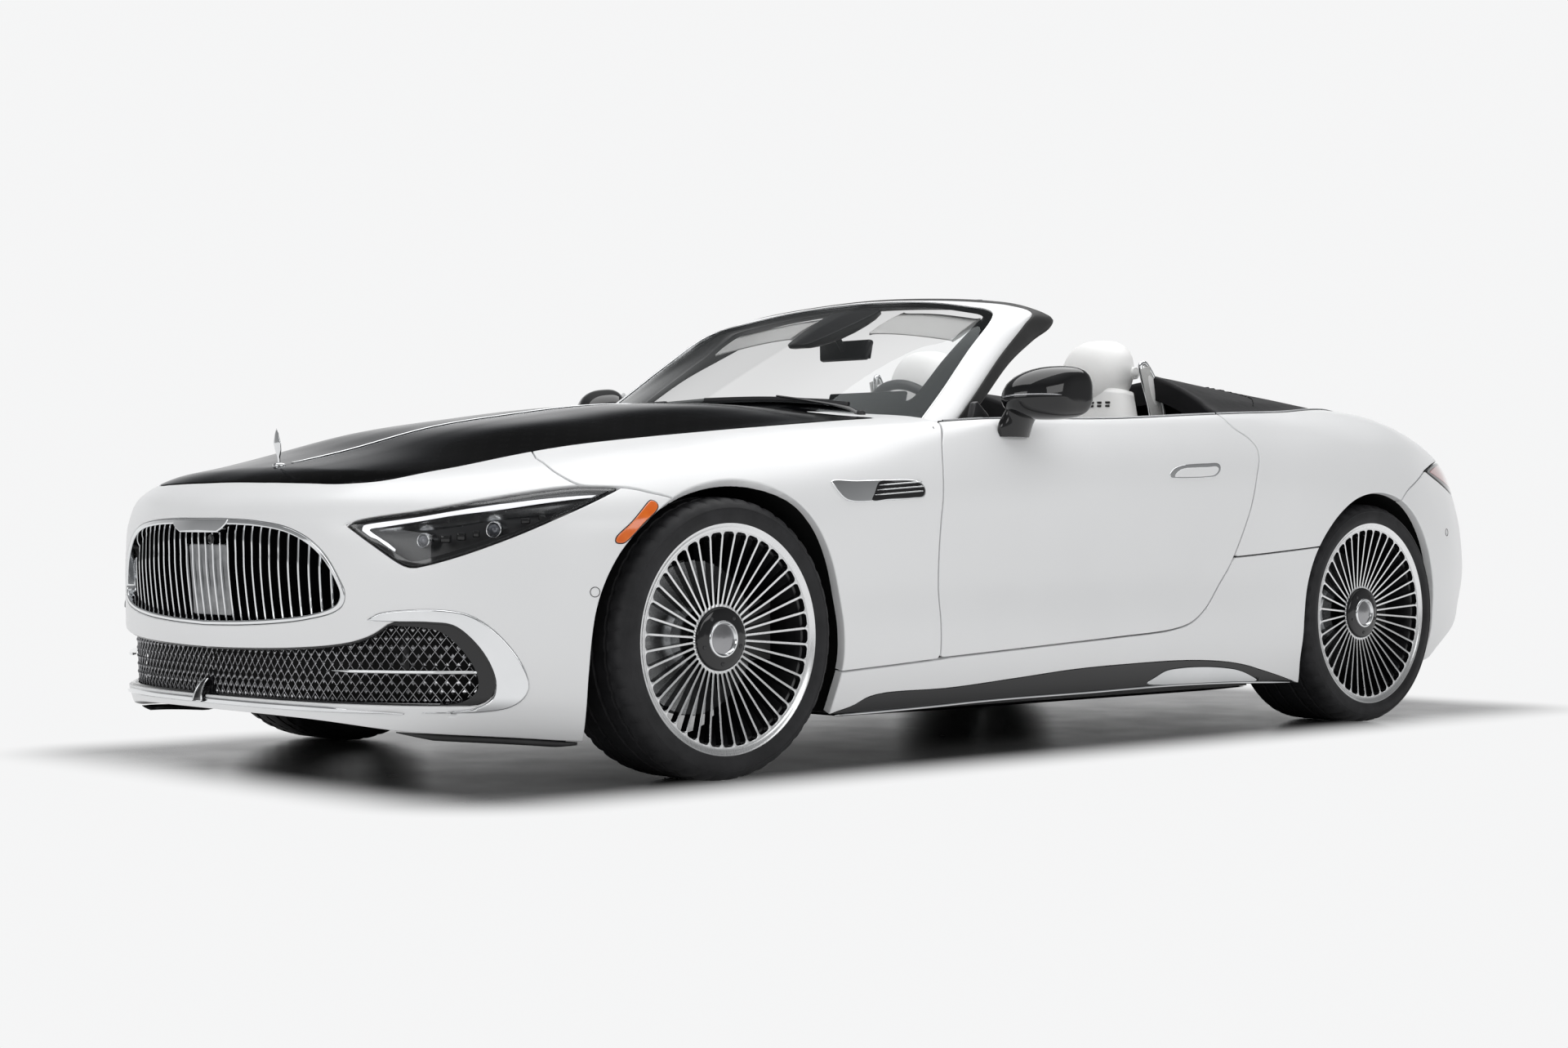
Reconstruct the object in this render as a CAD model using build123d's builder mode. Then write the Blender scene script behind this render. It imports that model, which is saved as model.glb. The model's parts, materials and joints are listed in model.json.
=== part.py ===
from build123d import *
import math
import os

# A two-seat open roadster, full size, in millimetres.
# +X is the car's left, -Y its front, +Z up. The origin is on the ground, under the middle of its length and width.
os.makedirs("parts", exist_ok=True)

# ---- driving dimensions ----
LENGTH = 4697.0
WHEELBASE = 2700.0
NOSE_Y, TAIL_Y = -LENGTH / 2, LENGTH / 2
FRONT_OVERHANG = 915.0
YF = NOSE_Y + FRONT_OVERHANG          # front wheel centre
YR = YF + WHEELBASE                   # rear wheel centre
TYRE_R_F, TYRE_R_R = 349.0, 346.0     # loaded radius = height of the wheel centre
TYRE_W_F, TYRE_W_R = 275.0, 305.0
TYRE_OUT = 941.0                      # x of the tyre's outer bulge
RIM_R = 288.0                         # bright edge of the rim
ARCH_R_F, ARCH_R_R = 390.0, 380.0     # visible arch opening
KINGPIN_X = 735.0
STEER_DEG = 32.0
GAP = 5.0                             # shut line of a panel that moves
SKIN = 36.0                           # a body wall
HOOD_T = 24.0
DOOR_SKIN_T, DOOR_TRIM_T = 48.0, 78.0
DOOR_FRONT_Y = -680.0
GROUND_CLEAR = 130.0

# ---- the body side: one row for each station along the car ----
# y, then the outer line as points (x, z) from the bottom edge up and over towards the middle
SIDE = [
    (-2000, (755, 135), (797, 200), (816, 280), (821, 380), (820, 520), (790, 658), (745, 708), (687, 739), (618, 758), (550, 769)),
    (-1900, (812, 135), (854, 200), (872, 280), (878, 380), (878, 520), (839, 687), (773, 736), (703, 764), (625, 782), (550, 792)),
    (-1800, (856, 135), (894, 200), (910, 280), (917, 380), (917, 520), (868, 704), (793, 755), (715, 783), (631, 803), (550, 816)),
    (-1680, (881, 135), (913, 200), (929, 280), (937, 380), (939, 520), (889, 715), (811, 772), (727, 803), (637, 824), (550, 842)),
    (-1550, (895, 135), (922, 200), (937, 280), (946, 380), (950, 520), (905, 725), (828, 789), (738, 822), (642, 842), (550, 862)),
    (-1430, (899, 135), (922, 200), (938, 280), (947, 380), (952, 520), (916, 731), (840, 800), (748, 837), (647, 857), (550, 877)),
    (-1250, (895, 135), (918, 200), (938, 280), (945, 380), (946, 520), (924, 736), (851, 811), (759, 855), (653, 878), (550, 900)),
    (-1050, (884, 135), (908, 200), (931, 280), (935, 380), (933, 520), (928, 738), (862, 821), (770, 872), (658, 897), (550, 919)),
    (-850, (874, 135), (899, 200), (922, 280), (925, 380), (920, 520), (928, 738), (876, 835), (782, 891), (662, 911), (550, 928)),
    (-680, (870, 135), (896, 200), (919, 280), (921, 380), (914, 520), (928, 738), (890, 849), (793, 908), (665, 922), (550, 934)),
    (-300, (866, 135), (891, 200), (914, 280), (915, 380), (906, 520), (924, 736), (899, 857), (810, 937), (672, 947), (550, 955)),
    (100, (865, 135), (890, 200), (912, 280), (914, 380), (904, 520), (923, 735), (901, 859), (819, 951), (677, 962), (550, 970)),
    (450, (870, 135), (895, 200), (917, 280), (919, 380), (911, 520), (928, 738), (909, 867), (828, 965), (681, 976), (550, 983)),
    (700, (879, 135), (903, 200), (925, 280), (928, 380), (924, 520), (938, 744), (916, 873), (835, 975), (684, 988), (550, 994)),
    (950, (888, 135), (910, 200), (932, 280), (939, 380), (941, 520), (949, 750), (918, 876), (833, 973), (687, 998), (550, 1003)),
    (1266, (891, 135), (912, 200), (934, 280), (948, 380), (957, 520), (951, 752), (919, 877), (829, 967), (687, 999), (550, 1002)),
    (1500, (874, 135), (898, 200), (918, 280), (935, 380), (944, 520), (936, 743), (905, 863), (818, 949), (682, 981), (550, 984)),
    (1700, (811, 135), (848, 200), (881, 280), (898, 380), (907, 520), (895, 719), (866, 825), (792, 907), (673, 949), (550, 954)),
    (1880, (701, 135), (762, 200), (820, 280), (839, 380), (850, 520), (834, 684), (809, 770), (756, 850), (659, 901), (550, 918)),
    (2020, (589, 135), (667, 200), (744, 280), (767, 380), (778, 520), (763, 643), (745, 708), (715, 784), (647, 858), (550, 889)),
    (2120, (426, 135), (564, 200), (670, 280), (700, 380), (712, 520), (700, 606), (687, 652), (666, 706), (627, 789), (550, 855)),
    (2200, (300, 135), (450, 200), (574, 280), (622, 380), (636, 520), (627, 564), (620, 588), (611, 617), (591, 662), (550, 735)),
]
# the nose and the tail: height, then the radius of the outline at the angles below, turning from the side to the middle
ANGLES = (0, 12, 24, 36, 46, 56, 66, 78, 90)
NOSE_CENTRE, TAIL_CENTRE = -1450.0, 1266.5
NOSE = [
    (135, 899, 906, 926, 934, 937, 926, 904, 876, 865),
    (170, 914, 926, 949, 956, 958, 945, 920, 890, 881),
    (240, 931, 947, 974, 980, 978, 959, 931, 899, 887),
    (300, 941, 955, 982, 987, 983, 961, 931, 897, 884),
    (460, 950, 962, 986, 990, 984, 964, 934, 899, 888),
    (550, 952, 963, 984, 985, 979, 963, 938, 906, 894),
    (620, 950, 959, 979, 973, 965, 957, 938, 910, 902),
    (660, 946, 951, 968, 961, 952, 945, 928, 901, 894),
    (690, 939, 937, 950, 944, 935, 929, 911, 883, 875),
    (715, 925, 917, 926, 918, 908, 901, 879, 847, 838),
    (735, 911, 898, 901, 890, 875, 865, 842, 808, 797),
    (755, 893, 875, 867, 850, 826, 811, 790, 758, 745),
    (775, 872, 845, 822, 793, 749, 720, 698, 678, 671),
]
TAIL = [
    (150, 896, 906, 921, 937, 954, 973, 958, 915, 891),
    (200, 912, 924, 945, 973, 998, 1022, 1010, 971, 952),
    (250, 927, 937, 964, 1006, 1042, 1071, 1061, 1024, 1006),
    (300, 937, 948, 978, 1028, 1069, 1103, 1095, 1060, 1043),
    (380, 948, 960, 990, 1039, 1083, 1121, 1117, 1084, 1068),
    (490, 955, 968, 998, 1049, 1094, 1133, 1129, 1097, 1081),
    (600, 958, 970, 999, 1046, 1085, 1118, 1110, 1076, 1062),
    (700, 955, 966, 991, 1031, 1064, 1092, 1082, 1048, 1036),
]
BAND = [
    (705, 955, 966, 991, 1030, 1063, 1091, 1081, 1047, 1035),
    (745, 952, 962, 985, 1020, 1051, 1079, 1070, 1037, 1025),
    (790, 946, 955, 976, 1006, 1034, 1063, 1056, 1026, 1016),
]
# the hood: station, then its height at these x
HOOD_X = (0, 200, 400, 550, 650, 720)
HOOD_ROWS = [
    (-2260, 729, 724, 702, 672, 640, 610),
    (-2200, 753, 751, 737, 690, 660, 630),
    (-2100, 779, 776, 765, 743, 707, 660),
    (-2000, 799, 796, 785, 769, 751, 724),
    (-1900, 822, 819, 808, 792, 777, 759),
    (-1800, 848, 846, 836, 816, 799, 782),
    (-1700, 874, 873, 862, 838, 818, 801),
    (-1550, 902, 901, 889, 862, 841, 826),
    (-1430, 920, 918, 905, 877, 856, 843),
    (-1300, 938, 936, 923, 894, 872, 859),
    (-1150, 955, 953, 940, 911, 889, 876),
    (-1000, 963, 961, 949, 923, 902, 890),
    (-850, 963, 961, 949, 928, 913, 904),
    (-700, 962, 959, 948, 933, 922, 916),
]
def lerp(table, at, col=1, key=0):
    """Straight-line value of a column of a table at a key."""
    rows = sorted(table, key=lambda r: r[key])
    if at <= rows[0][key]:
        return rows[0][col]
    for a, b in zip(rows, rows[1:]):
        if at <= b[key]:
            k = (at - a[key]) / (b[key] - a[key])
            return a[col] + k * (b[col] - a[col])
    return rows[-1][col]


def side(y, z_low=135.0):
    """Outer line of the body side at a station, from z_low up and over: [(x, z)]."""
    rows = sorted(SIDE)
    for a, b in zip(rows, rows[1:]):
        if y <= b[0]:
            break
    k = min(max((y - a[0]) / (b[0] - a[0]), 0.0), 1.0)
    line = [(p[0] + k * (q[0] - p[0]), p[1] + k * (q[1] - p[1])) for p, q in zip(a[1:], b[1:])]
    for i, (p, q) in enumerate(zip(line, line[1:])):
        if p[1] <= z_low < q[1]:
            c = (z_low - p[1]) / (q[1] - p[1])
            rest = line[i + 1:]
            return [(p[0] + c * (q[0] - p[0]), z_low)] + (rest[1:] if rest[0][1] - z_low < 12 else rest)
    return line


def xz(y):
    """The upright plane across the car at a station."""
    return Plane.XZ.offset(-y)


def inward(points, t):
    """The same open line moved inward (towards the middle and down) by t."""
    out = []
    for i, (x, z) in enumerate(points):
        a = points[max(i - 1, 0)]
        b = points[min(i + 1, len(points) - 1)]
        dx, dz = b[0] - a[0], b[1] - a[1]
        n = math.hypot(dx, dz)
        out.append((x - t * dz / n, z + t * dx / n))
    return out


def outline(plane, points):
    """A flat closed shape from its corners."""
    with BuildSketch(plane) as sketch:
        with BuildLine():
            Polyline(*points, close=True)
        make_face()
    return sketch.sketch


def strip_loft(stations, line, t):
    """A wall of thickness t lofted through an open line at each station."""
    sections = []
    for y in stations:
        outer = line(y)
        sections.append(outline(xz(y), outer + inward(outer, t)[::-1]).face())
    loft(sections, ruled=True)


def block(x0, x1, y0, y1, z0, z1, mode=Mode.ADD):
    with Locations(((x0 + x1) / 2, (y0 + y1) / 2, (z0 + z1) / 2)):
        Box(x1 - x0, y1 - y0, z1 - z0, mode=mode)


def side_prism(points, x0, x1, mode):
    """A prism along X from an outline in the side view, given as (y, z)."""
    extrude(outline(Plane.YZ.offset(x0), points), amount=x1 - x0, mode=mode)


def plan_prism(points, z0, z1, mode):
    """A prism along Z from an outline seen from above, given as (x, y)."""
    extrude(outline(Plane.XY.offset(z0), points), amount=z1 - z0, mode=mode)


def front_prism(points, y0, y1, mode):
    """A prism along Y from an outline in the front view, given as (x, z)."""
    extrude(outline(xz(y0), points), amount=-(y1 - y0), mode=mode)


def arch(yc, zc, r, x0, x1):
    """Clears a wheel opening: a cylinder along X, open downward."""
    with Locations(Plane(origin=((x0 + x1) / 2, yc, zc), z_dir=(1, 0, 0))):
        Cylinder(r, x1 - x0, mode=Mode.SUBTRACT)


made = []


def finish(builder, name):
    builder.part.label = name
    export_step(builder.part, f"parts/{name}.step")
    made.append(name)


def pair(left, name):
    """Writes a left piece and its mirrored right piece as two nodes."""
    finish(left, name + "_left")
    with BuildPart() as right:
        mirror(left.part, about=Plane.YZ)
    finish(right, name + "_right")


# ---- panel outlines ----
DOOR_OUT = [(DOOR_FRONT_Y, 274), (298, 322), (380, 345), (451, 384), (572, 514), (643, 660), (672, 782), (700, 868), (716, 920), (722, 1000), (-590, 1000), (-600, 930), (-612, 903), (-650, 850), (DOOR_FRONT_Y, 800)]
LAMP_OUT = [(-2256, 628), (-2182, 531), (-2155, 532), (-2042, 581), (-1874, 657), (-1723, 716), (-1842, 721), (-1944, 717), (-2069, 703), (-2196, 668)]
HOOD_EDGE = [(0, -2252), (160, -2249), (310, -2238), (430, -2210), (510, -2150), (560, -2030), (592, -1900), (618, -1760), (640, -1600), (660, -1434), (680, -1300), (694, -1150), (702, -1000), (706, -850), (712, -740)]
HOOD_REAR = [(700, -716), (560, -762), (300, -830), (0, -856)]
# line between the nose and the front wing, seen from the side
SEAM = [(-1921, 778), (-1903, 758), (-1864, 731), (-1842, 721), (-1723, 718), (-1614, 695), (-1500, 640)]


def grow(points, d):
    """A closed outline moved outward by d (inward if negative), at its corners."""
    n = len(points)
    area = sum(points[i][0] * points[(i + 1) % n][1] - points[(i + 1) % n][0] * points[i][1] for i in range(n))
    s = 1 if area > 0 else -1
    out = []
    for i in range(n):
        a, p, b = points[i - 1], points[i], points[(i + 1) % n]
        u = (p[0] - a[0], p[1] - a[1])
        v = (b[0] - p[0], b[1] - p[1])
        lu, lv = math.hypot(*u), math.hypot(*v)
        nu, nv = (s * u[1] / lu, -s * u[0] / lu), (s * v[1] / lv, -s * v[0] / lv)
        m = (nu[0] + nv[0], nu[1] + nv[1])
        k = max(0.35, (1 + nu[0] * nv[0] + nu[1] * nv[1]) / 2) ** 0.5
        lm = math.hypot(*m) or 1
        out.append((p[0] + d * m[0] / lm / k, p[1] + d * m[1] / lm / k))
    return out


# ---- doors: an outer shell panel and the trim box behind it ----
DOOR_STATIONS = [-690, -300, 100, 450, 740]
with BuildPart() as door:
    strip_loft(DOOR_STATIONS, lambda y: side(y, 270.0)[:-1], DOOR_SKIN_T)
    side_prism(DOOR_OUT, 700, 1000, Mode.INTERSECT)
    block(500, 838, -1000, 1000, 100, 1100, mode=Mode.SUBTRACT)
pair(door, "door")

TRIM_OUT = [(-650, 896), (-655, 330), (250, 372), (395, 432), (490, 540), (560, 670), (590, 780), (600, 896)]
with BuildPart() as trim:
    sections = []
    for y in DOOR_STATIONS:
        outer = inward(side(y, 270.0), DOOR_SKIN_T + 1.0)[:-2]
        inner = [(x - DOOR_TRIM_T, z) for x, z in outer]
        sections.append(outline(xz(y), outer + inner[::-1]).face())
    loft(sections, ruled=True)
    side_prism(TRIM_OUT, 765, 1000, Mode.INTERSECT)
pair(trim, "door_trim")

# ---- front wing ----
ARCH_OUT = [(-1845, 60), (-1841, 152), (-1840, 270), (-1821, 444), (-1769, 558), (-1675, 648), (-1608, 693), (-1505, 725), (-1388, 739), (-1284, 715), (-1183, 655), (-1090, 531), (-1045, 384), (-1049, 253), (-1056, 60)]
with BuildPart() as wing:
    strip_loft([-1935, -1800, -1680, -1550, -1430, -1250, -1050, -850, -680, -596], lambda y: side(y, 262.0), SKIN)
    # above the seam with the nose, in front of the door and beside the hood
    side_prism([(y, z + 4) for y, z in SEAM] + [(-1433, 349), (-1000, 253), (-560, 276), (-560, 1000), (-1921, 1000)], 400, 1000, Mode.INTERSECT)
    side_prism(grow(DOOR_OUT, GAP), 700, 1000, Mode.SUBTRACT)
    plan_prism([(x + GAP, y) for x, y in HOOD_EDGE[5:]] + [(717, -560), (1000, -560), (1000, -2030)], 200, 1000, Mode.INTERSECT)
    block(600, 833, -645, -500, 700, 1000, mode=Mode.SUBTRACT)
    side_prism(ARCH_OUT, 400, 1000, Mode.SUBTRACT)
pair(wing, "front_wing")


# ---- nose: one shell for the bumper and the panel over it ----
def plan_outline(row, centre, way, d, dz=0.0):
    """The closed outline of nose or tail at one height, d inside the outer skin. way is -1 at the nose and 1 at the tail."""
    half = []
    for angle, r in zip(ANGLES, row[1:]):
        a = math.radians(angle)
        half.append(((r - d) * math.cos(a), centre + way * (r - d) * math.sin(a)))
    half[-1] = (0.0, half[-1][1])
    back = centre - way * 60.0
    half = [(half[0][0], back)] + half
    return outline(Plane.XY.offset(row[0] + dz), half + [(-x, y) for x, y in half[-2::-1]]).face()


def plan_shell(rows, centre, way, t, open_low=True, open_high=True):
    """A hollow nose or tail, lofted upward through its outlines."""
    loft([plan_outline(r, centre, way, 0.0) for r in rows], ruled=True)
    inner = [plan_outline(r, centre, way, t) for r in rows]
    inner[0] = plan_outline(rows[0], centre, way, t, -5.0 if open_low else t)
    inner[-1] = plan_outline(rows[-1], centre, way, t, 5.0 if open_high else -t)
    loft(inner, ruled=True, mode=Mode.SUBTRACT)


GRILLE = [(0, 642), (250, 634), (370, 603), (460, 548), (522, 465), (500, 430), (420, 407), (250, 391), (0, 385)]
INTAKE = [(0, 352), (300, 352), (380, 380), (470, 412), (640, 408), (720, 352), (745, 285), (720, 232), (640, 212), (0, 206)]


def both(half):
    """A front outline from its left half, both ends on the middle line."""
    return half + [(-x, z) for x, z in half[-2:0:-1]]


with BuildPart() as nose:
    plan_shell(NOSE, NOSE_CENTRE, -1, 30.0)
    front_prism(both(GRILLE), -2500, -2150, Mode.SUBTRACT)
    front_prism(both(INTAKE), -2500, -1950, Mode.SUBTRACT)
    # the hood begins behind a curved front edge; the wings begin above the seam
    hood_front = [(x + (GAP if x > 500 else 0), y - GAP) for x, y in HOOD_EDGE[:8]]
    plan_prism(hood_front + [(618, -1300)] + [(-618, -1300)] + [(-x, y) for x, y in hood_front[:0:-1]], 640, 1200, Mode.SUBTRACT)
    side_prism([(y, z - 3) for y, z in SEAM] + [(-1380, 500), (-1380, 1000), (-1921, 1000)], -1000, 1000, Mode.SUBTRACT)
    block(-700, 700, -1900, -1300, 600, 900, mode=Mode.SUBTRACT)
    for x0, x1 in ((370, 1000), (-1000, -370)):
        side_prism(grow(LAMP_OUT, 1.5), x0, x1, Mode.SUBTRACT)
    side_prism(ARCH_OUT, -1000, 1000, Mode.SUBTRACT)
    block(-1000, 1000, -1840, -1300, 100, 600, mode=Mode.SUBTRACT)
finish(nose, "front_bumper")


# ---- lamps, grille and lower intake, standing inside their openings ----
with BuildPart() as lamps:
    rows = [r for r in NOSE if 500 < r[0] or r[0] == 460]
    loft([plan_outline(r, NOSE_CENTRE, -1, 3.0) for r in rows[:-2]], ruled=True)
    loft([plan_outline(r, NOSE_CENTRE, -1, 55.0, -1.0 if r is rows[0] else 0.0) for r in rows[:-2]], ruled=True, mode=Mode.SUBTRACT)
    block(-380, 380, -2500, -1300, 400, 900, mode=Mode.SUBTRACT)
    side_prism(grow(LAMP_OUT, -2.0), -1000, 1000, Mode.INTERSECT)
finish(lamps, "headlamps")

with BuildPart() as grille:
    inset = [(x * 0.992, 512 + (z - 512) * 0.985) for x, z in both(GRILLE)]
    front_prism(inset, -2290, -2265, Mode.ADD)
    with Locations(*[(x, -2303, 512) for x in range(-495, 496, 33)]):
        Box(7, 30, 300)
    front_prism(inset, -2400, -2200, Mode.INTERSECT)
finish(grille, "grille")

with BuildPart() as intake:
    inset = [(x * 0.99, 300 + (z - 300) * 0.98) for x, z in both(INTAKE)]
    front_prism(inset, -2235, -2210, Mode.ADD)
finish(intake, "lower_grille")

# ---- hood ----
with BuildPart() as hood:
    rows = []
    for row in HOOD_ROWS:
        half = list(zip(HOOD_X, row[1:]))[::-1]
        outer = half + [(-x, z) for x, z in half[-2::-1]]
        rows.append(outline(xz(row[0]), outer + [(x, z - HOOD_T) for x, z in outer[::-1]]).face())
    loft(rows, ruled=True)
    half = HOOD_EDGE + HOOD_REAR
    plan_prism(half + [(-x, y) for x, y in half[-2:0:-1]], 500, 1200, Mode.INTERSECT)
finish(hood, "hood")

with BuildPart() as ornament:
    with Locations((0, -2110, 786)):
        Cylinder(14, 24)
    with BuildSketch(Plane.YZ.offset(-3)):
        with BuildLine():
            Polyline((-2121, 786), (-2099, 786), (-2100, 800), (-2118, 850), (-2130, 856), (-2134, 846), (-2118, 800), close=True)
        make_face()
    extrude(amount=6)
    add(hood.part, mode=Mode.SUBTRACT)
finish(ornament, "hood_ornament")

# ---- cowl, windscreen and its frame ----
# x; y and z of the glass at its foot and at its head
SCREEN = [(0, -738, 962, -75, 1296), (300, -703, 954, -86, 1283), (500, -632, 941, -112, 1256), (600, -577, 932, -142, 1212), (690, -522, 926, -497, 943)]


def across(rows, section):
    """A ruled loft along X through a closed outline (y, z) for each row, for the whole width."""
    full = [(-r[0],) + tuple(r[1:]) for r in rows[:0:-1]] + list(rows)
    loft([outline(Plane.YZ.offset(r[0]), section(r)).face() for r in full], ruled=True)


with BuildPart() as glass:
    across(SCREEN, lambda r: [(r[1], r[2]), (r[3], r[4]), (r[3] + 4, r[4] - 5), (r[1] + 4, r[2] - 5)])
finish(glass, "windshield")

HEADER = [(0, -70, 1297), (300, -81, 1284), (500, -107, 1257), (600, -137, 1213), (624, -150, 1196)]
with BuildPart() as frame:
    across(HEADER, lambda r: [(r[1], r[2]), (r[1] + 26, r[2] + 14), (r[1] + 78, r[2] + 4), (r[1] + 70, r[2] - 24), (r[1] + 8, r[2] - 12)])
    for s in (1, -1):
        quads = [
            (903, [(707, -548), (826, -638), (828, -450), (742, -400)]),
            (1060, [(657, -352), (716, -420), (722, -300), (688, -262)]),
            (1205, [(610, -150), (650, -205), (668, -105), (642, -60)]),
            (1240, [(600, -105), (628, -116), (642, -70), (614, -40)]),
        ]
        loft([outline(Plane.XY.offset(z), [(s * x, y) for x, y in q]).face() for z, q in quads], ruled=True)
finish(frame, "windshield_frame")

# x; y of the front edge; z there; y of the rear edge; z there
COWL = [(0, -842, 944, -744, 950), (300, -816, 938, -709, 944), (560, -748, 925, -606, 930), (700, -694, 908, -556, 912)]
with BuildPart() as cowl:
    across(COWL, lambda r: [(r[1], r[2]), (r[3], r[4]), (r[3], r[4] - 60), (r[1], r[2] - 60)])
    for s in (1, -1):
        block(min(s * 698, s * 755), max(s * 698, s * 755), -670, -410, 835, 866)
finish(cowl, "cowl")

with BuildPart() as wipers:
    # each blade lies just behind the foot of the glass
    for s in (1, -1):
        foot = [(r[0], r[1] + 42, r[2] + 50 * (r[4] - r[2]) / (r[3] - r[1]) + 5) for r in SCREEN[:4]]
        foot[0] = (12, foot[0][1], foot[0][2])
        loft([outline(Plane.YZ.offset(s * x), [(y - 8, z), (y + 8, z), (y + 8, z + 12), (y - 8, z + 12)]).face() for x, y, z in foot], ruled=True)
finish(wipers, "wipers")

# ---- sills, rear quarters, tail ----
SILL_OUT = [(-1075, 100), (-1068, 248), (-680, 264), (-600, 300), (500, 524), (930, 550), (960, 300), (900, 100)]
ARCH_R = [(952, 60), (944, 140), (913, 231), (912, 383), (956, 507), (1068, 646), (1173, 705), (1286, 726), (1403, 706), (1525, 612), (1619, 472), (1650, 383), (1678, 310), (1700, 197), (1700, 60)]
with BuildPart() as sill:
    strip_loft([-1090, -850, -700, -300, 150, 600, 900, 1000], lambda y: side(y, 135.0)[:6], 28.0)
    side_prism(SILL_OUT, 700, 1000, Mode.INTERSECT)
    side_prism(grow(DOOR_OUT, GAP), 700, 1000, Mode.SUBTRACT)
    side_prism(ARCH_OUT, 400, 1000, Mode.SUBTRACT)
    side_prism(ARCH_R, 400, 1100, Mode.SUBTRACT)
pair(sill, "side_sill")

# plan line between the lid and the rear quarter: (x, y)
LID_EDGE = [(806, 600), (806, 1300), (776, 1447), (772, 1540), (748, 1650), (705, 1800), (655, 1950), (600, 2080), (560, 2200), (545, 2300)]
QUARTER_OUT = [(480, 529), (905, 555), (1200, 560), (1505, 722), (1604, 797), (1680, 797), (2300, 797), (2300, 1100), (480, 1100)]
with BuildPart() as quarter:
    strip_loft([560, 950, 1266, 1500, 1700, 1880, 2020, 2120, 2190], lambda y: side(y, 400.0), SKIN)
    side_prism(QUARTER_OUT, 300, 1000, Mode.INTERSECT)
    side_prism(grow(DOOR_OUT, GAP), 700, 1000, Mode.SUBTRACT)
    plan_prism([(x + GAP, y) for x, y in LID_EDGE] + [(1100, 2300), (1100, 500), (811, 500)], 400, 1200, Mode.INTERSECT)
    side_prism(ARCH_R, 400, 1100, Mode.SUBTRACT)
pair(quarter, "rear_quarter")

with BuildPart() as tail:
    plan_shell(TAIL, TAIL_CENTRE, 1, 30.0)
    block(-1000, 1000, 1100, 1400, 100, 800, mode=Mode.SUBTRACT)
    side_prism([(1000, 300), (1300, 500), (1505, 716), (1400, 900), (1000, 900)], -1000, 1000, Mode.SUBTRACT)
    side_prism(ARCH_R, -1100, 1100, Mode.SUBTRACT)
    for s in (1, -1):
        block(s * 380 - 50, s * 380 + 50, 2000, 2400, 165, 265, mode=Mode.SUBTRACT)
finish(tail, "rear_bumper")

with BuildPart() as tail_lamps:
    plan_shell(BAND, TAIL_CENTRE, 1, 40.0)
    block(-1000, 1000, 1100, 1640, 600, 900, mode=Mode.SUBTRACT)
    block(-420, 420, 1900, 2400, 600, 900, mode=Mode.SUBTRACT)
finish(tail_lamps, "tail_lamps")

# ---- tonneau cover behind the seats and trunk lid ----
TONNEAU = [(772, 1000, 1034, 1084, 1044, 988), (900, 1000, 1035, 1075, 1032, 992), (1200, 988, 1015, 1045, 1018, 990), (1440, 982, 998, 1014, 996, 972)]
with BuildPart() as tonneau:
    rows = []
    for y, z0, z1, z2, z3, z4 in TONNEAU:
        half = [(lerp([(b, a) for a, b in LID_EDGE], y) - 2, z4 - 4), (640, z3), (440, z2), (200, z1), (0, z0)]
        outer = half + [(-x, z) for x, z in half[-2::-1]]
        rows.append(outline(xz(y), outer + [(x, z - 22) for x, z in outer[::-1]]).face())
    loft(rows, ruled=True)
finish(tonneau, "tonneau_cover")

# x; how far the lid drops; how far its rear edge is pulled in
LID_ROWS = [(0, 0, 0), (300, 3, 14), (480, 8, 42), (600, 16, 100), (720, 26, 170), (790, 34, 220)]
LID_Z = [(1450, 984), (1700, 953), (2000, 904), (2200, 869)]
with BuildPart() as lid:
    across(LID_ROWS, lambda r: [(y, z - r[1]) for y, z in LID_Z[:3]] + [(2200 - r[2] * 0.8, 868 - r[1]), (2262 - r[2], 856 - r[1] * 0.6), (2288 - r[2], 706), (2262 - r[2], 706), (2234 - r[2], 828 - r[1] * 0.6), (2190 - r[2] * 0.8, 842 - r[1])] + [(y, z - 24 - r[1]) for y, z in LID_Z[2::-1]])
    half = [(x, y) for x, y in LID_EDGE[2:]]
    half[0] = (776, 1450)
    plan_prism(half + [(-x, y) for x, y in half[::-1]], 500, 1200, Mode.INTERSECT)
    for x0, x1 in ((415, 1000), (-1000, -415)):
        block(x0, x1, 1990, 2400, 600, 796, mode=Mode.SUBTRACT)
finish(lid, "trunk_lid")

# ---- mirrors ----
with BuildPart() as mirror_l:
    rows = [(884, -425, -290, 948, 1010), (915, -428, -262, 934, 1045), (985, -405, -222, 931, 1056), (1035, -365, -205, 938, 1050), (1050, -330, -212, 955, 1035)]
    loft([outline(Plane.YZ.offset(x), [(y0, z0 + 12), (y0 + 22, z1 - 10), (y1 - 18, z1), (y1, z1 - 16), (y1, z0 + 14), (y1 - 22, z0)]).face() for x, y0, y1, z0, z1 in rows], ruled=True)
    loft([outline(Plane.XY.offset(z), [(x, -425), (x + 30, -425), (x + 30, -300), (x, -300)]).face() for z, x in ((900, 866), (915, 868), (950, 890))], ruled=True)
    add(door.part, mode=Mode.SUBTRACT)
pair(mirror_l, "mirror")

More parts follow.
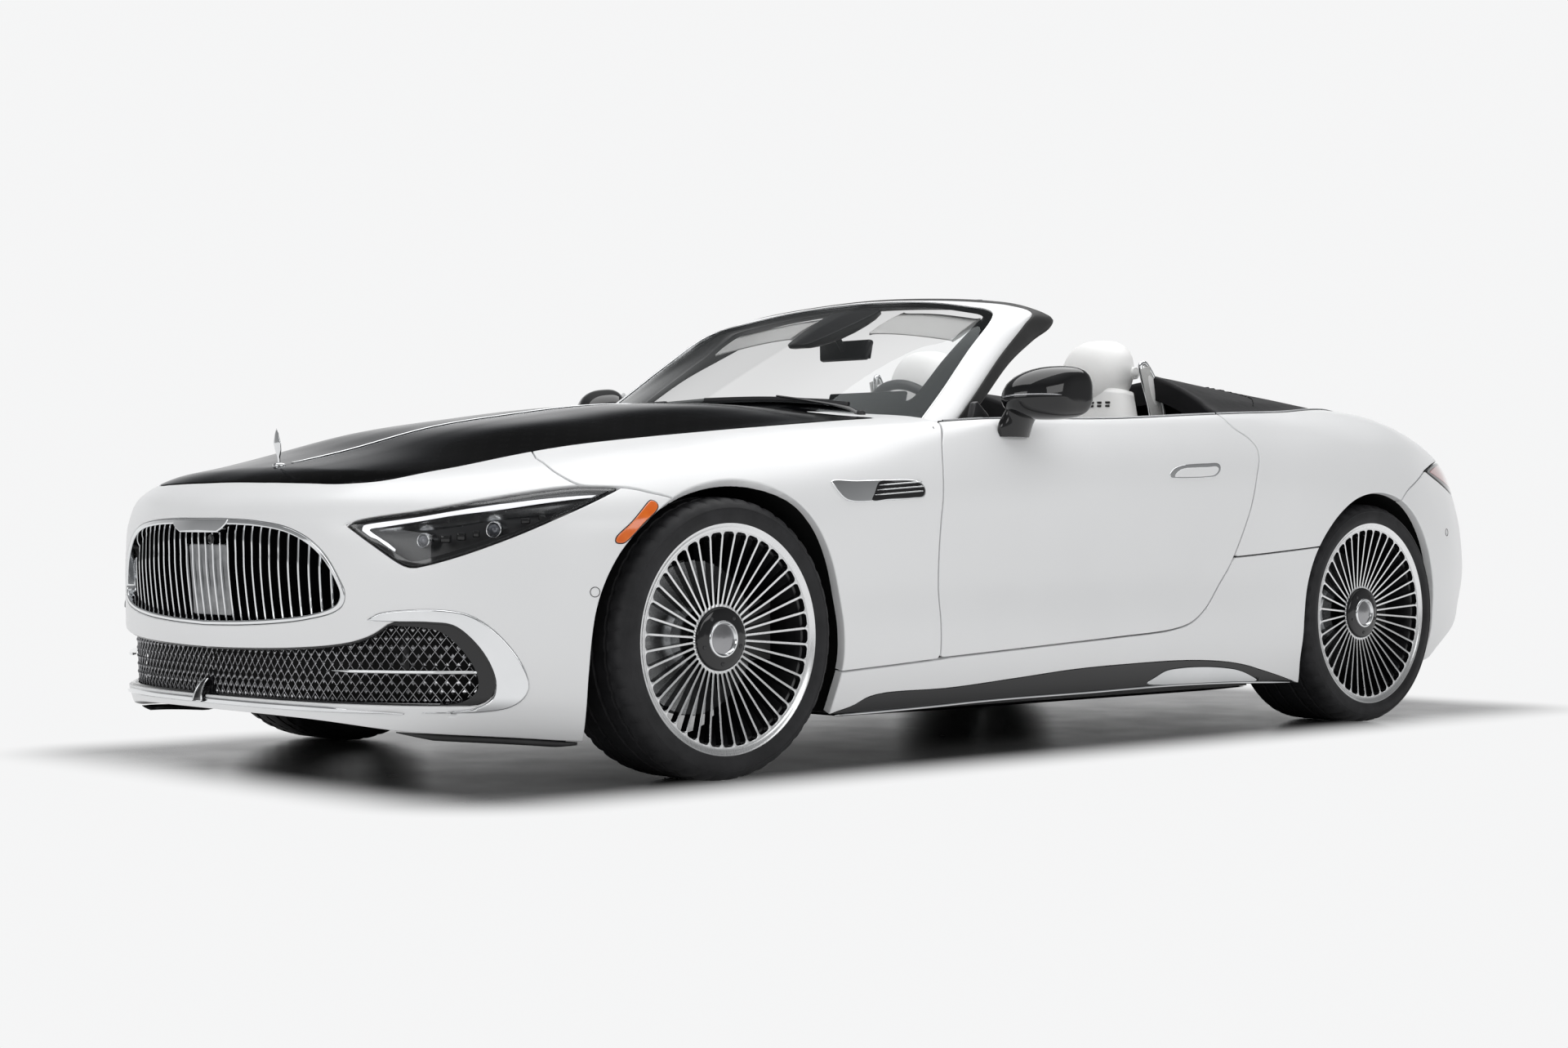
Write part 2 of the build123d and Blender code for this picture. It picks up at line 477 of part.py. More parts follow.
# ---- structure: floor with its tunnel, bulkheads with posts, boot floor, front rails ----
STRUCTURE = {
    # node: rows of x0, x1, y0, y1, z0, z1; a row with x0 > 0 is mirrored
    "floor_pan": [(95, 828, -946, 762, 135, 165), (95, 125, -946, 762, 160, 385), (-125, 125, -946, 762, 365, 385)],
    "front_bulkhead": [(98, 828, -975, -950, 166, 780), (98, 690, -975, -950, 700, 840), (-100, 100, -975, -950, 390, 840), (775, 828, -952, -700, 170, 780)],
    "rear_bulkhead": [(98, 640, 766, 786, 136, 955), (-100, 100, 766, 786, 390, 955), (638, 828, 766, 786, 170, 780), (775, 828, 705, 768, 170, 780)],
    "boot_floor": [(-602, 602, 790, 1760, 330, 350), (-575, 575, 1750, 2112, 330, 350), (-540, 540, 2090, 2112, 345, 690), (577, 602, 790, 1760, 170, 335), (577, 602, 790, 1760, 345, 760)],
    "front_rails": [(440, 480, -2115, -979, 300, 380), (455, 480, -2000, -979, 375, 690), (-600, 600, -2150, -2110, 290, 390)],
}
for name, rows in STRUCTURE.items():
    with BuildPart() as frame_part:
        for x0, x1, y0, y1, z0, z1 in rows:
            block(x0, x1, y0, y1, z0, z1)
            if x0 > 0:
                block(-x1, -x0, y0, y1, z0, z1)
        if name == "boot_floor":
            for s in (1, -1):
                block(s * 588 - 20, s * 588 + 20, YR - 95, YR + 95, 160, 430, mode=Mode.SUBTRACT)
    finish(frame_part, name)

# ---- cabin ----
DASH = [(0, -736, 930), (300, -700, 922), (560, -596, 898), (690, -548, 880)]
WHEEL_AT, RAKE = (380.0, -240.0, 870.0), 22.0
AXLE = (0.0, math.cos(math.radians(RAKE)), math.sin(math.radians(RAKE)))
with BuildPart() as dash:
    across(DASH, lambda r: [(r[1], r[2]), (-340, 892), (-305, 850), (-330, 720), (-440, 640), (r[1] + 20, 640)])
    with Locations(Plane(origin=tuple(WHEEL_AT[i] - 70 * AXLE[i] for i in range(3)), z_dir=AXLE)):
        Cylinder(30, 84)
finish(dash, "dashboard")

with BuildPart() as wheel:
    with Locations(Plane(origin=WHEEL_AT, z_dir=AXLE)):
        Torus(174, 15)
        Cylinder(52, 34)
        Box(330, 34, 16)
    with Locations(Plane(origin=WHEEL_AT, z_dir=AXLE)):
        with Locations((0, -90, 0)):
            Box(30, 150, 14)
finish(wheel, "steering_wheel")

with BuildPart() as console:
    block(-118, 118, -290, 690, 388, 540)
finish(console, "centre_console")

with BuildPart() as seat:
    loft([outline(xz(y), [(380 - w, z0), (380 + w, z0), (380 + w + 10, z1), (380 + w - 60, z1 - 12), (380, z1 - 26), (380 - w + 60, z1 - 12), (380 - w - 10, z1)]).face() for y, w, z0, z1 in ((-150, 215, 300, 452), (60, 232, 260, 470), (420, 225, 240, 440))], ruled=True)
    loft([outline(Plane.XY.offset(z), [(380 - w, y0 - 45), (380 - w + 55, y0), (380 + w - 55, y0), (380 + w, y0 - 45), (380 + w - 10, y1), (380 - w + 10, y1)]).face() for z, w, y0, y1 in ((300, 225, 400, 560), (480, 240, 415, 590), (760, 245, 490, 665), (960, 190, 545, 700))], ruled=True)
    loft([outline(Plane.XY.offset(z), [(380 - w, y0), (380 + w, y0), (380 + w, y1), (380 - w, y1)]).face() for z, w, y0, y1 in ((955, 120, 560, 700), (1040, 138, 540, 725), (1150, 128, 560, 740), (1196, 90, 600, 730))], ruled=True)
    block(150, 180, 0, 500, 167, 262)
    block(580, 610, 0, 500, 167, 262)
pair(seat, "seat")

# ---- wheels ----
WHEELS = [
    # name      y   loaded radius  tyre width
    ("front", YF, TYRE_R_F, TYRE_W_F),
    ("rear", YR, TYRE_R_R, TYRE_W_R),
]
for name, yc, r, w in WHEELS:
    hub = Plane(origin=(0, yc, r), x_dir=(1, 0, 0), z_dir=(0, -1, 0))
    spin = Axis((0, yc, r), (1, 0, 0))
    inn, out = TYRE_OUT - w, TYRE_OUT
    with BuildPart() as tyre:
        with BuildSketch(hub):
            with BuildLine():
                Polyline((inn + 16, 268), (inn, 300), (inn + 8, r - 24), (inn + 30, r - 4), (inn + 50, r), (out - 50, r), (out - 30, r - 4), (out - 8, r - 22), (out, 312), (out - 3, 300), (out - 15, 292), (out - 15, 268), close=True)
            make_face()
        revolve(axis=spin)
    pair(tyre, f"tyre_{name}")
    with BuildPart() as rim:
        with BuildSketch(hub):
            with BuildLine():
                Polyline((inn + 14, 242), (inn + 14, 266), (out - 13, 266), (out - 13, 288), (out - 5, 288), (out - 5, 274), (out - 14, 252), (out - 18, 60), (out - 12, 40), (out - 12, 0), (770, 0), (770, 70), (782, 70), (782, 195), (808, 195), (808, 70), (out - 48, 70), (out - 46, 242), close=True)
            make_face()
        revolve(axis=spin)
        with BuildSketch(Plane(origin=(860, yc, r), z_dir=(1, 0, 0))):
            with PolarLocations(176, 20):
                Trapezoid(26, 112, 97, 83, rotation=90)
        extrude(amount=100, mode=Mode.SUBTRACT)
    pair(rim, f"rim_{name}")
    with BuildPart() as knuckle:
        block(702, 764, yc - 48, yc + 48, r - 150, r + 150)
        for x0, x1 in ((742, 777), (813, 838)):
            block(x0, x1, yc + 95, yc + 200, r - 60, r + 90)
        block(742, 838, yc + 200, yc + 218, r - 60, r + 90)
        block(742, 764, yc + 40, yc + 100, r - 50, r + 60)
    pair(knuckle, f"knuckle_{name}")

# ---- under the body ----
with BuildPart() as front_beam:
    block(-425, 425, YF - 110, YF + 60, 145, 225)
    for s in (1, -1):
        block(min(s * 425, s * 662), max(s * 425, s * 662), YF - 26, YF + 26, 190, 214)
finish(front_beam, "front_axle")

with BuildPart() as rear_beam:
    block(-150, 150, YR - 150, YR + 150, 205, 322)
    for s in (1, -1):
        block(min(s * 150, s * 690), max(s * 150, s * 690), YR - 50, YR + 20, 205, 232)
        with Locations(Plane(origin=(s * 420, YR, TYRE_R_R - 52), z_dir=(1, 0, 0))):
            Cylinder(18, 550)
finish(rear_beam, "rear_axle")

with BuildPart() as engine:
    block(-290, 290, -1560, -1000, 330, 770)
    block(-85, 85, -1010, -300, 180, 352)
    block(-200, 200, -1560, -1100, 235, 335)
finish(engine, "engine_block")

with BuildPart() as exhaust:
    block(-430, 430, 1760, 2010, 175, 300)
    for s in (1, -1):
        with Locations(Plane(origin=(s * 55, 740, 168), z_dir=(0, 1, 0))):
            Cylinder(24, 2060)
        with Locations(Plane(origin=(s * 380, 2110, 215), z_dir=(0, 1, 0))):
            Cylinder(34, 220)
finish(exhaust, "exhaust")
print(len(made), made)
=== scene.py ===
import json
import math

import bpy
import bmesh
import numpy as np
from mathutils import Matrix, Vector

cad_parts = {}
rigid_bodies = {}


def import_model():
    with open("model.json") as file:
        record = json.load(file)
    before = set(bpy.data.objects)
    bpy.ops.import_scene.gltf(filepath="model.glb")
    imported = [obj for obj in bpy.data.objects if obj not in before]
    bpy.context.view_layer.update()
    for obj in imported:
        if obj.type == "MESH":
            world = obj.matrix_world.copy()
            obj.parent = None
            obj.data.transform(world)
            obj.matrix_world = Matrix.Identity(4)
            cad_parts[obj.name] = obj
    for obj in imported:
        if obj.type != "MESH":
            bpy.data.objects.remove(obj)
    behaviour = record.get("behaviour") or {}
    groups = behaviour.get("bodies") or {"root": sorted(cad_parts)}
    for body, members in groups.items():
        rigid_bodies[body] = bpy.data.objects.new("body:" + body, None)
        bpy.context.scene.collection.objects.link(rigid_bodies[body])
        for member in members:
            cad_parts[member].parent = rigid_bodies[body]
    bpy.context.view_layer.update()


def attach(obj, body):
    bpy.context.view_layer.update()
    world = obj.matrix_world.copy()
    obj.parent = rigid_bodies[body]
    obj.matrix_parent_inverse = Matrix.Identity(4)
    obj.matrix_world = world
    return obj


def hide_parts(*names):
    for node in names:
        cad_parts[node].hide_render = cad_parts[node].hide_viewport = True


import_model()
YF, YR, ZF, ZR = -1.4335, 1.2665, 0.349, 0.346

# ------------------------------------------------------------------ materials


def nodes_of(name):
    m = bpy.data.materials.new(name)
    m.use_nodes = True
    nt = m.node_tree
    return m, nt, nt.nodes["Principled BSDF"]


def add(nt, kind, ins=None, **props):
    n = nt.nodes.new(kind)
    for k, v in props.items():
        setattr(n, k, v)
    for k, v in (ins or {}).items():
        if isinstance(v, bpy.types.NodeSocket):
            nt.links.new(v, n.inputs[k])
        else:
            n.inputs[k].default_value = v
    return n


def ramp(nt, fac, stops):
    n = nt.nodes.new("ShaderNodeValToRGB")
    nt.links.new(fac, n.inputs[0])
    e = n.color_ramp.elements
    while len(e) < len(stops):
        e.new(0.5)
    for el, (p, c) in zip(e, stops):
        el.position = p
        el.color = (*c, 1) if len(c) == 3 else c
    return n.outputs[0]


def spread(nt, fac, a, b):
    n = add(nt, "ShaderNodeMapRange", {"Value": fac, "To Min": a, "To Max": b})
    return n.outputs[0]


def noise(nt, scale, detail=3.0, rough=0.55, vec=None):
    c = vec or add(nt, "ShaderNodeTexCoord").outputs["Object"]
    return add(nt, "ShaderNodeTexNoise", {"Vector": c, "Scale": scale, "Detail": detail, "Roughness": rough}).outputs["Fac"]


def bump(nt, b, height, strength, dist):
    n = add(nt, "ShaderNodeBump", {"Height": height, "Strength": strength, "Distance": dist})
    nt.links.new(n.outputs[0], b.inputs["Normal"])
    return n


def plain(name, a, b, r0, r1, metal=0.0, scale=3.0, coat=0.0, coat_r=0.05, grain=None, spec=0.5, sheen=0.0):
    """A finish whose colour and gloss drift a little over the surface, with a fine grain."""
    m, nt, p = nodes_of(name)
    n = noise(nt, scale)
    nt.links.new(ramp(nt, n, [(0.3, a), (0.7, b)]), p.inputs["Base Color"])
    nt.links.new(spread(nt, noise(nt, scale * 6), r0, r1), p.inputs["Roughness"])
    p.inputs["Metallic"].default_value = metal
    p.inputs["Coat Weight"].default_value = coat
    p.inputs["Coat Roughness"].default_value = coat_r
    p.inputs["Specular IOR Level"].default_value = spec
    p.inputs["Sheen Weight"].default_value = sheen
    if grain:
        bump(nt, p, noise(nt, grain[0], 2.0), grain[1], grain[2])
    return m


M = {}
M["white"] = plain("white_paint", (0.80, 0.805, 0.81), (0.84, 0.845, 0.85), 0.30, 0.38, scale=1.3, coat=0.25, coat_r=0.22, grain=(900, 0.03, 0.0004))
M["gloss"] = plain("black_gloss", (0.003, 0.003, 0.0035), (0.006, 0.006, 0.007), 0.05, 0.09, coat=0.25, coat_r=0.03, spec=0.45)
M["satin"] = plain("black_satin", (0.014, 0.014, 0.016), (0.022, 0.022, 0.024), 0.32, 0.42, scale=4, coat=0.2, coat_r=0.3, grain=(500, 0.06, 0.0004))
M["plastic"] = plain("black_plastic", (0.012, 0.012, 0.013), (0.024, 0.024, 0.025), 0.45, 0.62, scale=8, grain=(700, 0.25, 0.0006))
M["liner"] = plain("liner_felt", (0.006, 0.006, 0.006), (0.012, 0.012, 0.012), 0.85, 0.95, scale=9, grain=(350, 0.5, 0.001), spec=0.2)
M["chrome"] = plain("chrome", (0.72, 0.73, 0.74), (0.80, 0.81, 0.82), 0.04, 0.09, metal=1.0, scale=5)
M["dark_chrome"] = plain("dark_chrome", (0.30, 0.30, 0.31), (0.36, 0.36, 0.37), 0.14, 0.22, metal=1.0, scale=5)
M["rubber"] = plain("rubber_seal", (0.010, 0.010, 0.010), (0.018, 0.018, 0.018), 0.5, 0.65, scale=10, grain=(300, 0.1, 0.0004))
M["metal"] = plain("dark_metal", (0.05, 0.05, 0.052), (0.10, 0.10, 0.10), 0.4, 0.6, metal=0.8, scale=12, grain=(250, 0.3, 0.0006))
M["orange"] = plain("orange_lens", (0.72, 0.12, 0.004), (0.82, 0.17, 0.008), 0.12, 0.2, scale=30, coat=1.0, coat_r=0.05)
M["red"] = plain("red_lens", (0.20, 0.012, 0.010), (0.30, 0.02, 0.016), 0.08, 0.16, scale=20, coat=1.0, coat_r=0.03)
M["silver"] = plain("silver_trim", (0.62, 0.63, 0.64), (0.70, 0.71, 0.72), 0.22, 0.30, metal=1.0, scale=9, grain=(420, 0.05, 0.0003))

M["sensor"] = plain("sensor_cover", (0.16, 0.163, 0.168), (0.30, 0.305, 0.31), 0.28, 0.36, metal=0.6, scale=26, spec=0.4)


def tyre_mat():
    m, nt, p = nodes_of("tyre_rubber")
    n = noise(nt, 14, 5)
    nt.links.new(ramp(nt, n, [(0.3, (0.010, 0.010, 0.011)), (0.7, (0.022, 0.022, 0.024))]), p.inputs["Base Color"])
    nt.links.new(spread(nt, noise(nt, 40), 0.50, 0.68), p.inputs["Roughness"])
    p.inputs["Specular IOR Level"].default_value = 0.3
    bump(nt, p, noise(nt, 500, 3), 0.25, 0.0006)
    return m


M["tyre"] = tyre_mat()


def machined():
    """Bright turned aluminium: fine rings round the wheel's axle."""
    m, nt, p = nodes_of("machined_aluminium")
    c = add(nt, "ShaderNodeTexCoord").outputs["Object"]
    nt.links.new(ramp(nt, noise(nt, 5), [(0.3, (0.74, 0.745, 0.75)), (0.7, (0.84, 0.845, 0.85))]), p.inputs["Base Color"])
    sep = add(nt, "ShaderNodeSeparateXYZ", {"Vector": c})
    y2 = add(nt, "ShaderNodeMath", {0: sep.outputs[1], 1: sep.outputs[1]}, operation="MULTIPLY")
    z2 = add(nt, "ShaderNodeMath", {0: sep.outputs[2], 1: sep.outputs[2]}, operation="MULTIPLY")
    r = add(nt, "ShaderNodeMath", {0: add(nt, "ShaderNodeMath", {0: y2.outputs[0], 1: z2.outputs[0]}).outputs[0]}, operation="SQRT")
    v = add(nt, "ShaderNodeCombineXYZ", {"X": r.outputs[0]})
    fine = add(nt, "ShaderNodeTexNoise", {"Vector": v.outputs[0], "Scale": 2400.0, "Detail": 1.0}).outputs["Fac"]
    nt.links.new(spread(nt, fine, 0.20, 0.34), p.inputs["Roughness"])
    p.inputs["Metallic"].default_value = 1.0
    bump(nt, p, fine, 0.05, 0.0002)
    return m


M["machined"] = machined()


def leather(name, a, b, scale=1.0):
    m, nt, p = nodes_of(name)
    nt.links.new(ramp(nt, noise(nt, 6, 4), [(0.3, a), (0.7, b)]), p.inputs["Base Color"])
    c = add(nt, "ShaderNodeTexCoord").outputs["Object"]
    v = add(nt, "ShaderNodeTexVoronoi", {"Vector": c, "Scale": 520.0 * scale}, feature="DISTANCE_TO_EDGE").outputs["Distance"]
    g = ramp(nt, v, [(0.0, (0, 0, 0)), (0.25, (1, 1, 1))])
    nt.links.new(spread(nt, noise(nt, 60), 0.40, 0.55), p.inputs["Roughness"])
    p.inputs["Sheen Weight"].default_value = 0.08
    bump(nt, p, g, 0.22, 0.0005)
    return m


M["leather"] = leather("white_leather", (0.85, 0.848, 0.838), (0.91, 0.908, 0.90))
M["dark_leather"] = leather("dark_leather", (0.016, 0.016, 0.018), (0.030, 0.030, 0.032))


def carpet():
    m, nt, p = nodes_of("dark_carpet")
    n = noise(nt, 900, 2)
    nt.links.new(ramp(nt, n, [(0.3, (0.008, 0.008, 0.009)), (0.7, (0.035, 0.035, 0.036))]), p.inputs["Base Color"])
    nt.links.new(spread(nt, noise(nt, 30), 0.85, 0.97), p.inputs["Roughness"])
    p.inputs["Sheen Weight"].default_value = 0.4
    bump(nt, p, n, 0.8, 0.002)
    return m


M["carpet"] = carpet()


def glass(name, tint, low):
    """Thin clear glass: what it mirrors grows towards grazing view."""
    m, nt, p = nodes_of(name)
    nt.links.new(ramp(nt, noise(nt, 2), [(0.3, tint), (0.7, tuple(min(1, c * 1.05) for c in tint))]), p.inputs["Base Color"])
    nt.links.new(spread(nt, noise(nt, 5), 0.008, 0.02), p.inputs["Roughness"])
    p.inputs["Metallic"].default_value = 1.0
    f = add(nt, "ShaderNodeFresnel", {"IOR": 1.5}).outputs[0]
    nt.links.new(spread(nt, f, low, 1.0), p.inputs["Alpha"])
    return m


M["glass"] = glass("clear_glass", (0.25, 0.268, 0.272), 0.03)
M["lens"] = glass("lamp_cover", (0.50, 0.51, 0.52), 0.01)


def emit(name, color, strength, base):
    m, nt, p = nodes_of(name)
    nt.links.new(ramp(nt, noise(nt, 12), [(0.3, base), (0.7, tuple(c * 1.08 for c in base))]), p.inputs["Base Color"])
    nt.links.new(spread(nt, noise(nt, 30), 0.18, 0.3), p.inputs["Roughness"])
    p.inputs["Emission Color"].default_value = (*color, 1)
    p.inputs["Emission Strength"].default_value = strength
    return m


M["light_bar"] = emit("light_guide", (0.95, 0.97, 1.0), 0.9, (0.8, 0.8, 0.8))


def hood_black():
    """Gloss black with a faint scatter of small open diamonds, in staggered rows."""
    m, nt, p = nodes_of("hood_black")
    c = add(nt, "ShaderNodeTexCoord").outputs["Object"]
    sep = add(nt, "ShaderNodeSeparateXYZ", {"Vector": c})

    def cell(shift):
        out = []
        for k, (size, half) in zip((0, 1), ((0.084, 0.5), (0.072, 0.5))):
            a = add(nt, "ShaderNodeMath", {0: sep.outputs[k], 1: 1 / size}, operation="MULTIPLY")
            a = add(nt, "ShaderNodeMath", {0: a.outputs[0], 1: shift + 50.0}, operation="ADD")
            a = add(nt, "ShaderNodeMath", {0: a.outputs[0]}, operation="FRACT")
            a = add(nt, "ShaderNodeMath", {0: a.outputs[0], 1: 0.5}, operation="SUBTRACT")
            out.append(add(nt, "ShaderNodeMath", {0: a.outputs[0]}, operation="ABSOLUTE").outputs[0])
        s = add(nt, "ShaderNodeMath", {0: out[0], 1: out[1]}, operation="ADD")
        return s.outputs[0]

    near = add(nt, "ShaderNodeMath", {0: cell(0.0), 1: cell(0.5)}, operation="MINIMUM").outputs[0]
    d = add(nt, "ShaderNodeMath", {0: near, 1: 0.17}, operation="SUBTRACT")
    d = add(nt, "ShaderNodeMath", {0: d.outputs[0]}, operation="ABSOLUTE")
    line = ramp(nt, d.outputs[0], [(0.0, (1, 1, 1)), (0.030, (1, 1, 1)), (0.045, (0, 0, 0))])
    base = ramp(nt, noise(nt, 3), [(0.3, (0.006, 0.006, 0.0065)), (0.7, (0.010, 0.010, 0.011))])
    mix = add(nt, "ShaderNodeMix", {0: line, 6: base, 7: (0.027, 0.027, 0.0285, 1)}, data_type="RGBA")
    nt.links.new(mix.outputs[2], p.inputs["Base Color"])
    nt.links.new(spread(nt, noise(nt, 20), 0.10, 0.15), p.inputs["Roughness"])
    p.inputs["Metallic"].default_value = 0.85
    p.inputs["Specular Tint"].default_value = (0.16, 0.165, 0.175, 1)
    p.inputs["Specular IOR Level"].default_value = 0.45
    return m


M["hood"] = hood_black()

# ------------------------------------------------------------------ meshes


def make(name, verts, faces, mat, body, replaces=(), slot=None, smooth=True, sharp=None):
    me = bpy.data.meshes.new(name)
    verts = np.asarray(verts, float)
    me.from_pydata(verts.tolist(), [], [list(map(int, f)) for f in faces])
    if smooth:
        me.shade_smooth()
    ob = bpy.data.objects.new(name, me)
    bpy.context.scene.collection.objects.link(ob)
    for m in mat if isinstance(mat, (list, tuple)) else [mat]:
        me.materials.append(m)
    if sharp:
        me.set_sharp_from_angle(angle=math.radians(sharp))
    if body:
        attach(ob, body)
    if replaces:
        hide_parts(*replaces)
    return ob


def soften(ob, width=0.003, segments=2, angle=35):
    b = ob.modifiers.new("bevel", "BEVEL")
    b.width = width
    b.segments = segments
    b.limit_method = "ANGLE"
    b.angle_limit = math.radians(angle)
    return ob


def subsurf(ob, levels=2):
    s = ob.modifiers.new("sub", "SUBSURF")
    s.levels = s.render_levels = levels
    return ob


def mirrored(verts, faces):
    v = np.asarray(verts, float).copy()
    v[:, 0] *= -1
    return v, [list(f)[::-1] for f in faces]


def grid_faces(n, m, close_n=False, close_m=False):
    """Quads of a grid of n rows by m columns."""
    i = np.arange(n if close_n else n - 1)
    j = np.arange(m if close_m else m - 1)
    a, b = np.meshgrid(i, j, indexing="ij")
    a1, b1 = (a + 1) % n, (b + 1) % m
    return np.stack([a * m + b, a1 * m + b, a1 * m + b1, a * m + b1], -1).reshape(-1, 4)


def catmull(points, n=8, closed=False):
    """A smooth curve through the points."""
    p = np.asarray(points, float)
    if closed:
        q = np.vstack([p[-1], p, p[0], p[1]])
    else:
        q = np.vstack([2 * p[0] - p[1], p, 2 * p[-1] - p[-2]])
    out = []
    for i in range(1, len(q) - 2):
        a, b, c, d = q[i - 1], q[i], q[i + 1], q[i + 2]
        t0 = 0.0
        t1 = t0 + max(np.linalg.norm(b - a), 1e-9) ** 0.5
        t2 = t1 + max(np.linalg.norm(c - b), 1e-9) ** 0.5
        t3 = t2 + max(np.linalg.norm(d - c), 1e-9) ** 0.5
        for t in np.linspace(t1, t2, n, endpoint=False):
            a1 = (t1 - t) / (t1 - t0) * a + (t - t0) / (t1 - t0) * b
            a2 = (t2 - t) / (t2 - t1) * b + (t - t1) / (t2 - t1) * c
            a3 = (t3 - t) / (t3 - t2) * c + (t - t2) / (t3 - t2) * d
            b1 = (t2 - t) / (t2 - t0) * a1 + (t - t0) / (t2 - t0) * a2
            b2 = (t3 - t) / (t3 - t1) * a2 + (t - t1) / (t3 - t1) * a3
            out.append((t2 - t) / (t2 - t1) * b1 + (t - t1) / (t2 - t1) * b2)
    if not closed:
        out.append(p[-1])
    return np.array(out)


def tube(path, radius, sides=10, closed=False, squash=1.0, up=(0, 0, 1), caps=True):
    """A tube along a path; radius is one number or one for each point. Returns verts and faces."""
    p = np.asarray(path, float)
    n = len(p)
    r = np.broadcast_to(np.asarray(radius, float), (n,))
    t = np.gradient(p, axis=0)
    if closed:
        t = np.roll(p, -1, 0) - np.roll(p, 1, 0)
    t /= np.linalg.norm(t, axis=1)[:, None] + 1e-12
    u = np.cross(t, np.asarray(up, float))
    u /= np.linalg.norm(u, axis=1)[:, None] + 1e-12
    w = np.cross(u, t)
    a = np.linspace(0, 2 * np.pi, sides, endpoint=False)
    v = p[:, None, :] + r[:, None, None] * (np.cos(a)[None, :, None] * u[:, None, :] + squash * np.sin(a)[None, :, None] * w[:, None, :])
    f = grid_faces(n, sides, close_n=closed, close_m=True).tolist()
    if caps and not closed:
        f.append(list(range(sides)))
        f.append([(n - 1) * sides + k for k in range(sides)][::-1])
    return v.reshape(-1, 3), f


def sweep(path, section, up=(0, 0, 1), closed=False, caps=True):
    """A flat section (offsets across, along up) carried along a path."""
    p = np.asarray(path, float)
    n = len(p)
    s = np.asarray(section, float)
    t = np.gradient(p, axis=0)
    if closed:
        t = np.roll(p, -1, 0) - np.roll(p, 1, 0)
    t /= np.linalg.norm(t, axis=1)[:, None] + 1e-12
    up = np.broadcast_to(np.asarray(up, float), (n, 3))
    u = np.cross(t, up)
    u /= np.linalg.norm(u, axis=1)[:, None] + 1e-12
    w = np.cross(u, t)
    sec = s if s.ndim == 3 else np.broadcast_to(s, (n,) + s.shape)
    v = p[:, None, :] + sec[:, :, 0:1] * u[:, None, :] + sec[:, :, 1:2] * w[:, None, :]
    k = sec.shape[1]
    f = grid_faces(n, k, close_n=closed, close_m=True).tolist()
    if caps and not closed:
        f.append(list(range(k)))
        f.append([(n - 1) * k + i for i in range(k)][::-1])
    return v.reshape(-1, 3), f


def revolve(profile, centre, segments=96, wobble=None):
    """A profile (x, r) turned about the line along X through centre."""
    pr = np.asarray(profile, float)
    a = np.linspace(0, 2 * np.pi, segments, endpoint=False)
    r = np.broadcast_to(pr[:, 1], (segments, len(pr))).copy()
    x = np.broadcast_to(pr[:, 0], (segments, len(pr))).copy()
    if wobble is not None:
        x, r = wobble(a, x, r)
    v = np.stack([centre[0] + x, centre[1] + r * np.sin(a)[:, None], centre[2] + r * np.cos(a)[:, None]], -1)
    return v.reshape(-1, 3), grid_faces(segments, len(pr), close_n=True)


def join(*parts):
    """Several (verts, faces) as one."""
    vs, fs, k = [], [], 0
    for v, f in parts:
        v = np.asarray(v, float)
        vs.append(v)
        fs += [[int(i) + k for i in q] for q in f]
        k += len(v)
    return np.vstack(vs), fs


def rounded_box(x0, x1, y0, y1, z0, z1, r=0.01):
    """A box with rounded edges, as verts and faces."""
    bm = bmesh.new()
    bmesh.ops.create_cube(bm, size=1)
    for v in bm.verts:
        v.co = Vector((x0 + (v.co.x + 0.5) * (x1 - x0), y0 + (v.co.y + 0.5) * (y1 - y0), z0 + (v.co.z + 0.5) * (z1 - z0)))
    bmesh.ops.bevel(bm, geom=list(bm.edges), offset=r, segments=3, profile=0.5, affect="EDGES")
    bm.verts.ensure_lookup_table()
    v = [tuple(q.co) for q in bm.verts]
    f = [[q.index for q in fc.verts] for fc in bm.faces]
    bm.free()
    return np.array(v), f
class Spline:
    """Cubic spline through points, with given or free end slopes."""
    def __init__(s, x, y, a=None, b=None):
        x = np.asarray(x, float); y = np.asarray(y, float)
        n = len(x); h = np.diff(x)
        A = np.zeros((n, n)); r = np.zeros((n,) + y.shape[1:])
        d = (np.diff(y, axis=0).T / h).T
        for i in range(1, n - 1):
            A[i, i - 1] = 1 / h[i - 1]; A[i, i + 1] = 1 / h[i]; A[i, i] = 2 / h[i - 1] + 2 / h[i]
            r[i] = 3 * (d[i - 1] / h[i - 1] + d[i] / h[i])
        if a is None:
            A[0, 0], A[0, 1] = 2 / h[0], 1 / h[0]; r[0] = 3 * d[0] / h[0]
        else:
            A[0, 0] = 1; r[0] = a
        if b is None:
            A[-1, -1], A[-1, -2] = 2 / h[-1], 1 / h[-1]; r[-1] = 3 * d[-1] / h[-1]
        else:
            A[-1, -1] = 1; r[-1] = b
        s.x, s.y, s.m = x, y, np.linalg.solve(A, r.reshape(n, -1)).reshape(r.shape)
    def __call__(s, t):
        t = np.asarray(t, float)
        i = np.clip(np.searchsorted(s.x, t) - 1, 0, len(s.x) - 2)
        h = s.x[i + 1] - s.x[i]
        u = (np.clip(t, s.x[0], s.x[-1]) - s.x[i]) / h
        if s.y.ndim > 1:
            u = u[..., None]; h = h[..., None]
        return (2*u**3-3*u**2+1)*s.y[i] + (u**3-2*u**2+u)*h*s.m[i] + (-2*u**3+3*u**2)*s.y[i+1] + (u**3-u**2)*h*s.m[i+1]

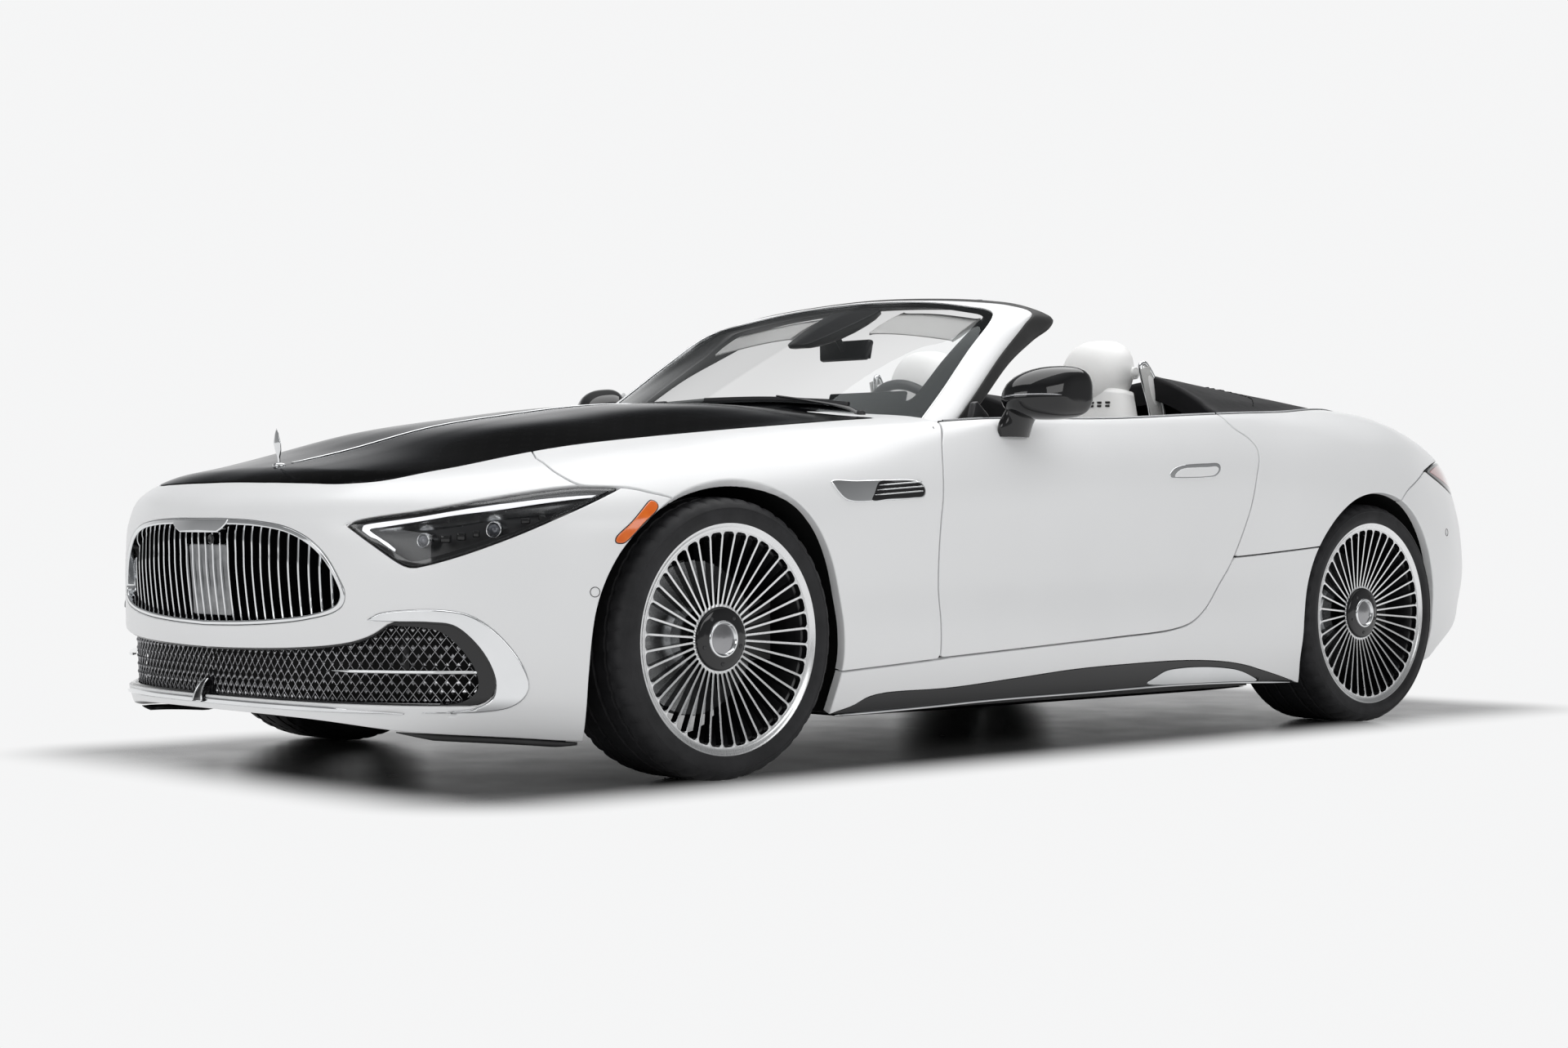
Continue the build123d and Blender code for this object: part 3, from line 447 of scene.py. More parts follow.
def table(rows):
    """A smooth value over two directions from a table: first column the row's key, first row the column's keys."""
    cols = np.array(rows[0][1:], float)
    keys = np.array([r[0] for r in rows[1:]], float)
    val = np.array([r[1:] for r in rows[1:]], float)
    sp = Spline(keys, val)
    def f(a, b):
        a, b = np.broadcast_arrays(np.asarray(a, float), np.asarray(b, float))
        v = sp(a)                                   # (..., ncols)
        # cubic Hermite across the columns with finite-difference slopes
        i = np.clip(np.searchsorted(cols, b) - 1, 0, len(cols) - 2)
        def at(k):
            k = np.clip(k, 0, len(cols) - 1)
            return np.take_along_axis(v, k[..., None], -1)[..., 0]
        y0, y1 = at(i), at(i + 1); ym, yp = at(i - 1), at(i + 2)
        x0, x1 = cols[i], cols[i + 1]
        xm, xp = cols[np.clip(i - 1, 0, None)], cols[np.clip(i + 2, None, len(cols) - 1)]
        h = x1 - x0
        d = (y1 - y0) / h
        dm = np.where(i > 0, (y0 - ym) / np.where(x0 > xm, x0 - xm, 1), d)
        dp = np.where(i < len(cols) - 2, (yp - y1) / np.where(xp > x1, xp - x1, 1), d)
        hm = np.where(x0 > xm, x0 - xm, h); hp = np.where(xp > x1, xp - x1, h)
        m0 = np.where(i > 0, (dm * h + d * hm) / (h + hm), d)
        m1 = np.where(i < len(cols) - 2, (d * hp + dp * h) / (h + hp), d)
        u = np.clip((b - x0) / h, 0, 1)
        out = (2*u**3-3*u**2+1)*y0 + (u**3-2*u**2+u)*h*m0 + (-2*u**3+3*u**2)*y1 + (u**3-u**2)*h*m1
        # straight beyond the last column
        return out + np.where(b > cols[-1], (b - cols[-1]) * m1, 0) + np.where(b < cols[0], (b - cols[0]) * m0, 0)
    return f

YA, YB, R0 = -1.45, 1.2665, 0.95
W = Spline([-1.45, -1.2, -1.0, -0.7, -0.3, 0.2, 0.6, 0.9, 1.2665], [.952, .949, .940, .931, .926, .926, .935, .948, .9575], 0.0, 0.0)
def polar(pts, yc, s):
    a = [np.arctan2(s * (y - yc), x) for x, y in pts]
    r = [np.hypot(x, y - yc) for x, y in pts]
    return a, r
_a, _r = polar([(.952, -1.45), (.936, -1.70), (.912, -1.82), (.84, -1.97), (.78, -2.06), (.70, -2.145), (.60, -2.215), (.50, -2.27), (.40, -2.303), (.30, -2.325), (.15, -2.3415), (0, -2.3485)], YA, -1)
RF = Spline(_a, _r, 0.0, 0.0)
_a, _r = polar([(.9575, 1.2665), (.95, 1.45), (.918, 1.65), (.87, 1.83), (.79, 2.0), (.69, 2.15), (.55, 2.262), (.35, 2.325), (0, 2.3485)], YB, 1)
RR = Spline(_a, _r, 0.0, 0.0)

INSET = table([
    (None, .10, .14, .20, .28, .36, .46, .55, .64, .70, .75, .80, .85, .90, .95, 1.0),
    (-2.942, .06, .030, .012, .014, .017, .012, .004, .000, .030, .12, .25, .40, .55, .7, .9),
    (-2.66, .06, .030, .012, .010, .012, .008, .002, .003, .032, .11, .22, .38, .55, .7, .9),
    (-2.40, .07, .035, .012, .006, .004, .002, .002, .012, .040, .10, .20, .35, .52, .7, .9),
    (-2.195, .08, .045, .015, .003, .000, .000, .006, .026, .054, .105, .20, .32, .50, .7, .9),
    (-1.95, .09, .055, .022, .006, .001, .000, .003, .016, .038, .080, .16, .27, .42, .6, .8),
    (-1.75, .09, .055, .024, .008, .002, .000, .001, .008, .024, .056, .115, .21, .36, .5, .7),
    (-1.45, .08, .050, .030, .014, .006, .002, .000, .004, .014, .036, .080, .165, .30, .45, .6),
    (-1.20, .08, .054, .033, .012, .006, .006, .005, .003, .009, .027, .062, .125, .22, .35, .5),
    (-0.95, .08, .057, .035, .012, .008, .014, .010, .004, .003, .014, .040, .085, .150, .24, .36),
    (-0.70, .08, .058, .035, .012, .008, .018, .015, .007, .001, .005, .019, .043, .078, .125, .19),
    (-0.30, .08, .058, .035, .012, .009, .021, .018, .010, .003, .002, .008, .024, .050, .087, .14),
    (0.25, .08, .058, .035, .013, .010, .021, .019, .011, .005, .002, .005, .018, .042, .074, .12),
    (0.65, .08, .058, .036, .014, .010, .017, .015, .009, .004, .001, .003, .014, .034, .064, .11),
    (0.95, .08, .060, .040, .018, .012, .010, .008, .004, .001, .001, .007, .021, .045, .082, .15),
    (1.2665, .08, .065, .045, .024, .012, .004, .000, .000, .002, .006, .014, .028, .050, .090, .16),
    (1.60, .09, .075, .050, .026, .012, .003, .000, .002, .006, .012, .022, .040, .075, .13, .22),
    (1.98, .17, .14, .09, .030, .014, .000, .002, .012, .026, .040, .060, .095, .16, .26, .42),
    (2.35, .20, .18, .12, .045, .018, .000, .010, .030, .048, .062, .078, .10, .20, .36, .5),
    (2.759, .22, .20, .13, .050, .020, .000, .010, .030, .046, .058, .068, .082, .16, .30, .45),
])
TOP = table([
    (None, 0, .2, .4, .55, .65, .75, .85, .93),
    (-2.36, .697, .694, .687, .677, .669, .657, .637, .617),
    (-2.25, .743, .740, .730, .713, .696, .675, .648, .620),
    (-2.10, .779, .776, .765, .747, .729, .702, .660, .62),
    (-1.90, .822, .819, .808, .792, .777, .750, .705, .65),
    (-1.70, .874, .873, .862, .838, .818, .792, .748, .69),
    (-1.43, .920, .919, .905, .877, .856, .836, .800, .742),
    (-1.20, .950, .949, .935, .906, .884, .863, .827, .77),
    (-0.95, .964, .962, .950, .925, .906, .888, .855, .80),
    (-0.75, .962, .959, .948, .931, .919, .908, .884, .84),
    (-0.40, .972, .968, .960, .950, .943, .935, .925, .90),
    (0.00, .984, .981, .975, .967, .960, .953, .943, .92),
    (0.50, .999, .997, .992, .985, .980, .973, .964, .945),
    (0.90, 1.008, 1.007, 1.005, 1.002, .998, .992, .978, .945),
    (1.20, 1.002, 1.003, 1.004, 1.004, 1.002, .995, .968, .915),
    (1.53, .975, .977, .979, .980, .978, .972, .950, .90),
    (1.72, .950, .951, .951, .950, .946, .934, .905, .85),
    (1.87, .926, .926, .924, .920, .910, .888, .85, .79),
    (2.05, .896, .895, .891, .882, .862, .825, .77, .70),
    (2.26, .858, .856, .846, .822, .790, .742, .675, .60),
    (2.36, .838, .835, .825, .80, .765, .715, .65, .57),
])
KBLEND = Spline([-2.95, -2.3, -1.8, -1.2, -0.7, 0.3, 0.9, 1.3, 1.8, 2.3, 2.76], [.045, .055, .06, .06, .035, .025, .03, .05, .045, .030, .022])
YWF, YWR, ZWF, ZWR = -1.4335, 1.2665, .349, .346

def unroll(x, y):
    """Station along the outline and distance out from the spine, for |x|."""
    x = np.abs(x)
    pf, pr = np.arctan2(-(y - YA), x), np.arctan2(y - YB, x)
    f, r = y < YA, y > YB
    t = np.where(f, YA - R0 * pf, np.where(r, YB + R0 * pr, y))
    rho = np.where(f, np.hypot(x, y - YA), np.where(r, np.hypot(x, y - YB), x))
    return t, rho

def width(t):
    return np.where(t < YA, RF((YA - t) / R0), np.where(t > YB, RR((t - YB) / R0), W(np.clip(t, YA, YB))))

def arch_band(y, z):
    """Raised lip round each wheel opening."""
    out = 0
    for yc, zc, r in ((YWF, ZWF, .388), (YWR, ZWR, .380)):
        d = np.hypot(y - yc, z - zc) - r
        out = out + .005 * np.clip(1 - (d - .045) / .012, 0, 1) * np.clip((z - .12) / .1, 0, 1)
    return out

def F(x, y, z):
    x, y, z = np.broadcast_arrays(np.abs(np.asarray(x, float)), np.asarray(y, float), np.asarray(z, float))
    t, rho = unroll(x, y)
    g = rho - width(t) + INSET(t, z)
    h = z - TOP(y, x)
    k = KBLEND(t)
    e = np.clip(k - np.abs(g - h), 0, None)
    return np.maximum(g, h) + e * e / (4 * k)

# ------------------------------------------------------------------ the body's surface as meshes


def gradient(P, h=3e-4):
    g = np.empty_like(P)
    for i in range(3):
        a, b = P.copy(), P.copy()
        a[:, i] += h
        b[:, i] -= h
        g[:, i] = (F(a[:, 0], a[:, 1], a[:, 2]) - F(b[:, 0], b[:, 1], b[:, 2])) / (2 * h)
    return g


def normals(P):
    g = gradient(P)
    return g / (np.linalg.norm(g, axis=1)[:, None] + 1e-12)


def snap(P, steps=1):
    for _ in range(steps):
        g = gradient(P)
        f = F(P[:, 0], P[:, 1], P[:, 2])
        P = P - np.clip(f / (np.sum(g * g, 1) + 1e-9), -0.004, 0.004)[:, None] * g
    return P


T_NOSE, T_TAIL = YA - R0 * np.pi / 2, YB + R0 * np.pi / 2


def spine(t, a=0.5):
    """Point on the spine and the level direction out from it, at station t."""
    t = np.asarray(t, float)
    pf, pr = np.clip((YA - t) / R0, 0, None), np.clip((t - YB) / R0, 0, None)
    ph = np.where(t < YA, -pf, pr)
    yc = np.where(t < YA, YA, np.where(t > YB, YB, t))
    h = np.stack([np.cos(ph), np.sin(ph), 0 * ph], -1)
    o = np.stack([a * np.cos(ph), yc + a * np.sin(ph), 0 * ph + 0.5], -1)
    return o, h


def cast(o, d, s0=0.03, s1=0.95, n=40):
    """Where rays from inside the body leave it."""
    s = np.linspace(s0, s1, n)
    lo, hi = np.full(len(o), s0), np.full(len(o), s1)
    found = np.zeros(len(o), bool)
    prev = lo.copy()
    for k in s[1:]:
        p = o + d * k
        out = F(p[:, 0], p[:, 1], p[:, 2]) > 0
        new = out & ~found
        lo[new], hi[new] = prev[new], k
        found |= new
        prev[:] = k
        if found.all():
            break
    for _ in range(22):
        m = (lo + hi) / 2
        p = o + d * m[:, None]
        out = F(p[:, 0], p[:, 1], p[:, 2]) > 0
        hi = np.where(out, m, hi)
        lo = np.where(out, lo, m)
    return o + d * ((lo + hi) / 2)[:, None]


def side_sheet(t0, t1, nt, a0=-50.0, a1=90.0, na=100):
    """Points of the left half's surface on a grid of stations and angles, as (points, triangles)."""
    t = np.linspace(t0, t1, nt)
    a = np.radians(np.linspace(a0, a1, na))
    o, h = spine(t)
    d = h[:, None, :] * np.cos(a)[None, :, None] + np.array([0, 0, 1.0]) * np.sin(a)[None, :, None]
    o = np.broadcast_to(o[:, None, :], d.shape)
    P = cast(o.reshape(-1, 3), d.reshape(-1, 3))
    q = grid_faces(nt, na)
    return P, np.vstack([q[:, [0, 1, 2]], q[:, [0, 2, 3]]])


def top_sheet(x0, x1, nx, y0, y1, ny, z0=0.5, z1=1.15):
    """The same from straight above."""
    x, y = np.meshgrid(np.linspace(x0, x1, nx), np.linspace(y0, y1, ny), indexing="ij")
    x, y = x.ravel(), y.ravel()
    lo, hi = np.full(x.shape, z0), np.full(x.shape, z1)
    for _ in range(26):
        m = (lo + hi) / 2
        out = F(x, y, m) > 0
        hi = np.where(out, m, hi)
        lo = np.where(out, lo, m)
    q = grid_faces(nx, ny)
    return np.stack([x, y, (lo + hi) / 2], -1), np.vstack([q[:, [0, 1, 2]], q[:, [0, 2, 3]]])


def cut(P, T, s, keep="high"):
    """Splits triangles along s = 0 and keeps the high side, or both."""
    s = np.where(np.abs(s) < 1e-8, 1e-8, s)
    ins = s > 0
    k = ins[T].sum(1)
    mixed = T[(k == 1) | (k == 2)]
    km = k[(k == 1) | (k == 2)]
    out = [T[k == 3]] if keep == "high" else [T[(k == 0) | (k == 3)]]
    if len(mixed):
        im = ins[mixed]
        odd = np.where((km == 1)[:, None], im, ~im).argmax(1)
        r = np.arange(len(mixed))
        a, b, c = mixed[r, odd], mixed[r, (odd + 1) % 3], mixed[r, (odd + 2) % 3]
        E = np.sort(np.concatenate([np.stack([a, b], 1), np.stack([a, c], 1)]), 1)
        U, inv = np.unique(E, axis=0, return_inverse=True)
        w = s[U[:, 0]] / (s[U[:, 0]] - s[U[:, 1]])
        new = P[U[:, 0]] + w[:, None] * (P[U[:, 1]] - P[U[:, 0]])
        inv = inv.ravel() + len(P)
        ab, ac = inv[: len(mixed)], inv[len(mixed) :]
        P = np.vstack([P, new])
        odd_tri = np.stack([a, ab, ac], 1)
        q1, q2 = np.stack([ab, b, c], 1), np.stack([ab, c, ac], 1)
        one = km == 1
        if keep == "high":
            out += [odd_tri[one], q1[~one], q2[~one]]
        else:
            out += [odd_tri, q1, q2]
    T = np.vstack(out)
    used = np.unique(T)
    m = np.full(len(P), -1)
    m[used] = np.arange(len(used))
    return P[used], m[T]


def poly_dist(p, poly):
    """Signed distance to a closed polygon, positive inside."""
    a = np.asarray(poly, float)
    b = np.roll(a, -1, 0)
    d = np.full(len(p), 1e9)
    inside = np.zeros(len(p), bool)
    for (ax, ay), (bx, by) in zip(a, b):
        ex, ey = bx - ax, by - ay
        L = ex * ex + ey * ey
        if L < 1e-14:
            continue
        k = np.clip(((p[:, 0] - ax) * ex + (p[:, 1] - ay) * ey) / L, 0, 1)
        d = np.minimum(d, (p[:, 0] - ax - k * ex) ** 2 + (p[:, 1] - ay - k * ey) ** 2)
        cross = (ay > p[:, 1]) != (by > p[:, 1])
        if ey != 0:
            inside ^= cross & (p[:, 0] < ax + (p[:, 1] - ay) * ex / ey)
    d = np.sqrt(d)
    return np.where(inside, d, -d)


def tz(P):
    t, _ = unroll(P[:, 0], P[:, 1])
    return np.stack([t, P[:, 2]], 1)


def within(poly, how="tz"):
    poly = np.asarray(poly, float)
    if how == "tz":
        return lambda P: poly_dist(tz(P), poly)
    return lambda P: poly_dist(np.stack([np.abs(P[:, 0]), P[:, 1]], 1), poly)


def outside(poly, how="tz"):
    f = within(poly, how)
    return lambda P: -f(P)


class Skin:
    """A cut piece of the body surface: points, triangles, normals, distance to its edge and the way out at its edge."""


def trim(P, T, fields, r=0.0025, gap=0.0022, snap_fn=None, normal_fn=None):
    """Cuts a sheet to the inside of all the fields, with rounded edges. A field is a function, or (function, gap, r)."""
    fs = [(f if isinstance(f, tuple) else (f, gap, r)) for f in fields]
    for f, g, _ in fs:
        P, T = cut(P, T, f(P) - g)
    for lv in (1.0, 0.35):
        for f, g, rr in fs:
            if rr > 0:
                P, T = cut(P, T, f(P) - g - lv * rr, keep="both")
    P = (snap_fn or snap)(P)
    N = (normal_fn or normals)(P)
    s = np.full(len(P), 1e3)
    rad = np.full(len(P), 1e-6)
    which = np.zeros(len(P), int)
    for i, (f, g, rr) in enumerate(fs):
        v = f(P) - g
        if rr <= 0:
            v = np.where(v < 1e-4, v, 1e3)
        # compare by share of each edge's own rounding
        better = v < s
        s, rad, which = np.where(better, v, s), np.where(better, max(rr, 1e-6), rad), np.where(better, i, which)
    near = np.where(s < rad * 1.001)[0]
    out = np.zeros_like(P)
    for i, (f, g, rr) in enumerate(fs):
        k = near[which[near] == i]
        if not len(k):
            continue
        q = P[k]
        h = 2e-4
        gr = np.empty_like(q)
        for ax in range(3):
            a, b = q.copy(), q.copy()
            a[:, ax] += h
            b[:, ax] -= h
            gr[:, ax] = (f(a) - f(b)) / (2 * h)
        gr -= np.sum(gr * N[k], 1)[:, None] * N[k]
        out[k] = -gr / (np.linalg.norm(gr, axis=1)[:, None] + 1e-9)
    S = Skin()
    S.T = T
    S.base, S.surface_n = P, N
    e = np.clip((rad - s) / rad, 0, 1)
    depth = rad * (1 - np.sqrt(np.clip(1 - e * e, 0, 1)))
    S.P = P - N * depth[:, None]
    c = np.sqrt(np.clip(1 - e * e, 0, 1))
    S.N = N * c[:, None] + out * e[:, None]
    S.out = out
    S.depth = depth
    return S


def edges_of(T):
    E = np.vstack([T[:, [0, 1]], T[:, [1, 2]], T[:, [2, 0]]])
    key = {}
    for a, b in E.tolist():
        key[(a, b)] = True
    return [(a, b) for a, b in key if (b, a) not in key]


def skin_mesh(S, flange=0.014, back=False, skip=None, lift=0.0, two_sided=True):
    """Verts, faces and normals with the edges turned in, and with an inner face where back is given."""
    P, T, N = S.P + S.surface_n * lift, S.T, S.N
    E = edges_of(T)
    if skip is not None:
        E = [(a, b) for a, b in E if not (skip(P[a]) and skip(P[b]))]
    ring = sorted({v for e in E for v in e})
    m = {v: i for i, v in enumerate(ring)}
    n = len(P)
    r = np.array(ring, int)
    V = [P]
    NN = [N]
    F_ = T.tolist()
    if flange > 0 and len(r):
        inner = S.base[r] + S.surface_n[r] * lift - S.surface_n[r] * (S.depth[r] + flange)[:, None]
        V.append(inner)
        o = S.out[r]
        NN.append(np.where(np.linalg.norm(o, axis=1)[:, None] > 0.5, o, S.surface_n[r]))
        F_ += [[b, a, n + m[a], n + m[b]] for a, b in E]
    if back:
        k = sum(len(v) for v in V)
        V.append(S.base + S.surface_n * (lift - flange - 0.0005))
        NN.append(-S.surface_n)
        F_ += [[c + k, b + k, a + k] for a, b, c in T.tolist()]
    return np.vstack(V), F_, np.vstack(NN)


def both_sides(V, Fc, N):
    """The mesh and its mirror image as one, joined on the centre line."""
    n = len(V)
    mid = np.abs(V[:, 0]) < 1e-5
    idx = np.where(mid, np.arange(n), np.cumsum(~mid) - 1 + n)
    V2, N2 = V[~mid] * [-1, 1, 1], N[~mid] * [-1, 1, 1]
    N = N.copy()
    N[mid, 0] = 0
    return np.vstack([V, V2]), list(Fc) + [[int(idx[i]) for i in f[::-1]] for f in Fc], np.vstack([N, N2])


def skin_object(name, V, Fc, N, mat, body, **kw):
    ob = make(name, V, Fc, mat, body, **kw)
    N = N / (np.linalg.norm(N, axis=1)[:, None] + 1e-9)
    if len(ob.data.vertices) == len(N):
        ob.data.normals_split_custom_set_from_vertices(N.tolist())
    return ob


def pair_of(name, V, Fc, N, mat, bodies, nodes=True, slot=None, names=None):
    """The left piece and its mirror image on the right."""
    out = []
    for s, side in ((1, "left"), (-1, "right")):
        v, f, n = (V, Fc, N) if s == 1 else (V * [-1, 1, 1], [list(q)[::-1] for q in Fc], N * [-1, 1, 1])
        rep = [f"{nodes if isinstance(nodes, str) else name}_{side}"] if nodes else []
        out.append(skin_object(f"{names or name}_{side}_look", v, f, n, mat, bodies[side] if isinstance(bodies, dict) else bodies, replaces=rep, slot=slot))
    return out


DOORS = {"left": "door_left", "right": "door_right"}

# ------------------------------------------------------------------ outlines, as station and height on the side, or x and y on top

# hood edge from the middle of the nose to the windscreen pillar, then along the foot of the windscreen
HOOD_SIDE = catmull([(0, -2.2525), (0.16, -2.249), (0.31, -2.238), (0.43, -2.211), (0.512, -2.150), (0.565, -2.020), (0.592, -1.900), (0.618, -1.760), (0.640, -1.600), (0.660, -1.434), (0.680, -1.300), (0.695, -1.150), (0.702, -1.000), (0.705, -0.860), (0.716, -0.735)], 10)
HOOD_BACK = catmull([(0.716, -0.735), (0.690, -0.712), (0.560, -0.758), (0.300, -0.828), (0, -0.856)], 8)
HOOD_POLY = np.vstack([[(-0.5, -2.2525)], HOOD_SIDE, HOOD_BACK[1:], [(-0.5, -0.856)]])
# where the bumper stops and the wing starts
SEAM = catmull([(-1.935, 0.790), (-1.921, 0.778), (-1.903, 0.758), (-1.864, 0.731), (-1.842, 0.7225), (-1.780, 0.720), (-1.723, 0.718), (-1.660, 0.706), (-1.614, 0.695), (-1.55, 0.66)], 6)
DOOR_F = catmull([(-0.606, 0.925), (-0.612, 0.903), (-0.650, 0.845), (-0.672, 0.775), (-0.680, 0.700), (-0.681, 0.600), (-0.680, 0.480), (-0.680, 0.360), (-0.678, 0.276)], 6)
DOOR_B = catmull([(-0.678, 0.274), (-0.43, 0.285), (-0.19, 0.296), (0.05, 0.307), (0.298, 0.322), (0.385, 0.342), (0.451, 0.384), (0.515, 0.447), (0.572, 0.513), (0.643, 0.660), (0.672, 0.782), (0.689, 0.828), (0.687, 0.862), (0.655, 0.893), (0.613, 0.916), (0.571, 0.962)], 6)
DOOR_POLY = np.vstack([DOOR_F, DOOR_B, [(0.566, 0.975), (0.560, 1.2), (-0.600, 1.2), (-0.600, 0.945)]])
ARCH_F = np.vstack([[(-1.845, -0.3)], catmull([(-1.836, 0.100), (-1.840, 0.152), (-1.841, 0.270), (-1.821, 0.444), (-1.769, 0.558), (-1.690, 0.640), (-1.605, 0.696), (-1.505, 0.7285), (-1.388, 0.740), (-1.275, 0.716), (-1.175, 0.652), (-1.095, 0.545), (-1.052, 0.400), (-1.045, 0.270), (-1.056, 0.150)], 6), [(-1.056, -0.3)]])
ARCH_R = np.vstack([[(0.952, -0.3)], catmull([(0.944, 0.140), (0.918, 0.231), (0.912, 0.340), (0.925, 0.440), (0.968, 0.543), (1.055, 0.645), (1.160, 0.707), (1.286, 0.727), (1.403, 0.706), (1.500, 0.650), (1.580, 0.560), (1.636, 0.440), (1.665, 0.320), (1.695, 0.220)], 6), [(1.700, -0.3)]])
SILL_TOP = catmull([(-1.10, 0.250), (-1.049, 0.253), (-0.86, 0.262), (-0.678, 0.272)], 4)
QUARTER_LOW = catmull([(0.5765, 0.529), (0.70, 0.537), (0.913, 0.553), (1.00, 0.560)], 4)
LAMP_TOP = catmull([(1.612, 0.802), (1.711, 0.823), (1.82, 0.834), (1.98, 0.838), (2.20, 0.836), (2.30, 0.832)], 6)
LAMP_LOW = catmull([(1.612, 0.802), (1.70, 0.775), (1.847, 0.738), (2.00, 0.724), (2.18, 0.722), (2.30, 0.726)], 6)
TAIL_SEAM = catmull([(1.36, 0.66), (1.443, 0.729), (1.53, 0.768), (1.612, 0.802)], 5)
TAIL_T0 = 2.24          # station where the lamps meet the lid
# the shoulder's inner edge beside the cabin and along the cover: y, x
BELT = [(-0.60, 0.838), (-0.513, 0.846), (-0.222, 0.852), (0.103, 0.852), (0.40, 0.854), (0.61, 0.855), (0.80, 0.842), (0.954, 0.820), (1.12, 0.782), (1.276, 0.734), (1.40, 0.690), (1.47, 0.665)]
BELT_S = Spline([b[0] for b in BELT], [b[1] for b in BELT])


def belt_x(y):
    return BELT_S(np.clip(y, -0.60, 1.47))


def outboard(P):
    """How far a point lies outboard of the belt; anything low on the side is far outboard."""
    return np.where((P[:, 2] > 0.80) & (P[:, 1] < 1.58), np.abs(P[:, 0]) - belt_x(P[:, 1]), 0.2)


LID_SIDE = catmull([(0.700, 1.44), (0.716, 1.55), (0.712, 1.68), (0.690, 1.82), (0.655, 1.95), (0.610, 2.07), (0.575, 2.16), (0.560, 2.24)], 8)
LID_POLY = np.vstack([[(-0.5, 1.478)], catmull([(0, 1.478), (0.30, 1.474), (0.60, 1.462), (0.690, 1.455)], 5), LID_SIDE[1:], [(0.560, 2.6), (-0.5, 2.6)]])
# the lid's upright rear face: (station, height)
LID_FACE = [(1.70, 1.2), (1.70, 0.8345), (2.20, 0.8340), (TAIL_T0 + 0.012, 0.8320), (TAIL_T0 + 0.014, 0.72), (TAIL_T0 + 0.030, 0.70), (T_TAIL + 0.5, 0.69), (T_TAIL + 0.5, 1.2)]
WING_POLY = np.vstack([SEAM, [(-1.45, 0.50), (-1.43, 0.35)], [(-1.12, 0.249)], SILL_TOP[1:], DOOR_F[::-1], [(-0.598, 0.96), (-0.598, 1.3), (-1.96, 1.3)]])
SILL_POLY = np.vstack([[(-1.12, 0.0)], SILL_TOP, DOOR_B[1:50]])
k = int(np.argmin(np.abs(DOOR_B[:, 1] - 0.529) + (DOOR_B[:, 0] < 0.4) * 9))
SILL_POLY = np.vstack([[(-1.12, 0.0)], SILL_TOP, DOOR_B[1:k], QUARTER_LOW, [(1.10, 0.56), (1.10, 0.0)]])
QUARTER_POLY = np.vstack([QUARTER_LOW[::-1], DOOR_B[k:], [(0.566, 0.975), (0.560, 1.3), (T_TAIL + 0.5, 1.3), (T_TAIL + 0.5, 0.80), (TAIL_T0, 0.832)], LAMP_TOP[::-1][8:], TAIL_SEAM[::-1], [(1.25, 0.60)]])
QUARTER_POLY = np.vstack([QUARTER_LOW[::-1], DOOR_B[k:], [(0.566, 0.975), (0.560, 1.3), (T_TAIL + 0.5, 1.3), (T_TAIL + 0.5, 0.832)], LAMP_TOP[::-1], TAIL_SEAM[::-1], [(1.25, 0.60)]])
TAIL_POLY = np.vstack([TAIL_SEAM[:-1], LAMP_LOW, [(T_TAIL + 0.5, 0.70), (T_TAIL + 0.5, -0.2), (1.30, -0.2), (1.30, 0.60)]])
TAIL_POLY = np.vstack([TAIL_SEAM[:-1], LAMP_LOW[: int(np.argmin(np.abs(LAMP_LOW[:, 0] - TAIL_T0)))], [(TAIL_T0 + 0.005, 0.722), (TAIL_T0 + 0.03, 0.695), (T_TAIL + 0.5, 0.685), (T_TAIL + 0.5, -0.2), (1.30, -0.2), (1.30, 0.60)]])
RED_POLY = np.vstack([LAMP_TOP[:-3], [(TAIL_T0 + 0.012, 0.832), (TAIL_T0 + 0.012, 0.725)], LAMP_LOW[::-1][3:]])

# nose openings
HEADLAMP = np.vstack([catmull([(-2.410, 0.630), (-2.362, 0.643), (-2.228, 0.663), (-2.057, 0.694), (-1.923, 0.715), (-1.842, 0.7225), (-1.736, 0.7215)], 8), catmull([(-1.736, 0.7215), (-1.800, 0.695), (-1.887, 0.657), (-2.015, 0.601), (-2.139, 0.555), (-2.215, 0.5335), (-2.240, 0.5295), (-2.262, 0.534), (-2.339, 0.582), (-2.410, 0.630)], 8)[1:-1]])
GRILLE_EDGE = catmull([(-2.942, 0.6435), (-2.826, 0.6432), (-2.687, 0.638), (-2.579, 0.623), (-2.508, 0.595), (-2.459, 0.556), (-2.423, 0.504), (-2.407, 0.468), (-2.413, 0.441), (-2.439, 0.423), (-2.512, 0.406), (-2.612, 0.394), (-2.762, 0.385), (-2.942, 0.3805)], 8)
GRILLE_POLY = np.vstack([[(-3.3, 0.6435)], GRILLE_EDGE, [(-3.3, 0.3805)]])
SWEEP_OUT = [(-2.352, 0.4075), (-2.319, 0.423), (-2.256, 0.431), (-2.171, 0.432), (-2.113, 0.421), (-2.064, 0.391), (-2.015, 0.338), (-1.986, 0.287), (-1.979, 0.250), (-1.992, 0.222), (-2.022, 0.203), (-2.073, 0.194), (-2.156, 0.191), (-2.24, 0.190)]
SWEEP_IN = [(-2.352, 0.4055), (-2.283, 0.404), (-2.196, 0.403), (-2.146, 0.396), (-2.105, 0.364), (-2.068, 0.312), (-2.052, 0.260), (-2.060, 0.226), (-2.097, 0.204), (-2.139, 0.197), (-2.24, 0.1925)]
SWEEP_POLY = np.vstack([catmull(SWEEP_OUT, 6), catmull(SWEEP_IN, 6)[::-1]])
MESH_TOP = [(-2.942, 0.3285), (-2.795, 0.330), (-2.574, 0.337), (-2.445, 0.347), (-2.385, 0.357), (-2.337, 0.374), (-2.300, 0.398)]
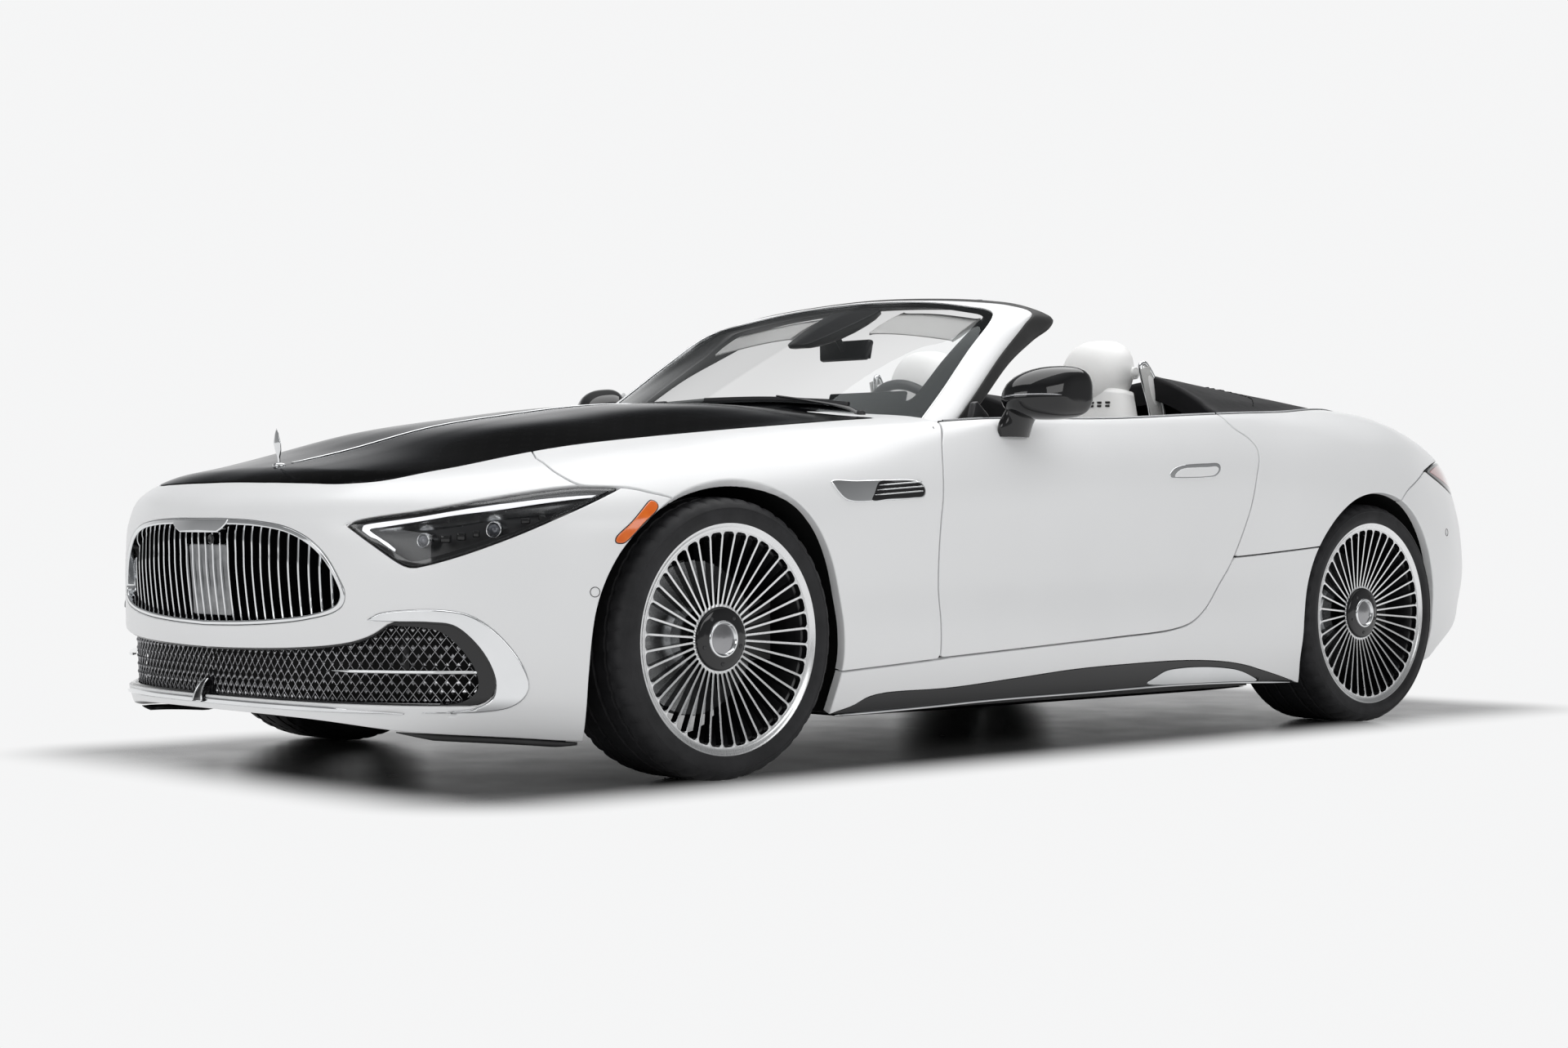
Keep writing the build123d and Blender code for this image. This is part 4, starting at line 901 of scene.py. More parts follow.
MESH_SIDE = [(-2.283, 0.404), (-2.196, 0.403), (-2.146, 0.396), (-2.105, 0.364), (-2.068, 0.312), (-2.052, 0.260), (-2.060, 0.226), (-2.097, 0.2055)]
MESH_LOW = [(-2.097, 0.2055), (-2.224, 0.2055), (-2.40, 0.2075), (-2.60, 0.2095), (-2.942, 0.2105)]
MESH_POLY = np.vstack([[(-3.3, 0.3285)], catmull(MESH_TOP, 6), catmull(MESH_SIDE, 6), catmull(MESH_LOW, 4)[1:], [(-3.3, 0.2105)]])
NOSE_LOW = Spline([-2.95, -2.704, -2.581, -2.414, -2.293, -2.143, -1.967, -1.835, -1.7], [0.176, 0.174, 0.171, 0.160, 0.146, 0.136, 0.124, 0.114, 0.112])


def above_nose(P):
    t = tz(P)[:, 0]
    return P[:, 2] - NOSE_LOW(np.clip(t, -2.95, -1.7))


SILL_LOW = Spline([-1.10, -0.94, -0.79, -0.61, -0.54, 0.0, 0.234, 0.72, 0.95], [0.139, 0.139, 0.1405, 0.144, 0.146, 0.151, 0.154, 0.148, 0.138])
INSERT_TOP = catmull([(-1.075, 0.139), (-1.030, 0.150), (-0.976, 0.162), (-0.926, 0.182), (-0.870, 0.190), (-0.809, 0.192), (-0.625, 0.192), (-0.34, 0.208), (-0.115, 0.222), (0.12, 0.228), (0.376, 0.229), (0.551, 0.219), (0.66, 0.204), (0.738, 0.187), (0.837, 0.164), (0.93, 0.140)], 6)
INSERT_POLY = np.vstack([INSERT_TOP, [(0.93, 0.0), (-1.075, 0.0)]])
PLATE_POLY = catmull([(0.222, 0.1665), (0.258, 0.186), (0.294, 0.201), (0.36, 0.207), (0.453, 0.207), (0.55, 0.201), (0.632, 0.190), (0.700, 0.170), (0.737, 0.1535), (0.60, 0.1555), (0.40, 0.1575)], 6, closed=True)


def above_sill(P):
    return P[:, 2] - SILL_LOW(np.clip(P[:, 1], -1.10, 0.95))


def above_tail(P):
    t = tz(P)[:, 0]
    return P[:, 2] - np.interp(t, [1.6, 1.75, 2.1, 2.5, 2.76], [0.165, 0.175, 0.185, 0.170, 0.165])


# ------------------------------------------------------------------ outer panels
HALF = side_sheet(T_NOSE, T_TAIL, 330, -50, 90, 74)


def part_of(sheet, t0, t1):
    """The sheet between two stations."""
    P, T = sheet
    t = tz(P)[:, 0]
    ok = (t > t0) & (t < t1)
    T = T[ok[T].all(1)]
    used = np.unique(T)
    m = np.full(len(P), -1)
    m[used] = np.arange(len(used))
    return P[used], m[T]


centre = lambda p: abs(p[0]) < 1e-4

# wings
S = trim(*part_of(HALF, -2.02, -0.56), [within(WING_POLY), outside(HOOD_POLY, "xy"), (outside(ARCH_F), 0.0, 0.004), lambda P: 0.80 - np.abs(P[:, 0]) + 1.0 * (P[:, 2] < 0.905) + 1.0 * (P[:, 1] < -0.62)])
pair_of("front_wing", *skin_mesh(S, 0.022), M["white"], "body", slot="white_paint")

# doors
S = trim(*part_of(HALF, -0.72, 0.73), [within(DOOR_POLY), (outboard, 0.004, 0.003)])
pair_of("door", *skin_mesh(S, 0.020, back=True), M["white"], DOORS, slot="white_paint")

# sills: painted above, a black insert and a bright strip below
S = trim(*part_of(HALF, -1.14, 1.02), [within(SILL_POLY), (outside(ARCH_F), 0.0, 0.004), (outside(ARCH_R), 0.0, 0.004), (outside(INSERT_POLY), 0.0004, 0.0015), (above_sill, 0.0, 0.002)])
pair_of("side_sill", *skin_mesh(S, 0.020), M["white"], "body", slot="white_paint")
S = trim(*part_of(HALF, -1.14, 1.02), [within(INSERT_POLY, "tz"), (outside(PLATE_POLY), 0.0, 0.001), (outside(ARCH_F), 0.0, 0.003), (outside(ARCH_R), 0.0, 0.003), (above_sill, 0.004, 0.002)], gap=0.0004)
pair_of("side_sill", *skin_mesh(S, 0.012, lift=-0.0005), M["gloss"], "body", nodes=False, names="sill_insert", slot="black_gloss")
S = trim(*side_sheet(0.20, 0.76, 110, -48, -34, 22), [(within(PLATE_POLY), 0.0006, 0.0015)])
pair_of("sill_plate", *skin_mesh(S, 0.006, lift=0.0012), M["chrome"], "body", nodes=False, slot="chrome")

# quarters behind the doors
S = trim(*part_of(HALF, 0.50, T_TAIL), [within(QUARTER_POLY), (outboard, 0.004, 0.003), (outside(LID_POLY, "xy"), 0.0022, 0.0025), (outside(ARCH_R), 0.0, 0.004), (lambda P: TAIL_T0 + 0.012 - tz(P)[:, 0], 0.0022, 0.0025)])
pair_of("rear_quarter", *skin_mesh(S, 0.022), M["white"], "body", slot="white_paint")

# nose
hood_cut = outside(HOOD_POLY, "xy")
S = trim(*part_of(HALF, T_NOSE - 1, -1.50), [hood_cut, outside(WING_POLY), (outside(HEADLAMP), 0.001, 0.003), (outside(GRILLE_POLY), 0.0, 0.004), (outside(MESH_POLY), 0.0, 0.003), (outside(SWEEP_POLY), 0.0, 0.0015), (outside(ARCH_F), 0.0, 0.004), (above_nose, 0.0, 0.004), (lambda P: -1.56 - P[:, 1], 0.0, 0.0)])
V, Fc, N = both_sides(*skin_mesh(S, 0.022, skip=centre))
skin_object("front_bumper_look", V, Fc, N, M["white"], "body", replaces=["front_bumper"], slot="white_paint")

# tail
DIFF_EDGE = catmull([(T_TAIL + 0.004, 0.3000), (2.56, 0.3000), (2.42, 0.2980), (2.31, 0.2900), (2.235, 0.2700), (2.195, 0.2350), (2.180, 0.1950), (2.176, 0.150)], 6)
DIFF_POLY = np.vstack([[(T_TAIL + 0.5, 0.300)], DIFF_EDGE, [(2.176, 0.0), (T_TAIL + 0.5, 0.0)]])
PLATE_T = T_TAIL - 0.265
PLATE_R = np.vstack([[(T_TAIL + 0.5, 0.640)], catmull([(T_TAIL, 0.640), (PLATE_T + 0.02, 0.6395), (PLATE_T + 0.004, 0.630), (PLATE_T, 0.610), (PLATE_T + 0.008, 0.530), (PLATE_T + 0.020, 0.510), (PLATE_T + 0.045, 0.505), (T_TAIL, 0.505)], 4), [(T_TAIL + 0.5, 0.505)]])
S = trim(*part_of(HALF, 1.38, T_TAIL + 1), [within(TAIL_POLY), (outside(ARCH_R), 0.0, 0.004), (outside(DIFF_POLY), 0.0, 0.003), (outside(PLATE_R), 0.0, 0.006), (above_tail, 0.0, 0.004)])
V, Fc, N = both_sides(*skin_mesh(S, 0.022, skip=centre))
skin_object("rear_bumper_look", V, Fc, N, M["white"], "body", replaces=["rear_bumper"], slot="white_paint")

# lid: its top and its rear face are one surface, cut from two sheets
BREAK = 1.95
top_part = top_sheet(0, 0.76, 42, 1.44, BREAK + 0.02, 28)
S1 = trim(*top_part, [(within(LID_POLY, "xy"), 0.0022, 0.0025), (lambda P: BREAK + 0.0012 - P[:, 1], 0.0, 0.0)])
S2 = trim(*part_of(HALF, 1.80, T_TAIL + 1), [(within(LID_POLY, "xy"), 0.0022, 0.0025), (within(LID_FACE), 0.0022, 0.0025), (lambda P: P[:, 1] - BREAK + 0.0012, 0.0, 0.0)])
seam_line = lambda p: abs(p[0]) < 1e-4 or abs(p[1] - BREAK) < 4e-3
A = skin_mesh(S1, 0.016, back=True, skip=seam_line)
B = skin_mesh(S2, 0.016, back=True, skip=seam_line)
V, Fc = join((A[0], A[1]), (B[0], B[1]))
V, Fc, N = both_sides(V, Fc, np.vstack([A[2], B[2]]))
skin_object("trunk_lid_look", V, Fc, N, M["white"], "trunk_lid", replaces=["trunk_lid"], slot="white_paint")

# hood
P, T = top_sheet(0, 0.76, 42, -2.275, -0.68, 88)
S = trim(P, T, [(within(HOOD_POLY, "xy"), 0.0022, 0.0025)])
V, Fc, N = both_sides(*skin_mesh(S, 0.016, back=True, skip=centre))
skin_object("hood_look", V, Fc, N, M["hood"], "hood", replaces=["hood"], slot="black_gloss")

# tail lamps
S = trim(*side_sheet(1.58, TAIL_T0 + 0.03, 90, 15, 46, 26), [(within(RED_POLY), 0.0022, 0.0030)])
V, Fc, N = skin_mesh(S, 0.018)
v2, n2 = V * [-1, 1, 1], N * [-1, 1, 1]
skin_object("tail_lamps_look", np.vstack([V, v2]), Fc + [[i + len(V) for i in f[::-1]] for f in Fc], np.vstack([N, n2]), M["gloss"], "body", replaces=["tail_lamps"], slot="red_lamp")
LENS = np.vstack([catmull([(1.655, 0.7990), (1.72, 0.8130), (1.83, 0.8230), (1.98, 0.8275), (2.20, 0.8255), (TAIL_T0 + 0.004, 0.8235)], 6), catmull([(TAIL_T0 + 0.004, 0.7430), (2.18, 0.7400), (2.00, 0.7430), (1.86, 0.7560), (1.74, 0.7790), (1.668, 0.7950)], 6)])
S = trim(*side_sheet(1.58, TAIL_T0 + 0.03, 90, 15, 46, 28), [(within(LENS), 0.0, 0.0020)])
pair_of("tail_lamp_lens", *skin_mesh(S, 0.004, lift=0.0012), M["red"], "body", nodes=False, slot="red_lamp")

# ------------------------------------------------------------------ wheels
OUT = 0.941
FACE_R = [0.060, 0.078, 0.100, 0.140, 0.190, 0.235, 0.262, 0.272, 0.2765, 0.281, 0.2885]
FACE_A = [-0.045, -0.046, -0.0435, -0.036, -0.0265, -0.0175, -0.0130, -0.0120, -0.0095, -0.0065, -0.0062]
FACE = Spline(FACE_R, FACE_A)


def face_snap(P):
    r = np.hypot(P[:, 1], P[:, 2])
    return np.stack([FACE(r), P[:, 1], P[:, 2]], 1)


def face_normal(P):
    r = np.hypot(P[:, 1], P[:, 2])
    d = (FACE(r + 5e-4) - FACE(r - 5e-4)) / 1e-3
    n = np.stack([np.ones(len(P)), -d * P[:, 1] / r, -d * P[:, 2] / r], 1)
    return n / np.linalg.norm(n, axis=1)[:, None]


SPOKES = 40
half_pitch = math.pi / SPOKES


def window():
    """One opening between two spokes, in (across, outward)."""
    def h(r):
        return r * math.sin(half_pitch) - np.interp(r, [0.08, 0.14, 0.24, 0.262], [0.0030, 0.0027, 0.0029, 0.0033])
    left = [(-h(r), r) for r in (0.0865, 0.10, 0.13, 0.17, 0.21, 0.245)]
    w = h(0.264)
    cr = 0.0095
    arc_l = [(-w + cr - cr * math.cos(a), 0.264 - cr + cr * math.sin(a)) for a in np.linspace(0, math.pi / 2, 6)]
    arc_r = [(-x, y) for x, y in arc_l[::-1]]
    right = [(-x, y) for x, y in left[::-1]]
    return np.array(left + arc_l + arc_r + right + [(0.0, 0.0845)])


WIN = window()
rr = np.concatenate([np.linspace(0.064, 0.10, 4), np.linspace(0.130, 0.238, 4), np.linspace(0.250, 0.2675, 4), [0.272, 0.2765, 0.281, 0.2885]])
aa = np.linspace(-half_pitch, half_pitch, 5)
A_, R_ = np.meshgrid(aa, rr, indexing="ij")
P = np.stack([0 * A_, R_ * np.sin(A_), R_ * np.cos(A_)], -1).reshape(-1, 3)
q = grid_faces(len(aa), len(rr))
T = np.vstack([q[:, [0, 1, 2]], q[:, [0, 2, 3]]])
S = trim(P, T, [(lambda P: -poly_dist(P[:, 1:], WIN), 0.0, 0.0007)], snap_fn=face_snap, normal_fn=face_normal)
edge = lambda p: abs(abs(math.atan2(p[1], p[2])) - half_pitch) < 1e-4 or math.hypot(p[1], p[2]) < 0.0645 or math.hypot(p[1], p[2]) > 0.288
SV, SF, SN = skin_mesh(S, 0.020, skip=edge)
SF = [f for f in SF]
n_front = len(S.T)
# the turned-in edges give the black walls below the face
base = len(S.P)
SV = SV.copy()


def wheel_face():
    vs, fs, ns, mi = [], [], [], []
    for k in range(SPOKES):
        a = 2 * math.pi * k / SPOKES
        c, s_ = math.cos(a), math.sin(a)
        R = np.array([[1, 0, 0], [0, c, s_], [0, -s_, c]])
        off = k * len(SV)
        vs.append(SV @ R.T)
        ns.append(SN @ R.T)
        fs += [[i + off for i in f] for f in SF]
        mi += [0] * n_front + [1] * (len(SF) - n_front)
    return np.vstack(vs), fs, np.vstack(ns), mi


WV, WF_, WN, WMI = wheel_face()


def tyre_mesh(w, R):
    h = w / 2
    g = 0.0065
    half = [(h - 0.022, 0.268), (h - 0.016, 0.277), (h - 0.0065, 0.2845), (h - 0.0035, 0.2885), (h - 0.0030, 0.2925), (h - 0.0010, 0.296), (h, 0.304), (h - 0.0004, 0.312), (h - 0.0022, 0.3215), (h - 0.0012, 0.323), (h - 0.0060, 0.3305), (h - 0.0135, R - 0.0100), (h - 0.0215, R - 0.0052), (h - 0.032, R - 0.0026), (h - 0.048, R - 0.0014)]
    groove = []
    for c in (0.078, 0.030):
        groove += [(c + 0.0060, R - 0.0006), (c + 0.0045, R - g), (c - 0.0045, R - g), (c - 0.0060, R - 0.0006)]
    pro = half + groove + [(0.0, R)] + [(-x, r) for x, r in groove[::-1]] + [(-x, r) for x, r in half[::-1]]
    pro = np.array(pro)
    seg = 45 * 4

    def wobble(a, x, r):
        k = np.arange(len(a)) % 4
        for j, (px, pr) in enumerate(pro):
            ax = abs(px)
            if h - 0.049 < ax < h - 0.013 and pr > R - 0.011:
                shift = (np.arange(len(a)) + (2 if px > 0 else 0)) % 4
                r[:, j] -= np.where(shift == 0, 0.0042, 0.0)
            elif 0.085 > ax > 0.034 and pr > R - 0.002:
                r[:, j] -= np.where(k == 1, 0.003, 0.0)
        return x, r

    return revolve(pro, (0, 0, 0), seg, wobble)


def barrel(w):
    pro = [(-0.0062, 0.2880), (-0.0085, 0.2893), (-0.0120, 0.2885), (-0.0140, 0.2840), (-0.020, 0.272), (-0.050, 0.262), (-(w - 0.05), 0.258), (-(w - 0.02), 0.272), (-(w - 0.010), 0.2885), (-(w - 0.006), 0.2885), (-(w - 0.012), 0.268), (-(w - 0.05), 0.248), (-0.06, 0.2515), (-0.034, 0.259), (-0.030, 0.266), (-0.0125, 0.2675)]
    return revolve(pro, (0, 0, 0), 72)


def disc(x0):
    pro = [(x0, 0.072), (x0 + 0.004, 0.080), (x0 - 0.028, 0.082), (x0 - 0.030, 0.098), (x0 - 0.030, 0.192), (x0 - 0.034, 0.194), (x0 - 0.040, 0.192), (x0 - 0.041, 0.190), (x0 - 0.041, 0.186), (x0 - 0.052, 0.186), (x0 - 0.052, 0.190), (x0 - 0.053, 0.192), (x0 - 0.060, 0.194), (x0 - 0.064, 0.192), (x0 - 0.064, 0.080), (x0 - 0.030, 0.060)]
    return revolve(pro, (0, 0, 0), 64)


def hub():
    black = [(-0.060, 0.079), (-0.044, 0.0795), (-0.0385, 0.0775), (-0.0365, 0.073), (-0.0350, 0.060), (-0.0335, 0.0465)]
    ring = [(-0.0335, 0.0465), (-0.0300, 0.0455), (-0.0285, 0.0435), (-0.0290, 0.0405), (-0.0325, 0.0385), (-0.0350, 0.0365)]
    dome = [(-0.0350, 0.0365), (-0.0342, 0.030), (-0.0325, 0.020), (-0.0315, 0.010), (-0.0312, 0.0005)]
    return [revolve(p[::-1], (0, 0, 0), 64) for p in (black, ring, dome)]


def bolts():
    """Small covers set in the black hub ring."""
    parts = []
    for k in range(5):
        a = 2 * math.pi * (k + 0.5) / 5
        pro = [(-0.0332, 0.0005), (-0.0335, 0.0048), (-0.0350, 0.0052)]
        v, f = revolve(pro, (0, 0, 0), 18)
        parts.append((v + [0, 0.0615 * math.sin(a), 0.0615 * math.cos(a)], f))
    return join(*parts)


# cooling ribs between the faces of the disc are hidden; its faces are plain
for axle, yc, w, R in (("front", YF, 0.275, ZF), ("rear", YR, 0.305, ZR)):
    tv, tf = tyre_mesh(w, R)
    bv, bf = barrel(w)
    dv, df = disc(-0.110)
    h3 = hub()
    cap = bolts()
    for s, side in ((1, "left"), (-1, "right")):
        at = np.array([OUT * s, yc, R])
        c = np.array([(OUT - w / 2) * s, yc, R])

        def place(v, f, o=at):
            v = np.asarray(v, float)
            return (v * [s, 1, 1] + o, f if s == 1 else [list(q)[::-1] for q in f])

        body = f"wheel_{axle}_{side}"
        v, f = place(tv, tf, c)
        make(f"tyre_{axle}_{side}_look", v, f, M["tyre"], body, replaces=[f"tyre_{axle}_{side}"], slot="tyre", sharp=32)
        v, f = place(WV, WF_)
        ob = make(f"rim_{axle}_{side}_look", v, f, [M["machined"], M["gloss"]], body, replaces=[f"rim_{axle}_{side}"], slot="wheel_metal")
        ob.data.polygons.foreach_set("material_index", np.array(WMI, np.int32))
        N = WN * [s, 1, 1]
        ob.data.normals_split_custom_set_from_vertices((N / np.linalg.norm(N, axis=1)[:, None]).tolist())
        make(f"barrel_{axle}_{side}", *place(bv, bf), M["satin"], body, slot="black_plastic", sharp=40)
        make(f"disc_{axle}_{side}", *place(dv, df), M["silver"], body, slot="dark_metal", sharp=35)
        for (hv, hf), m, n in zip(h3, ("gloss", "chrome", "dark_chrome"), ("hub_disc", "hub_ring", "hub_cap")):
            make(f"{n}_{axle}_{side}", *place(hv, hf), M[m], body, slot="chrome" if m != "gloss" else "black_gloss", sharp=50)
        make(f"hub_bolts_{axle}_{side}", *place(*cap), M["satin"], body, slot="black_plastic")

# ------------------------------------------------------------------ nose and side details


def surf(t, z, off=0.0):
    """A point on the left side's surface from station and height, moved out by off."""
    t, z = np.broadcast_arrays(np.asarray(t, float), np.asarray(z, float))
    rho = width(t) - INSET(t, z) + off
    o, h = spine(t, 0.0)
    P = o + h * rho[..., None]
    P[..., 2] = z
    return P


def patch(poly, margin=0.012, cell=0.0036, lift=0.001, flange=0.006, r=0.0015, gap=0.0, extra=()):
    """A small piece of surface inside an outline in station and height."""
    poly = np.asarray(poly, float)
    t0, z0 = poly.min(0) - margin
    t1, z1 = poly.max(0) + margin
    t0 = max(t0, T_NOSE)
    a0, a1 = math.degrees(math.atan2(z0 - 0.5, 0.33 if z0 < 0.5 else 0.43)), math.degrees(math.atan2(z1 - 0.5, 0.43 if z1 < 0.5 else 0.30))
    nt, na = int((t1 - t0) / cell) + 2, int(math.radians(a1 - a0) * 0.42 / cell) + 2
    S = trim(*side_sheet(t0, t1, nt, a0, a1, na), [(within(poly), gap, r), *extra])
    return skin_mesh(S, flange, lift=lift, skip=centre)


# grille: bright frame, bars following the nose, dark backing
INNER = catmull([(-2.942, 0.6290), (-2.830, 0.6287), (-2.686, 0.6240), (-2.581, 0.6090), (-2.511, 0.5805), (-2.464, 0.5420), (-2.4325, 0.4950), (-2.4215, 0.4660), (-2.4290, 0.4455), (-2.4520, 0.4320), (-2.515, 0.4165), (-2.614, 0.4055), (-2.763, 0.3965), (-2.942, 0.3920)], 8)
INNER_POLY = np.vstack([[(-3.3, 0.6290)], INNER, [(-3.3, 0.3920)]])
S = trim(*side_sheet(T_NOSE, -2.37, 140, -18, 24, 78), [(within(GRILLE_POLY), 0.0008, 0.004), (outside(INNER_POLY), 0.0, 0.004)])
V, Fc, N = both_sides(*skin_mesh(S, 0.030, lift=-0.0005, skip=centre))
skin_object("grille_frame", V, Fc, N, M["chrome"], "body", replaces=["grille"], slot="chrome")

S = trim(*side_sheet(T_NOSE, -2.38, 60, -20, 26, 30), [(within(GRILLE_POLY), 0.003, 0.0)])
V, Fc, N = both_sides(*skin_mesh(S, 0.0, lift=-0.055, skip=centre))
skin_object("grille_backing", V, Fc, N, M["liner"], "body", slot="black_plastic")


def nose_y(x, z):
    """The surface's y at the nose, for a given x and height."""
    x, z = np.broadcast_arrays(np.asarray(x, float), np.asarray(z, float))
    lo, hi = np.full(x.shape, -2.42), np.full(x.shape, -1.75)
    for _ in range(24):
        m = (lo + hi) / 2
        out = F(x, m, z) > 0
        lo = np.where(out, m, lo)
        hi = np.where(out, hi, m)
    return (lo + hi) / 2


parts, cores = [], []
for k in range(-15, 16):
    x = 0.0325 * k
    z = np.linspace(0.38, 0.65, 100)
    y = nose_y(x, z)
    P = np.stack([np.full_like(z, x), y, z], 1)
    ok = poly_dist(tz(P), INNER_POLY) > -0.006
    if ok.sum() < 12:
        continue
    z, y = z[ok][::3], y[ok][::3]
    mid = 0.505
    y = y + 0.016 + 0.55 * (z - mid) ** 2 + 0.006 * (abs(x) / 0.45) ** 2
    slope = np.gradient(y, z)
    # outward direction in plan, so that each bar faces forward
    sec = []
    for hw, dy in ((0.0013, 0.0), (0.0021, 0.0020), (0.0021, 0.006), (0.0015, 0.030), (-0.0015, 0.030), (-0.0021, 0.006), (-0.0021, 0.0020), (-0.0013, 0.0)):
        sec.append((hw, dy))
    V = np.stack([np.stack([np.full_like(z, x + hw), y + dy, z - slope * 0 * dy], 1) for hw, dy in sec], 1)
    n, mm = V.shape[:2]
    f = grid_faces(n, mm, close_m=True).tolist()
    f.append(list(range(mm))[::-1])
    f.append([(n - 1) * mm + i for i in range(mm)])
    parts.append((V.reshape(-1, 3), f))
v, f = join(*parts)
ob = make("grille_bars", v, f, [M["chrome"], M["gloss"]], "body", slot="chrome", sharp=50)
mi = []
for poly in ob.data.polygons:
    ys = [ob.data.vertices[i].co.y for i in poly.vertices]
    c = poly.center
    n_ = poly.normal
    mi.append(1 if abs(n_.x) > 0.9 and max(ys) - min(ys) > 0.012 else 0)
ob.data.polygons.foreach_set("material_index", np.array(mi, np.int32))

# plain plate at the top of the grille and the sensor cover behind the bars
PLATE_TOP = [(-3.3, 0.6400), (-2.805, 0.6400), (-2.812, 0.628), (-2.828, 0.6175), (-2.852, 0.6080), (-3.3, 0.6070)]
S = trim(*side_sheet(T_NOSE, -2.78, 60, 10, 24, 30), [(within(PLATE_TOP), 0.0, 0.003)])
V, Fc, N = both_sides(*skin_mesh(S, 0.012, lift=0.002, skip=centre))
skin_object("grille_plate", V, Fc, N, M["chrome"], "body", slot="chrome")
S = trim(*side_sheet(T_NOSE, -2.80, 36, -18, 16, 28), [(within([(-3.3, 0.576), (-2.852, 0.576), (-2.845, 0.57), (-2.845, 0.404), (-3.3, 0.402)]), 0.0, 0.003)])
V, Fc, N = both_sides(*skin_mesh(S, 0.010, lift=-0.023, skip=centre))
skin_object("grille_sensor_cover", V, Fc, N, M["sensor"], "body", slot="wheel_metal")
# a small camera under the plate
v, f = revolve([(0.0, 0.012), (0.004, 0.011), (0.006, 0.008), (0.003, 0.006), (0.004, 0.0004)], (0, 0, 0), 24)
cy = float(nose_y(0.045, 0.592)) + 0.012
v = np.stack([v[:, 1] + 0.045, cy - v[:, 0], v[:, 2] + 0.592], 1)
make("grille_camera", v, f, M["gloss"], "body", slot="black_gloss")

# lower intake: backing, a plain diamond lattice, blades, sweeps and lip
S = trim(*side_sheet(T_NOSE, -2.02, 90, -48, -8, 30), [(within(MESH_POLY), -0.012, 0.0)])
V, Fc, N = both_sides(*skin_mesh(S, 0.0, lift=-0.060, skip=centre))
skin_object("intake_backing", V, Fc, N, M["liner"], "body", replaces=["lower_grille"], slot="black_plastic")
parts = []
pitch = 0.0335
for sgn in (1, -1):
    for k in range(-4, 70):
        z = np.linspace(0.200, 0.408, 22)
        t = -2.97 + k * pitch * 0.5 * 2 / 1.25 + sgn * (z - 0.30) * 1.0 / 1.25
        ok = (poly_dist(np.stack([t, z], 1), MESH_POLY) > -0.004) & (t > T_NOSE - 0.001)
        idx = np.where(ok)[0]
        if len(idx) < 3:
            continue
        for run in np.split(idx, np.where(np.diff(idx) > 1)[0] + 1):
            if len(run) < 3:
                continue
            p = surf(t[run], z[run], -0.030 - (0.0012 if sgn > 0 else 0.0))
            v, f = tube(p, 0.0016, 4)
            parts += [(v, f), mirrored(v, f)]
v, f = join(*parts)
make("intake_lattice", v, f, M["dark_chrome"], "body", slot="black_plastic")
# small raised lozenges at the lattice's crossings
parts = []
k = 0
for row, z in enumerate(np.arange(0.2185, 0.400, 0.0208)):
    for t in np.arange(-2.942, -2.05, pitch * 0.8 * 2 / 2):
        tt = t + (0.5 * pitch * 0.8 if row % 2 else 0.0)
        if poly_dist(np.array([[tt, z]]), MESH_POLY)[0] < 0.008:
            continue
        a = surf(tt, z, -0.026)
        u = surf(tt + 0.0052, z, -0.0285)
        d = surf(tt - 0.0052, z, -0.0285)
        up_, dn = surf(tt, z + 0.0062, -0.0285), surf(tt, z - 0.0062, -0.0285)
        v = np.array([a, u, up_, d, dn])
        f = [[0, 1, 2], [0, 2, 3], [0, 3, 4], [0, 4, 1]]
        parts.append((v, f))
        if tt > -2.94:
            parts.append(mirrored(v, f))
v, f = join(*parts)
make("intake_studs", v, f, M["dark_chrome"], "body", slot="black_plastic", smooth=False)
# dark frame just inside the opening
edge_line = np.vstack([catmull(MESH_TOP, 6), catmull(MESH_SIDE, 6)[1:], catmull(MESH_LOW, 4)[1:]])
p = surf(edge_line[:, 0], edge_line[:, 1], -0.012)
v, f = tube(p, 0.006, 8)
make("intake_rim", *join((v, f), mirrored(v, f)), M["gloss"], "body", slot="black_gloss")
# gloss black surround between the lattice's outer end and the bright sweep
CORE = np.vstack([[(-3.3, 0.50)], [(-2.50, 0.50)], catmull([(-2.42, 0.440), (-2.300, 0.3960), (-2.225, 0.3900), (-2.178, 0.3800), (-2.138, 0.3480), (-2.104, 0.3010), (-2.092, 0.2630), (-2.098, 0.2380), (-2.120, 0.2190), (-2.165, 0.2075)], 6), [(-2.30, 0.190), (-3.3, 0.190)]])
S = trim(*side_sheet(-2.36, -2.03, 80, -48, -8, 60), [(within(MESH_POLY), -0.004, 0.0), (outside(CORE), 0.0, 0.003)])
pair_of("intake_surround", *skin_mesh(S, 0.030, lift=-0.0090), M["gloss"], "body", nodes=False, slot="black_gloss")
# dark skirt below the bumper, in front of each wheel
t = np.linspace(-2.290, -1.850, 40)
tap = np.interp(t, [-2.290, -2.20, -1.90, -1.850], [0.15, 1, 1, 0.5])
p = surf(t, NOSE_LOW(t) - 0.002, -0.004)
sec = np.array([(-0.020, 0.002), (-0.016, -0.012), (-0.004, -0.013), (0.000, -0.008), (0.000, 0.002)])
v, f = sweep(p, sec[None] * tap[:, None, None])
make("nose_skirts", *join((v, f), mirrored(v, f)), M["plastic"], "body", slot="black_plastic")
t = np.linspace(-2.449, -2.095, 40)
z = 0.2865 + 0.0 * t
tap = np.clip(np.minimum((t + 2.449) / 0.05, 1), 0.25, 1)
p = surf(t, z, -0.008)
sec = np.array([(-0.016, -0.0010), (-0.004, -0.0040), (0.0, -0.0042), (0.0025, 0.0), (0.0, 0.0042), (-0.004, 0.0040), (-0.016, 0.0010)])
v, f = sweep(p, sec[None] * tap[:, None, None])
